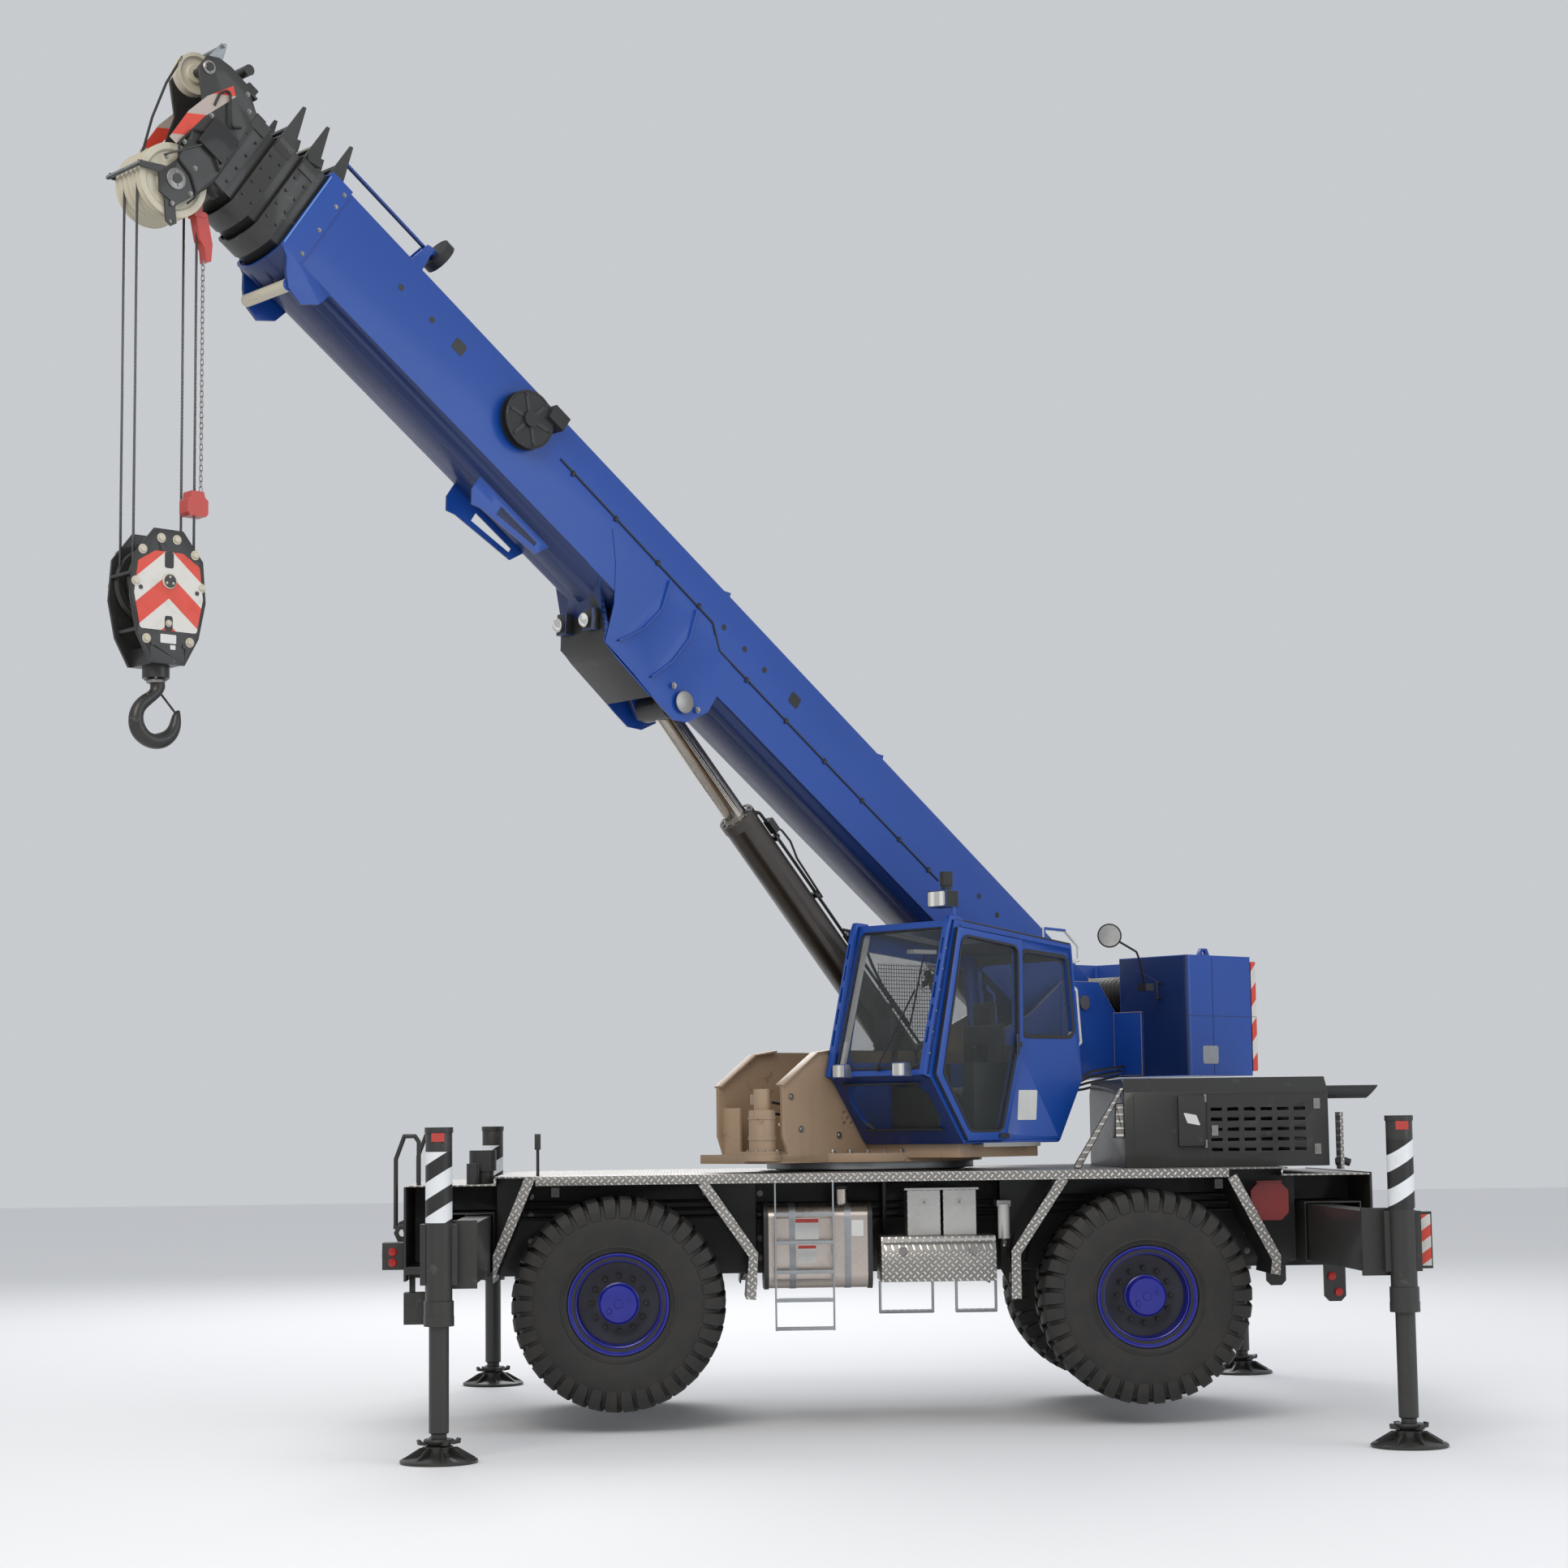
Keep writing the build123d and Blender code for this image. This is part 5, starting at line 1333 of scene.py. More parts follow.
    def head(self):
        body = "boom_section_4"
        sheaves = Form(BOOM)
        groove = [(0.07, -0.024), (0.07, 0.024), (0.11, 0.024), (0.125, 0.009), (0.2, 0.009),
        (0.215, 0.024), (0.258, 0.026), (0.26, 0.022),
                  (0.236, 0.009), (0.232, 0.0), (0.236, -0.009), (0.26, -0.022), (0.258, -0.026),
                  (0.215, -0.024), (0.2, -0.009), (0.125, -0.009), (0.11, -0.024)]
        for y in (0.029, 0.085, 0.141, -0.029, -0.085, -0.141):
            sheaves.lathe(groove, (HEAD_SHEAVE[0], y, HEAD_SHEAVE[1]), Y, 72)
        sheaves.rod((10.26, -0.176, -0.62), (10.26, 0.176, -0.62), 0.0695, 40)
        top = [(r * 150 / 260, h * 1.5) for r, h in groove]
        sheaves.lathe(
            [(0.0, -0.036), (0.0, 0.036)] + top[1:] + [top[0]], (TOP_SHEAVE[0], 0, TOP_SHEAVE[1]),
            Y, 56)
        sheaves.piece(
            "head_sheaves_grooved", body, "sheave", "sheave_sand", 30, replaces=("head_sheaves",))
        stripes = Form(BOOM)
        outline = [
            (10.335, 0.25), (10.435, 0.035), (10.475, -0.16), (10.47, -0.42), (10.405, -0.42),
            (10.365, -0.1), (10.275, 0.2)]
        for y0, y1 in ((0.1982, 0.2012), (-0.2012, -0.1982)):
            stripes.prism(outline, y0, y1, "y", 0)
        stripes.piece("head_stripes", body, "head_stripes", "section_grey")
        caps = Form(BOOM)
        for s, n, r in ((*HEAD_SHEAVE, 0.075), (*TOP_SHEAVE, 0.05)):
            caps.lathe(
                [(0, 0), (r, 0), (r, 0.008), (r * 0.85, 0.014), (0, 0.014)], (s, 0.1982, n), Y, 36)
            caps.bolt_ring((s, 0.2115, n), Y, r * 0.62, 4, 0.008, 0.006, 45)
        for s, n in (
            (10.33, -0.05), (10.3, -0.2), (10.37, -0.36), (10.2, -0.45), (10.14, 0.2),
            (10.22, 0.29), (10.4, -0.55), (10.12, -0.62), (10.18, -0.78)):
            caps.bolt((s, 0.1985, n), Y, 0.012, 0.009)
        caps.mirror()
        caps.piece("head_bolts", body, "bolt", "section_grey")
        # Hoist rope over the front of the head, from the upper to the lower sheave
        rope = Form(BOOM)
        rope.tube(
            [
                (10.691, 0.03, 0.22), (10.668, 0.03, -0.02), (10.60, 0.03, -0.3),
                (10.505, 0.029, -0.56)],
            0.009, 10)
        rope.tube(
            [(10.545, 0, 0.345), (10.60, 0.01, 0.338), (10.66, 0.02, 0.29), (10.691, 0.03, 0.22)],
            0.009, 10)
        rope.piece("head_rope", body, "hose", "rope_steel")
        hose = Form(BOOM)
        hose.tube(
            [
                (10.12, 0.205, 0.05), (10.18, 0.225, -0.02), (10.26, 0.222, 0.08),
                (10.34, 0.215, 0.2), (10.38, 0.208, 0.12), (10.36, 0.206, 0.02)],
            0.009, 8, 0.05)
        hose.tube(
            [
                (10.31, 0.215, -0.2), (10.38, 0.222, -0.25), (10.4, 0.214, -0.4),
                (10.33, 0.21, -0.5), (10.2, 0.208, -0.52), (10.08, 0.206, -0.6), (10.1, 0.206, -0.7)
            ],
            0.008, 8, 0.05)
        hose.piece("head_hoses", body, "hose", "charcoal")


# Hoist

class CRANE_OT_hoist(bpy.types.Operator):
    """Falls, hook block with its sheaves and plates, and the hook"""

    bl_idname = "crane.hoist"
    bl_label = "Hoist"

    def execute(self, context):
        self.falls(context.scene.crane_sizes.rope)
        self.limit_switch()
        self.block()
        self.hook()
        return {"FINISHED"}

    def falls(self, radius):
        top, low = 0.0, -FALL_LENGTH
        mesh = bpy.data.meshes.new("hoist_ropes")
        bm = bmesh.new()
        uv = bm.loops.layers.uv.new("lay")
        count = 12
        for x in (0.232, -0.232):
            for y in (SHEAVE_Y, -SHEAVE_Y):
                rings = []
                for z in (top, low):
                    rings.append(
                        [
                            bm.verts.new(
                                (
                                    x + radius * math.cos(2 * math.pi * k / count),
                                    y + radius * math.sin(2 * math.pi * k / count), z)
                            )
                            for k in range(count)]
                    )
                for k in range(count):
                    j = (k + 1) % count
                    face = bm.faces.new((rings[0][j], rings[0][k], rings[1][k], rings[1][j]))
                    for loop, (u, v) in zip(
                        face.loops,
                        (
                            ((k + 1) / count, top), (k / count, top), (k / count, low),
                            ((k + 1) / count, low))
                    ):
                        loop[uv].uv = (u, v)
                bm.faces.new(rings[0])
                bm.faces.new(rings[1][::-1])
        bmesh.ops.recalc_face_normals(bm, faces=bm.faces)
        bm.to_mesh(mesh)
        bm.free()
        mesh.transform(PLUMB)
        mesh.shade_smooth()
        mesh.materials.append(finish("rope"))
        ropes = in_scene("hoist_ropes", mesh)
        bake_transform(ropes)
        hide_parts("hoist_falls")

    def limit_switch(self):
        """Overhoist switch: bracket, chain and the weight round the rear fall."""
        bracket = Form(PLUMB)
        bracket.box(-0.255, -0.215, 0.05, 0.12, -0.17, -0.02, 0.006)
        bracket.prism(
            [
                (-0.20, -0.19), (-0.29, -0.17), (-0.335, -0.38), (-0.325, -0.50), (-0.285, -0.51),
                (-0.275, -0.42), (-0.235, -0.36)],
            0.045, 0.125, "y", 0.006)
        bracket.box(-0.275, -0.19, 0.04, 0.13, -0.205, -0.165, 0.006)
        bracket.piece("limit_bracket", "falls", "red", "hook_black")
        hanging = Form(PLUMB)
        hanging.prism(
            [
                (-0.295, -2.29), (-0.17, -2.29), (-0.15, -2.27), (-0.15, -2.18), (-0.175, -2.16),
                (-0.18, -2.12), (-0.275, -2.12), (-0.285, -2.16), (-0.31, -2.18), (-0.31, -2.27)],
            0.03, 0.14, "y", 0.008)
        weight = hanging.piece("limit_weight", None, "red", "hook_black")
        chain = Form(PLUMB)
        count = 44
        for k in range(count):
            z = -0.50 - 1.62 * (k + 0.5) / count
            a, b = (0.011, 0.0) if k % 2 else (0.0, 0.011)
            link = [
                (-0.262 + a * s, 0.12 + b * s, z + 0.022 * t) for s,
                t in (
                    (1, 0.6), (0.7, 1), (-0.7, 1), (-1, 0.6), (-1, -0.6), (-0.7, -1), (0.7, -1),
                    (1, -0.6))
            ]
            chain.tube(link, 0.0035, 6, closed=True)
        links = chain.piece("limit_chain", None, "bolt", "rope_steel")
        for piece, slot in ((weight, "hook_black"), (links, "rope_steel")):
            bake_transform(piece)

    def block(self):
        dressed("hook_block", "hook_block_body", "hook", BLOCK, 0.004)
        sheaves = Form(BLOCK)
        groove = [(0.046, -0.03), (0.046, 0.03), (0.09, 0.03), (0.105, 0.01), (0.195, 0.01), (0.215,
        0.024), (0.258, 0.027), (0.26, 0.022),
                  (0.237, 0.01), (0.232, 0.0), (0.237, -0.01), (0.26, -0.022), (0.258, -0.027),
                  (0.215, -0.024), (0.195, -0.01), (0.105, -0.01), (0.09, -0.03)]
        for y in (SHEAVE_Y, -SHEAVE_Y):
            sheaves.lathe(groove, (0, y, 0), Y, 72)
        sheaves.piece(
            "block_sheaves_grooved", "hook_block", "section_grey", "section_grey", 30,
            replaces=("block_sheaves",))
        plate = Form(BLOCK)
        outline = [
            (-0.105, 0.2), (0.105, 0.2), (0.235, 0.12), (0.262, -0.1), (0.215, -0.335),
            (0.145, -0.335), (-0.145, -0.335), (-0.215, -0.335), (-0.262, -0.1), (-0.235, 0.12)]
        for y0, y1 in ((0.1552, 0.1587), (-0.1587, -0.1552)):
            plate.prism(rounded(outline, 0.02), y0, y1, "y", 0)
        plate.piece("block_chevrons", "hook_block", "block_stripes", "hook_black")
        # Near-black patches in the side plates' notches: painted shade
        dark = Form(BLOCK)
        for x0, x1, z0, z1 in ((-0.034, 0.034, 0.09, 0.2), (-0.03, 0.03, -0.335, -0.235)):
            for y0, y1 in ((0.1588, 0.1602), (-0.1602, -0.1588)):
                dark.label(x0, x1, z0, z1, y0, y1, 0.015)
        dark.piece("block_notch_shade", "hook_block", "soot", "hook_black")
        bolts = Form(BLOCK)
        for x, z in (
            (0.2, 0.2), (-0.2, 0.2), (0.25, -0.02), (-0.25, -0.02), (0.165, -0.4), (-0.165, -0.4),
            (0.06, 0.29), (-0.06, 0.29)):
            bolts.bolt((x, 0.1555, z), Y, 0.022, 0.014)
        bolts.bolt((0, 0.1605, -0.285), Y, 0.016, 0.01)
        bolts.lathe(
            [(0, 0), (0.052, 0), (0.052, 0.01), (0.044, 0.016), (0, 0.016)], (0, 0.1588, 0.0), Y, 40
        )
        bolts.bolt_ring((0, 0.1745, 0), Y, 0.028, 3, 0.006, 0.005, 90)
        bolts.mirror()
        bolts.piece("block_bolts", "hook_block", "sheave", "hook_black")
        tag = Form(BLOCK)
        tag.label(-0.06, 0.06, -0.42, -0.36, 0.1552, 0.157, 0.006)
        tag.label(-0.055, -0.015, -0.46, -0.43, 0.1552, 0.157, 0.003)
        tag.piece("block_label", "hook_block", "white", "hook_black")
        guard = Form(BLOCK)
        for x in (0.268, -0.268):
            guard.rod((x, -0.13, 0.04), (x, 0.13, 0.04), 0.012, 12)
            guard.rod((x * 0.78, -0.13, -0.33), (x * 0.78, 0.13, -0.33), 0.014, 12)
        guard.piece("block_guards", "hook_block", "hook", "hook_black")

    def hook(self):
        source = frame["nodes"]["hook"]
        bm = bmesh.new()
        bm.from_mesh(source.data)
        bmesh.ops.remove_doubles(bm, verts=bm.verts, dist=2e-5)
        mesh = bpy.data.meshes.new("hook_forged")
        bm.to_mesh(mesh)
        bm.free()
        mesh.shade_smooth()
        mesh.set_sharp_from_angle(angle=math.radians(50))
        mesh.materials.append(finish("hook"))
        owned(in_scene("hook_forged", mesh), "hook", ("hook",))
        nut = Form(BLOCK)
        nut.lathe(
            [(0.044, 0), (0.06, 0), (0.064, 0.006), (0.064, 0.02), (0.06, 0.026), (0.044, 0.026)],
            (0, 0, -0.672), Z, 32)
        nut.bolt_ring((0, 0, -0.6405), (0, 0, -1), 0.078, 6, 0.009, 0.008)
        nut.piece("hook_collar", "hook", "bolt", "hook_black")


# Luffing cylinder

class CRANE_OT_cylinder(bpy.types.Operator):
    """Luffing cylinder with its hoses, clamp and valve"""

    bl_idname = "crane.cylinder"
    bl_label = "Cylinder"

    def execute(self, context):
        dressed("luff_barrel", "luff_barrel_body", "barrel_dark", CYL, 0.004)
        dressed(
            "luff_rod", "luff_rod_body", "chrome", CYL, 0.003,
            (("hook", lambda p, n: p.x > CYL_LEN - 0.2),))
        side = Form(CYL)
        # Two pressure lines along the top of the barrel, held by clamps
        side.tube(
            [
                (0.35, 0.05, 0.16), (0.6, 0.05, 0.175), (1.6, 0.05, 0.175), (2.2, 0.05, 0.178),
                (3.0, 0.05, 0.178), (3.2, 0.05, 0.172), (3.24, 0.05, 0.13)],
            0.013, 10, 0.06)
        side.tube(
            [(0.45, -0.02, 0.155), (0.7, -0.02, 0.172), (1.5, -0.02, 0.172), (1.62, -0.02, 0.15)],
            0.011, 10, 0.05)
        side.tube(
            [
                (1.95, 0.06, 0.185), (1.88, 0.09, 0.235), (1.70, 0.09, 0.245), (1.55, 0.08, 0.21),
                (1.35, 0.06, 0.19), (0.9, 0.06, 0.19)],
            0.012, 10, 0.08)
        side.tube(
            [
                (3.05, 0.09, 0.16), (2.98, 0.1, 0.215), (2.85, 0.1, 0.225), (2.7, 0.09, 0.19),
                (2.3, 0.085, 0.18)],
            0.009, 8, 0.06)
        side.piece("cylinder_hoses", "luff_barrel", "hose", "barrel_dark")
        clamps = Form(CYL)
        for s in (0.7, 1.15, 1.75, 2.35, 2.95):
            clamps.box(s - 0.022, s + 0.022, -0.05, 0.09, 0.14, 0.165, 0.003)
            clamps.box(s - 0.016, s + 0.016, 0.03, 0.07, 0.16, 0.196, 0.003)
            clamps.bolt((s, 0.0, 0.165), Z, 0.008, 0.007)
        clamps.box(1.72, 1.9, 0.03, 0.11, 0.165, 0.235, 0.006)
        clamps.rod((1.76, 0.07, 0.23), (1.76, 0.07, 0.262), 0.014, 16)
        clamps.rod((1.85, 0.07, 0.23), (1.85, 0.07, 0.255), 0.012, 16)
        clamps.box(3.0, 3.12, 0.05, 0.12, 0.145, 0.2, 0.005)
        clamps.piece("cylinder_clamps", "luff_barrel", "hook", "barrel_dark")
        valve = Form(CYL)
        valve.box(0.78, 0.98, -0.03, 0.06, -0.225, -0.135, 0.006)
        valve.rod((0.74, 0.015, -0.18), (0.78, 0.015, -0.18), 0.022, 16)
        valve.rod((0.98, 0.015, -0.18), (1.03, 0.015, -0.18), 0.018, 16)
        valve.tube(
            [
                (0.80, 0.02, -0.222), (0.79, 0.05, -0.31), (0.70, 0.07, -0.36), (0.60, 0.05, -0.31),
                (0.56, 0.02, -0.22), (0.5, 0.0, -0.15)],
            0.011, 10, 0.07)
        valve.tube(
            [
                (0.92, 0.02, -0.222), (0.93, 0.04, -0.29), (0.86, 0.06, -0.38), (0.74, 0.05, -0.42),
                (0.64, 0.03, -0.36), (0.6, 0.0, -0.25), (0.6, 0.0, -0.14)],
            0.010, 10, 0.07)
        valve.piece("cylinder_valve", "luff_barrel", "trim", "barrel_dark")
        gland = Form(CYL)
        gland.bolt_ring((3.3102, 0, 0), X, 0.122, 12, 0.010, 0.009)
        gland.lathe(
            [(0.0925, 0), (0.112, 0), (0.112, 0.006), (0.0925, 0.012)], (3.3102, 0, 0), X, 48)
        gland.piece("gland_bolts", "luff_barrel", "bolt", "barrel_dark")
        return {"FINISHED"}


# Cab

class CRANE_OT_cab(bpy.types.Operator):
    """Cab frame, door, glass, guard bars, lamps and the operator's place"""

    bl_idname = "crane.cab"
    bl_label = "Cab"

    def execute(self, context):
        self.shell()
        self.trim()
        self.inside()
        self.rails()
        return {"FINISHED"}

    def shell(self):
        inner = lambda p, n: 0.53 < p.y < 1.38 and -0.84 < p.x < 0.62 and self.faces_in(p, n)
        regions = (
            ("trim", lambda p, n: p.z > 3.915 and p.x > 0.43),
            (
                "galvanised",
                lambda p, n: p.x > 0.768 and 2.62 < p.z < 2.75 and (
                    0.5 < p.y < 0.65 or 1.165 < p.y < 1.315)
            ),
            ("white", lambda p, n: p.x < -0.78 and p.y > 1.375 and p.z > 2.7),
            (
                "white",
                lambda p, n: 1.43 < p.y < 1.45 and p.z > 3.5 and p.x < -0.5 and abs(n.y) < 0.9),
            # The lower front panel is painted navy as painted shade
            ("navy", lambda p, n: p.z < 2.655 and n.x > 0.25),
            ("grey_trim", inner),
        )
        dressed("cab_shell", "cab_body", "boom_blue", TURNED, 0.004, regions)
        dressed("cab_door", "cab_door_panel", "boom_blue", TURNED, 0.003,
                (("trim", lambda p, n: p.x < -0.095 and p.y > 1.544), ("trim", lambda p,
                n: abs(n.y) < 0.5 and p.x > -0.19)))
        for node, name in (("cab_glass", "cab_windows"), ("door_glass", "door_window")):
            dressed(node, name, "glass", TURNED, 0.0)

    def faces_in(self, p, n):
        """True where a face looks at the middle of the cab."""
        middle = Vector((-0.2, 0.955, 2.9))
        return (middle - p).dot(n) > 0

    def ring(self, form, outline, grow, lo, hi, r=0.05):
        """A frame of even width round a window."""
        n = len(outline)
        middle = Vector((sum(p[0] for p in outline) / n, sum(p[1] for p in outline) / n))
        outer = []
        for i in range(n):
            a, b, c = Vector(outline[i - 1]), Vector(outline[i]), Vector(outline[(i + 1) % n])
            u = (b - a).normalized()
            v = (c - b).normalized()
            out_u = Vector((u.y, -u.x))
            out_v = Vector((v.y, -v.x))
            if out_u.dot(b - middle) < 0:
                out_u = -out_u
                out_v = -out_v
            step = (out_u + out_v) / max(0.4, 1 + out_u.dot(out_v))
            outer.append(tuple(b + step * grow))
        one = rounded(outline, r, 5)
        two = rounded(outer, r + max(grow, 0), 5)
        count = len(one)
        verts = []
        for loop, y in ((one, lo), (two, lo), (two, hi), (one, hi)):
            verts += [(p[0], y, p[1]) for p in loop]
        faces = []
        for k in range(4):
            a, b = k * count, ((k + 1) % 4) * count
            for i in range(count):
                j = (i + 1) % count
                faces.append((a + i, a + j, b + j, b + i))
        form._put(verts, faces)
        return form

    def trim(self):
        door = [
            (0.405, 2.23), (0.68, 2.66), (0.45, 3.7), (-0.14, 3.63), (-0.13, 2.91), (0.07, 2.23)]
        frame_form = Form(TURNED)
        self.ring(frame_form, door, 0.018, 1.5445, 1.5495, 0.06)
        frame_form.piece("door_gasket", "cab_door", "trim", "door_frame")
        side = Form(TURNED)
        self.ring(
            side, [(-0.24, 2.96), (-0.24, 3.6), (-0.74, 3.56), (-0.8, 2.96)], 0.03, 1.5005, 1.505,
            0.05)
        side.piece("window_gasket", "superstructure", "trim", "cab_blue")
        # Dark edge along both sides of the roof
        edge = Form(TURNED)
        edge.tube([(0.497, 1.49, 3.832), (-0.2, 1.49, 3.748), (-0.80, 1.49, 3.676)], 0.011, 8)
        edge.tube([(0.497, 0.42, 3.832), (-0.2, 0.42, 3.748), (-0.80, 0.42, 3.676)], 0.011, 8)
        edge.piece("roof_edge", "superstructure", "trim", "cab_blue")
        # White inner pillars of the windscreen, without their brown gasket
        pillar = Form(TURNED)
        lean = lambda t, out: (0.815 + (0.516 - 0.815) * t + out, 2.70 + 1.06 * t)
        for y0, y1 in ((1.40, 1.438), (0.472, 0.51)):
            a = lean(0.0, -0.075)
            b = lean(1.0, -0.075)
            pillar.prism(
                [(a[0], a[1]), (a[0] + 0.03, a[1]), (b[0] + 0.03, b[1]), (b[0], b[1])], y0, y1, "y",
                0.003)
        pillar.piece("windscreen_pillars", "superstructure", "white", "cab_blue")
        bars = Form(TURNED)
        for y in (1.4375, 0.4725):
            bars.tube([(0.787, y, 2.71), (0.497, y, 3.77)], 0.009, 8)
        bars.tube([(0.79, 0.475, 2.702), (0.79, 1.435, 2.702)], 0.009, 8)
        bars.tube([(0.503, 0.475, 3.775), (0.503, 1.435, 3.775)], 0.009, 8)
        bars.tube([(0.775, 0.52, 2.585), (0.775, 1.37, 2.585)], 0.009, 8)
        bars.tube([(0.532, 0.52, 2.235), (0.532, 1.37, 2.235)], 0.009, 8)
        bars.piece("windscreen_gaskets", "superstructure", "trim", "cab_trim")
        # Wiper over the windscreen
        wiper = Form(TURNED)
        wiper.tube([(0.805, 0.95, 2.72), (0.79, 1.0, 2.82), (0.66, 1.22, 3.3)], 0.007, 8)
        wiper.tube([(0.74, 1.24, 3.02), (0.6, 1.26, 3.56)], 0.008, 6)
        wiper.rod((0.78, 0.95, 2.70), (0.83, 0.95, 2.715), 0.02, 16)
        wiper.piece("wiper", "superstructure", "trim", "cab_trim")
        silver = Form(TURNED)
        silver.box(-0.40, 0.23, 1.485, 1.503, 2.118, 2.134, 0.002)
        silver.box(-0.40, 0.23, 1.38, 1.503, 2.098, 2.118, 0.002)
        silver.piece("sill_rail", "superstructure", "aluminium", "cab_blue")
        labels = Form(TURNED)
        labels.prism(
            rounded([(-0.36, 2.3), (-0.15, 2.3), (-0.17, 2.53), (-0.38, 2.53)], 0.01), 1.5002,
            1.5015, "y", 0)
        labels.piece("cab_label", "superstructure", "white", "cab_blue")
        locks = Form(TURNED)
        locks.box(-0.16, -0.1, 1.544, 1.5605, 2.86, 2.9, 0.004)
        locks.box(0.0, 0.1, 1.544, 1.556, 2.165, 2.2, 0.003)
        locks.piece("door_lock", "cab_door", "trim", "door_frame")
        lamps = Form(TURNED)
        for y in (0.575, 1.24):
            lamps.label(y - 0.062, y + 0.062, 2.648, 2.737, 0.8695, 0.8715, 0.012, "x")
        lamps.label(1.30, 1.48, 3.935, 4.045, 0.5795, 0.5815, 0.012, "x")
        lamps.piece("cab_lamps", "superstructure", "lens", "chrome_rod")
        beacon = Form(TURNED)
        beacon.lathe(
            [(0, 0), (0.049, 0), (0.049, 0.085), (0.04, 0.1), (0, 0.104)], (0.52, 1.44, 4.092), Z,
            32)
        beacon.piece("beacon_lens", "superstructure", "amber", "cab_trim")

    def inside(self):
        dressed("console", "console_body", "trim", TURNED, 0.003)
        # Seat pads, crowned and drawn in between their corners
        pads = (
            ("seat_cushion", (-0.3, 0.18), (0.7, 1.2), (2.45, 2.56)),
            ("seat_back", (-0.42, -0.3), (0.72, 1.18), (2.5, 3.06)),
            ("seat_headrest", (-0.41, -0.33), (0.83, 1.07), (3.04, 3.23)),
        )
        for name, xs, ys, zs in pads:
            stands_for = ("seat",) if name == "seat_cushion" else ()
            pad = owned(self.pad(name, xs, ys, zs), "superstructure", stands_for)
        base = Form(TURNED)
        base.box(-0.25, 0.12, 0.78, 1.12, 2.16, 2.43, 0.02)
        base.box(-0.32, -0.22, 0.86, 1.04, 2.4, 2.9, 0.015)
        base.box(-0.28, 0.15, 0.73, 1.17, 2.42, 2.455, 0.01)
        base.piece("seat_base", "superstructure", "trim", "seat_dark")
        fan = Form(TURNED)
        hub = Matrix.Translation(FAN_AT)
        for k in range(4):
            turn = hub @ Matrix.Rotation(
                math.radians(90 * k + 20), 4, "X") @ Matrix.Rotation(0.4, 4, "Z")
            fan.box(-0.003, 0.003, -0.028, 0.028, 0.018, 0.085, 0.001, turn)
        fan.lathe([(0, -0.02), (0.022, -0.02), (0.022, 0.012), (0, 0.014)], FAN_AT, X, 24)
        for r in (0.095, 0.065, 0.035):
            fan.hoop((0.42, 1.12, 3.38), X, r, 0.0025, 14, 6)
        fan.rod(FAN_AT, (0.36, 1.12, 3.25), 0.01, 12)
        fan.piece("cab_fan", "superstructure", "trim", "cab_trim")
        roof = Form(TURNED)
        roof.box(-0.1, 0.15, 0.62, 0.7, 3.62, 3.65, 0.006)
        roof.piece("cab_light", "superstructure", "white", "cab_trim")
        mesh_form = Form(Matrix.Identity(4))
        mesh_form.rod((0, 0, -0.3), (0, 0, 0.3), 0.0025, 6, 0)
        repeated(mesh_form, "guard_mesh_upright", "superstructure", "trim", "cab_trim",
                 TURNED @ Matrix.Translation(GUARD_AT), 35, Columns=26, Rows=1, Column_step=0.028,
                 Row_step=0.02)
        across = Form(Matrix.Identity(4))
        across.rod((-0.36, 0, 0), (0.36, 0, 0), 0.0025, 6, 0)
        repeated(across, "guard_mesh_across", "superstructure", "trim", "cab_trim",
                 TURNED @ Matrix.Translation(GUARD_AT) @ Matrix.Rotation(math.pi / 2, 4, "X"), 35,
                 Columns=1, Rows=20, Column_step=0.02, Row_step=0.03)

    def pad(self, name, xs, ys, zs):
        """A crowned cushion within its box, with a sewn edge and two channels."""
        dims = Vector((xs[1] - xs[0], ys[1] - ys[0], zs[1] - zs[0]))
        middle = Vector(((xs[0] + xs[1]) / 2, (ys[0] + ys[1]) / 2, (zs[0] + zs[1]) / 2))
        thin = min(range(3), key=lambda i: dims[i])
        wide = [i for i in range(3) if i != thin]
        bm = bmesh.new()
        count = 28
        def point(u, v, side):
            edge_u = u * (1 - 0.03 * (1 - v * v))
            edge_v = v * (1 - 0.03 * (1 - u * u))
            crown = (max(0.0, 1 - abs(u) ** 3.2) * max(0.0, 1 - abs(v) ** 3.2)) ** 0.42
            groove = 0.0
            for line in (-0.38, 0.38):
                groove += math.exp(-((v - line) / 0.035) ** 2) * 0.22
            height = crown * (1 - groove * crown)
            p = Vector(ORIGIN)
            p[wide[0]] = edge_u * dims[wide[0]] / 2
            p[wide[1]] = edge_v * dims[wide[1]] / 2
            p[thin] = side * height * dims[thin] / 2
            return middle + p
        grids = []
        for side in (1, -1):
            grid = {}
            for i in range(count + 1):
                for j in range(count + 1):
                    u = math.sin((2 * i / count - 1) * math.pi / 2)
                    v = math.sin((2 * j / count - 1) * math.pi / 2)
                    rim = i in (0, count) or j in (0, count)
                    if side < 0 and rim:
                        grid[i, j] = grids[0][i, j]
                    else:
                        grid[i, j] = bm.verts.new(point(u, v, side))
            grids.append(grid)
            for i in range(count):
                for j in range(count):
                    bm.faces.new((grid[i, j], grid[i + 1, j], grid[i + 1, j + 1], grid[i, j + 1]))
        bmesh.ops.recalc_face_normals(bm, faces=bm.faces)
        mesh = bpy.data.meshes.new(name)
        bm.to_mesh(mesh)
        bm.free()
        mesh.transform(TURNED)
        mesh.shade_smooth()
        mesh.materials.append(finish("seat"))
        return in_scene(name, mesh)

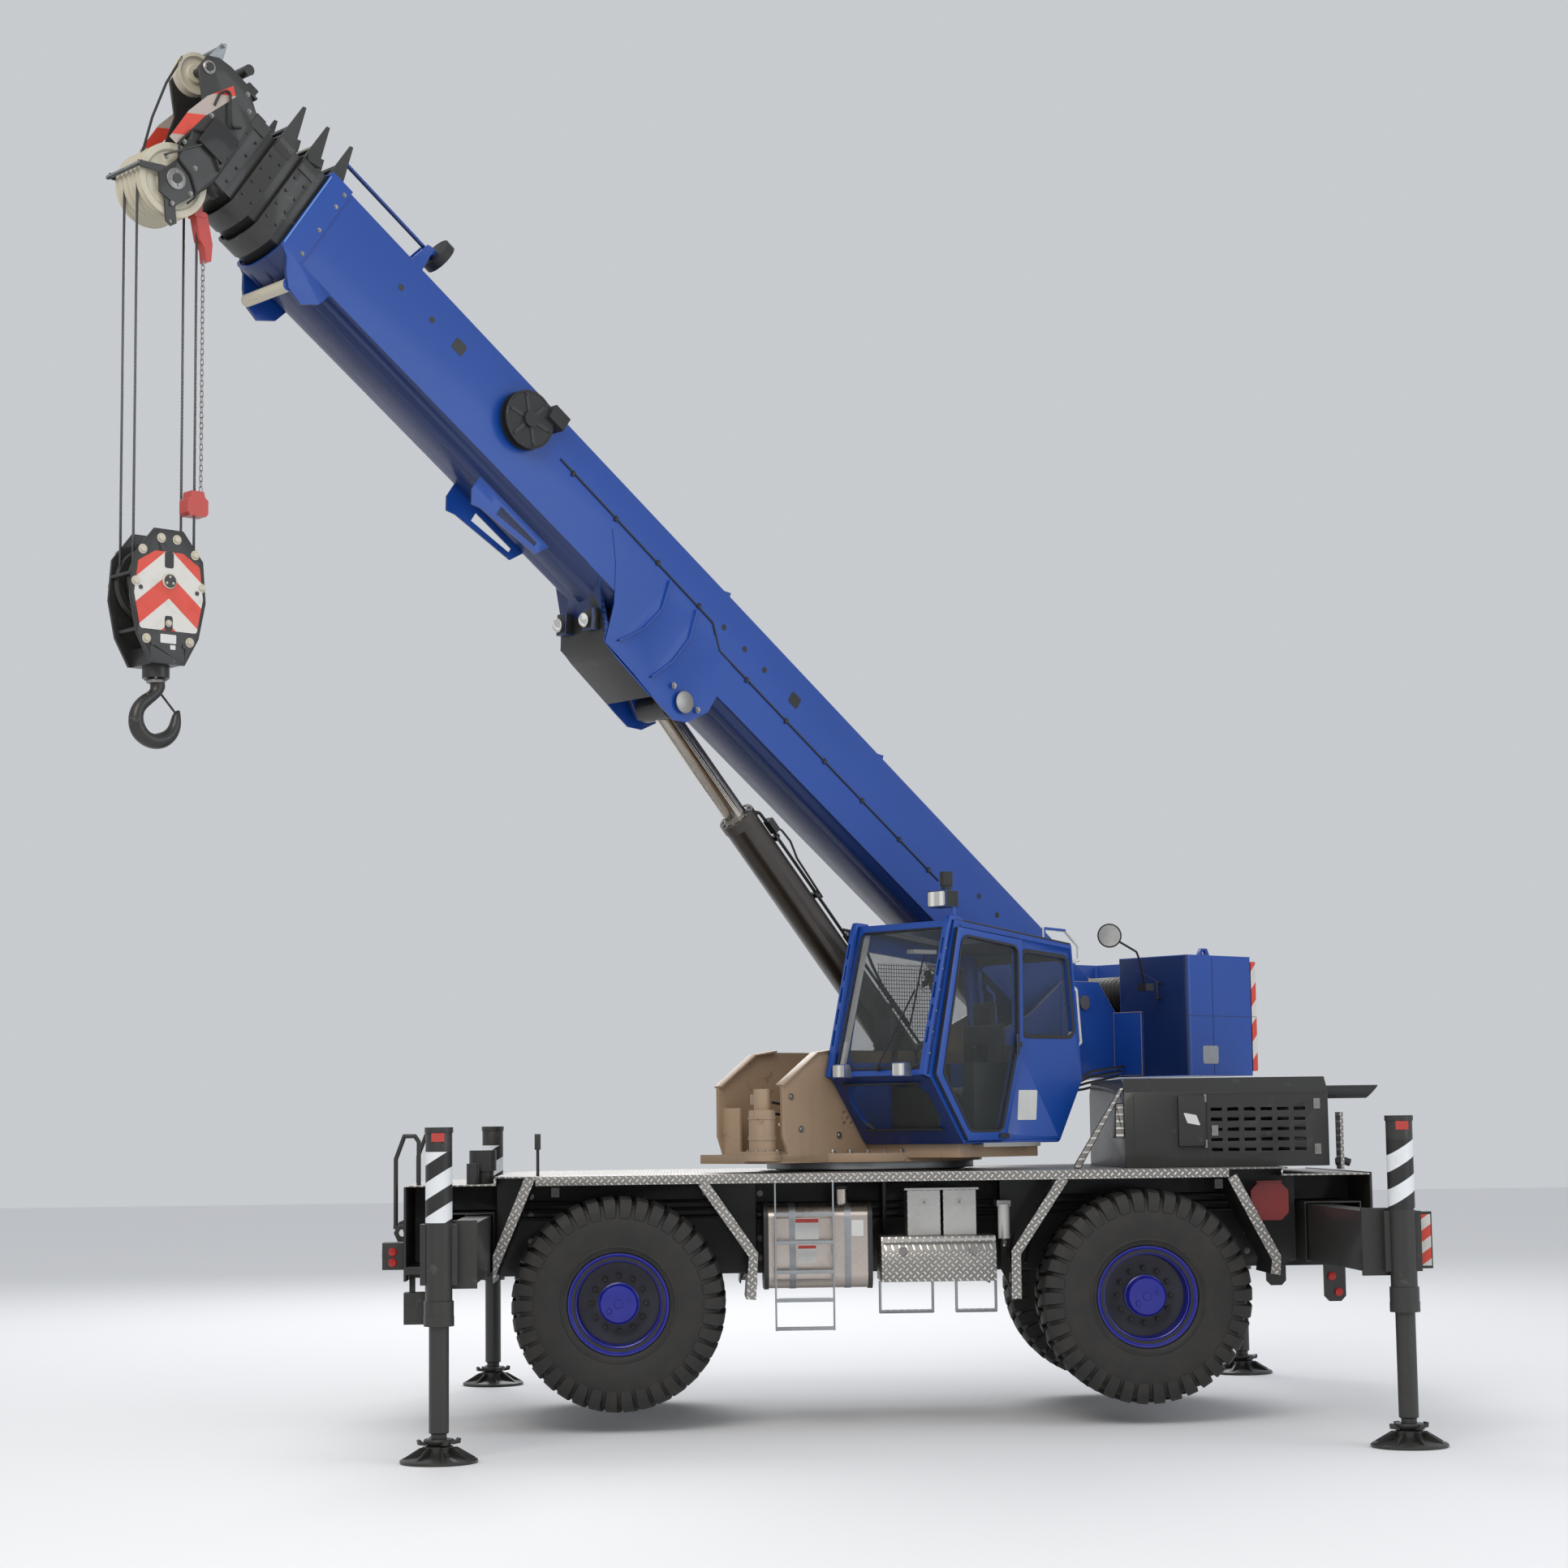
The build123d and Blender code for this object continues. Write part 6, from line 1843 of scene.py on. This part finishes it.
    def rails(self):
        slots = Form(TURNED)
        for y in (1.4985, 0.4125):
            for k in range(6):
                t = 0.12 + 0.145 * k
                x = 0.835 + (0.565 - 0.835) * t
                z = 2.68 + 1.1 * t
                slots.bolt(
                    (x - 0.01, y if y > 1 else y - 0.003, z), (0, 1 if y > 1 else -1, 0), 0.007,
                    0.004)
        slots.piece("guard_bolts", "superstructure", "bolt", "cab_blue")


# Superstructure

class CRANE_OT_superstructure(bpy.types.Operator):
    """Turntable, slew drive, counterweight, winches and mirror"""

    bl_idname = "crane.superstructure"
    bl_label = "Superstructure"

    def execute(self, context):
        body = "superstructure"
        upper = (("boom_blue", lambda p, n: p.z > 2.9 and p.x < -0.6), )
        dressed("turntable", "turntable_body", "sand", TURNED, 0.004, upper)
        dressed("slew_drive", "slew_drive_body", "sand", TURNED, 0.003)
        dressed("slew_ring", "slew_ring_body", "galvanised", CARRIER, 0.002)
        # The counterweight's front face is painted navy as painted shade; its lit sides keep the
        # machine blue
        dressed("counterweight", "counterweight_body", "boom_blue", TURNED, 0.008,
                (("trim", lambda p, n: p.x > -2.555 and p.z > 3.2), ("navy", lambda p, n: n.x > 0.6
                and p.x > -2.6)))
        dressed("winches", "winches_body", "sand", TURNED, 0.003,
                (("hose", lambda p, n: abs(p.y) < 0.30 and self.near_drum(p, DRUM_R, 0.162)),))
        for node in ("boom_pin", "luff_pin"):
            repaint(node, "bolt")
        ring = Form(Matrix.Identity(4)).bolt(ORIGIN, Z, 0.018, 0.022)
        repeated(
            ring, "slew_ring_bolts", body, "bolt", "galvanised",
            TURNED @ Matrix.Translation((0, 0, 2.0605)), Count=40, Radius=0.865)
        # Rope wound on the drums
        for k, z in enumerate(DRUM_Z):
            wraps = Form(TURNED)
            n = 22
            profile = []
            for i in range(n):
                y = -0.3 + 0.6 * i / n
                profile += [(DRUM_R, y), (DRUM_R + 0.0035, y + 0.3 / n), (DRUM_R, y + 0.59 / n)]
            wraps.lathe([(0.14, 0.3), (0.14, -0.3)] + profile, (DRUM_X, 0, z), Y, 56)
            wraps.piece("winch_rope_%d" % k, body, "hose", "rope_steel", 60)
        rear = Form(TURNED)
        for y0, y1 in ((1.0, 1.197), (-1.197, -1.0)):
            rear.box(-3.4525, -3.4505, y0, y1, 2.69, 3.62, 0)
        rear.piece("rear_stripes", body, "rear_stripes", "boom_blue")
        rear_side = Form(TURNED)
        for y0, y1 in ((1.2003, 1.2018), (-1.2018, -1.2003)):
            rear_side.box(-3.447, -3.385, y0, y1, 2.69, 3.62, 0)
        rear_side.piece("rear_side_stripes", body, "side_stripes", "boom_blue")
        plates = Form(TURNED)
        plates.label(-2.93, -2.73, 2.75, 2.9, 1.2003, 1.2025, 0.02)
        plates.piece("counterweight_label", body, "galvanised", "galvanised")
        seams = Form(TURNED)
        seams.box(-3.445, -2.565, 1.2003, 1.202, 3.148, 3.152, 0)
        seams.box(-2.878, -2.874, 1.2003, 1.202, 2.66, 3.65, 0)
        seams.mirror()
        seams.piece("counterweight_seams", body, "navy", "boom_blue")
        mirror = Form(TURNED)
        mirror.tube(
            [
                (-2.30, 0.95, 3.40), (-2.10, 1.08, 3.60), (-2.038, 1.1, 3.672), (-1.80, 1.1, 3.76),
                (-1.735, 1.1, 3.79)],
            0.009, 10, 0.05)
        mirror.lathe(
            [(0, -0.03), (0.05, -0.026), (0.095, -0.006), (0.1, 0.004), (0.094, 0.008), (0, 0.008)],
            MIRROR_AT, MIRROR_FACES, 36)
        mirror.box(-2.36, -2.26, 0.90, 1.0, 3.36, 3.42, 0.004)
        mirror.piece("round_mirror", body, "trim", "cab_trim")
        face = Form(TURNED)
        face.lathe(
            [(0, 0.0082), (0.088, 0.0082), (0.088, 0.0095), (0, 0.0095)], MIRROR_AT, MIRROR_FACES,
            36)
        face.piece("round_mirror_face", body, "mirror", "chrome_rod")
        lines = Form(TURNED)
        for k in range(4):
            y = 0.42 + 0.035 * k
            lines.tube(
                [
                    (-1.35, y, 2.25 + 0.03 * k), (-1.6, y, 2.5), (-2.1, y, 2.55 + 0.05 * k),
                    (-2.5, y, 2.62 + 0.04 * k)],
                0.011, 8, 0.12)
        lines.tube(
            [(0.95, 0.36, 2.12), (1.05, 0.33, 2.3), (1.18, 0.3, 2.44), (1.3, 0.28, 2.46)], 0.012, 8,
            0.08)
        lines.tube(
            [(0.9, 0.3, 2.12), (1.0, 0.28, 2.25), (1.14, 0.25, 2.36), (1.3, 0.24, 2.38)], 0.012, 8,
            0.08)
        lines.piece("superstructure_hoses", body, "hose", "charcoal")
        bolts = Form(TURNED)
        for x, z in (
            (0.35, 2.5), (0.05, 2.2), (0.7, 2.2), (1.1, 2.25), (1.2, 2.5), (-0.3, 2.6), (-0.6, 2.7)
        ):
            bolts.bolt((x, 0.3905, z), Y, 0.018, 0.012)
        bolts.mirror()
        bolts.bolt_ring((1.4, 0.275, 2.0855), Z, 0.118, 8, 0.01, 0.01, 22)
        bolts.piece("turntable_bolts", body, "bolt", "sand")
        return {"FINISHED"}

    def near_drum(self, p, low, high):
        """True on the wraps of either winch drum."""
        return any(low < math.hypot(p.x - DRUM_X, p.z - z) < high for z in DRUM_Z)


# Carrier

class CRANE_OT_carrier(bpy.types.Operator):
    """Frame, deck, mudguard strips, boxes, tank, ladder, hood and end fittings"""

    bl_idname = "crane.carrier"
    bl_label = "Carrier"

    def execute(self, context):
        self.frame_and_deck()
        self.guards()
        self.boxes()
        self.tank()
        self.ladder()
        self.hood()
        self.ends()
        return {"FINISHED"}

    def frame_and_deck(self):
        dressed("carrier_frame", "carrier_frame_body", "frame_dark", CARRIER, 0.005,
                (("charcoal", lambda p, n: p.x > 2.9 or p.x < -3.2),))
        dressed("deck", "deck_plates", "tread_deck", CARRIER, 0.002,
                (("tread_side", lambda p, n: abs(n.y) > 0.7), ("tread_end", lambda p,
                n: abs(n.x) > 0.7)))
        for node in ("front_axle", "rear_axle"):
            dressed(node, node + "_body", "frame_dark", CARRIER, 0.006)
        under = Form(CARRIER)
        for x in (-2.95, -1.1, -0.4, 0.9, 2.7):
            for y in (0.431, -0.431):
                for z in (1.25, 1.4, 1.6, 1.75):
                    under.bolt((x, y, z), (0, 1 if y > 0 else -1, 0), 0.016, 0.012)
        under.piece("frame_bolts", "carrier", "bolt", "frame_dark")
        lines = Form(CARRIER)
        for k in range(3):
            z = 1.7 - 0.06 * k
            lines.tube(
                [
                    (-2.9, 0.47, z), (-1.1, 0.47, z), (-0.98, 0.52, z - 0.03),
                    (0.95, 0.52, z - 0.03), (1.1, 0.47, z), (2.8, 0.47, z)],
                0.013, 8, 0.1)
        lines.tube(
            [(-1.05, 0.7, 1.78), (-1.12, 0.8, 1.6), (-1.0, 0.9, 1.3), (-1.06, 0.8, 1.1)], 0.014, 8,
            0.1)
        lines.tube([(-1.18, 0.74, 1.8), (-1.24, 0.8, 1.55), (-1.14, 0.86, 1.2)], 0.012, 8, 0.1)
        lines.tube([(1.0, 0.8, 1.8), (0.98, 0.86, 1.6), (1.0, 0.84, 1.35)], 0.012, 8, 0.1)
        lines.piece("frame_hoses", "carrier", "hose", "charcoal")

    def guards(self):
        dressed("mudguards", "mudguards_body", "charcoal", CARRIER, 0.0,
                (("tread_side", lambda p, n: p.y > 1.4405 or p.y < -1.4405),
                 ("tread_end", lambda p, n: abs(p.y) > 1.43 and abs(n.y) < 0.4)))
        brackets = Form(CARRIER)
        for x, z in (
            (2.47, 1.80), (1.33, 1.80), (-1.33, 1.80), (-2.56, 1.80), (0.985, 1.12), (-0.985, 1.12)
        ):
            brackets.box(x - 0.03, x + 0.03, 1.40, 1.4415, z - 0.035, z + 0.035, 0.004)
            brackets.bolt((x, 1.4415, z), Y, 0.012, 0.006)
        brackets.mirror()
        brackets.piece("guard_brackets", "carrier", "charcoal", "charcoal")

    def boxes(self):
        dressed("toolboxes", "toolboxes_body", "tread_side", CARRIER, 0.004, (
            ("galvanised", lambda p, n: p.z < 1.085),
            ("white", lambda p, n: abs(p.x + 0.95) < 0.05 and 1.39 < p.z < 1.67),
            ("aluminium", lambda p, n: p.z > 1.435),
            ("tread_deck", lambda p, n: n.z > 0.35),
            ("tread_end", lambda p, n: abs(n.x) > 0.7),
        ))
        trim = Form(CARRIER)
        for x0, x1 in ((-0.74, -0.485), (-0.465, -0.21)):
            trim.box(x0 + 0.03, x1 - 0.03, 1.1202, 1.1245, 1.47, 1.66, 0.001)
            trim.box(x0 + 0.1, x1 - 0.1, 1.1202, 1.134, 1.665, 1.70, 0.003)
        trim.box(-0.865, 0.0, 1.3102, 1.3135, 1.395, 1.415, 0.001)
        trim.piece("box_trim", "carrier", "aluminium", "tread_plate")
        latch = Form(CARRIER)
        for x in (-0.7, -0.16):
            latch.box(x - 0.03, x + 0.03, 1.3102, 1.318, 1.30, 1.35, 0.002)
            latch.box(x - 0.012, x + 0.012, 1.316, 1.324, 1.29, 1.345, 0.002)
        for x in (-0.61, -0.34):
            latch.lathe([(0, 0), (0.012, 0), (0.012, 0.006), (0, 0.006)], (x, 1.134, 1.682), Y, 16)
        latch.piece("box_latches", "carrier", "bolt", "galvanised")

    def tank(self):
        dressed("fuel_tank", "fuel_tank_body", "tank", CARRIER, 0.0,
                (("charcoal", lambda p, n: p.x < 0.11 and abs(p.x - 0.09) < 0.021), ("charcoal",
                lambda p, n: abs(p.x - 0.88) < 0.021), ("soot", lambda p, n: p.z > 1.785)))
        bands = Form(CARRIER)
        for x in (0.26, 0.68):
            outline = rounded(
                [(0.7565, 1.0465), (1.3035, 1.0465), (1.3035, 1.6835), (0.7565, 1.6835)], 0.113, 8)
            inner = rounded(
                [(0.7605, 1.0505), (1.2995, 1.0505), (1.2995, 1.6795), (0.7605, 1.6795)], 0.11, 8)
            n = len(outline)
            verts = []
            for loop, at in (
                (outline, x - 0.025), (outline, x + 0.025), (inner, x + 0.025), (inner, x - 0.025)):
                verts += [(at, p[0], p[1]) for p in loop]
            faces = [
                (
                    k * n + i, k * n + (i + 1) % n, ((k + 1) % 4) * n + (i + 1) % n,
                    ((k + 1) % 4) * n + i)
                for k in range(4) for i in range(n)]
            bands._put(verts, faces)
        bands.piece("tank_bands", "carrier", "galvanised", "galvanised")
        signs = Form(CARRIER)
        signs.label(0.14, 0.23, 1.44, 1.56, 1.3002, 1.302, 0.008)
        signs.label(0.48, 0.66, 1.42, 1.58, 1.3037, 1.3052, 0.008)
        signs.label(0.50, 0.64, 1.24, 1.38, 1.3037, 1.3052, 0.008)
        signs.piece("tank_labels", "carrier", "white", "tank_steel")
        heads = Form(CARRIER)
        heads.box(0.482, 0.658, 1.3053, 1.306, 1.545, 1.575, 0)
        heads.box(0.502, 0.638, 1.3053, 1.306, 1.35, 1.375, 0)
        heads.piece("tank_label_heads", "carrier", "red", "tank_steel")

    def ladder(self):
        dressed("ladder", "ladder_body", "galvanised", CARRIER, 0.002)
        for k, z in enumerate((0.97, 1.18, 1.40, 1.61)):
            tooth = Form(Matrix.Identity(4))
            tooth.prism([(-0.006, 0), (0.006, 0), (0.0, 0.008)], -0.027, 0.027, "y", 0)
            place = CARRIER @ Matrix.Translation((0.595, 1.42, z + 0.012))
            repeated(tooth, "ladder_teeth_%d" % k, "carrier", "galvanised", "galvanised", place, 35,
                     Columns=24, Rows=1, Column_step=0.0165, Row_step=0.02)

    def hood(self):
        dressed("engine_hood", "engine_hood_body", "charcoal", CARRIER, 0.006,
                (("tread_end", lambda p, n: p.x > -1.935 and p.z < 2.6 and p.y > 0.955),))
        dressed("engine_block", "engine_block_body", "engine", CARRIER, 0.01)
        dressed("exhaust", "exhaust_body", "soot", CARRIER, 0.002)
        seams = Form(CARRIER)
        for x in (-2.56, -1.99):
            seams.box(x - 0.002, x + 0.002, 1.0002, 1.0018, 1.93, 2.49, 0)
        seams.box(-3.505, -2.56, 1.0002, 1.0018, 2.478, 2.482, 0)
        seams.mirror()
        seams.piece("hood_seams", "carrier", "soot", "charcoal")
        handles = Form(CARRIER)
        for x, z in ((-2.62, 2.2), (-3.42, 2.05), (-3.42, 2.4)):
            handles.box(x - 0.025, x + 0.025, 1.0002, 1.008, z - 0.04, z + 0.04, 0.003)
            handles.lathe([(0, 0), (0.014, 0), (0.014, 0.006), (0, 0.006)], (x, 1.008, z), Y, 16)
        for z in (2.1, 2.45):
            handles.box(-2.555, -2.535, 1.001, 1.03, z - 0.03, z + 0.03, 0.003)
        handles.mirror()
        handles.piece("hood_latches", "carrier", "bolt", "charcoal")
        paper = Form(CARRIER)
        paper.prism(
            rounded([(-2.50, 2.24), (-2.40, 2.26), (-2.37, 2.34), (-2.47, 2.32)], 0.006), 1.0502,
            1.052, "y", 0)
        paper.piece("hood_label", "carrier", "white", "galvanised")
        strip = Form(CARRIER)
        strip.box(-3.60, -3.575, 0.94, 1.11, 1.892, 2.33, 0.004)
        strip.piece("rear_tread_strip", "carrier", "tread_side", "tread_plate")
        pipe = Form(CARRIER)
        pipe.tube([(-3.55, 1.03, 1.95), (-3.62, 1.03, 1.954), (-3.66, 1.03, 1.94)], 0.03, 16)
        pipe.piece("rear_pipe", "carrier", "soot", "charcoal")

    def ends(self):
        dressed("front_fittings", "front_fittings_body", "charcoal", CARRIER, 0.003,
                (("red_lens", lambda p, n: n.x > 0.7 and p.x > 3.79 and 0.93 < abs(p.y) < 1.07),))
        box = Form(CARRIER)
        outline = [
            (-2.90, 1.511), (-3.08, 1.511), (-3.137, 1.57), (-3.137, 1.74), (-3.08, 1.799),
            (-2.90, 1.799), (-2.845, 1.74), (-2.845, 1.57)]
        box.prism(outline, 1.12, 1.2, "y", 0.008)
        box.mirror()
        box.piece("rear_octagon_box", "carrier", "dull_red", "charcoal")
        lid = Form(CARRIER)
        lid.prism(
            [(x * 0.985 - 0.045, z * 0.985 + 0.025) for x, z in outline], 1.2, 1.214, "y", 0.004)
        lid.box(-3.09, -2.89, 1.13, 1.205, 1.799, 1.812, 0.003)
        lid.mirror()
        lid.piece("rear_octagon_lid", "carrier", "dull_red", "charcoal")
        mounts = Form(CARRIER)
        mounts.box(-3.1, -2.9, 1.03, 1.12, 1.6, 1.72, 0.004)
        mounts.mirror()
        mounts.piece("rear_octagon_mounts", "carrier", "frame_dark", "charcoal")
        hang = Form(CARRIER)
        hang.prism(
            [
                (-3.401, 1.19), (-3.401, 0.93), (-3.44, 0.89), (-3.53, 0.89), (-3.568, 0.93),
                (-3.568, 1.19)],
            1.14, 1.165, "y", 0.003)
        hang.mirror()
        hang.piece("rear_hanging_brackets", "carrier", "charcoal", "charcoal")
        lens = Form(CARRIER)
        for x, z in ((-3.46, 1.08), (-3.51, 0.96)):
            lens.lathe(
                [(0, 0), (0.03, 0), (0.034, 0.006), (0.026, 0.014), (0, 0.016)], (x, 1.165, z), Y,
                24)
        for z in (1.28, 1.36):
            lens.lathe(
                [(0, 0), (0.03, 0), (0.034, 0.006), (0.026, 0.014), (0, 0.016)], (3.72, 1.111, z),
                Y, 24)
        lens.mirror()
        lens.piece("side_lamps", "carrier", "red_lens", "charcoal")
        front = Form(CARRIER)
        for y in (0.99, -0.99):
            front.lathe(
                [(0, 0), (0.045, 0), (0.05, 0.006), (0.04, 0.014), (0, 0.017)], (3.8002, y, 1.33),
                X, 28)
        front.piece("front_lamps", "carrier", "lens", "chrome_rod")


# Panel and registration

GROUPS = (
    "stage", "wheels", "outriggers", "boom", "hoist", "cylinder", "cab", "superstructure", "carrier"
)


class CRANE_PT_dressing(bpy.types.Panel):
    """Lists the piece groups with their sizes and colours"""

    bl_idname = "CRANE_PT_dressing"
    bl_label = "Crane Dressing"
    bl_space_type = "VIEW_3D"
    bl_region_type = "UI"
    bl_category = "Crane"

    def draw(self, context):
        column = self.layout.column(align=True)
        for name in GROUPS:
            column.operator("crane." + name)
        for group in (context.scene.crane_sizes, context.scene.crane_paint):
            box = self.layout.box()
            for label in group.bl_rna.properties.keys():
                if label not in ("rna_type", "name"):
                    box.prop(group, label)


CLASSES = (
    CraneSizes, CranePaint, CRANE_OT_stage, CRANE_OT_wheels, CRANE_OT_outriggers, CRANE_OT_boom,
    CRANE_OT_hoist,
    CRANE_OT_cylinder, CRANE_OT_cab, CRANE_OT_superstructure, CRANE_OT_carrier, CRANE_PT_dressing,
)


def register():
    for item in CLASSES:
        bpy.utils.register_class(item)
    bpy.types.Scene.crane_sizes = bpy.props.PointerProperty(type=CraneSizes)
    bpy.types.Scene.crane_paint = bpy.props.PointerProperty(type=CranePaint)


def unregister():
    del bpy.types.Scene.crane_paint
    del bpy.types.Scene.crane_sizes
    for item in reversed(CLASSES):
        bpy.utils.unregister_class(item)


def main():
    register()
    for name in GROUPS:
        getattr(bpy.ops.crane, name)()


if __name__ == "__main__":
    main()
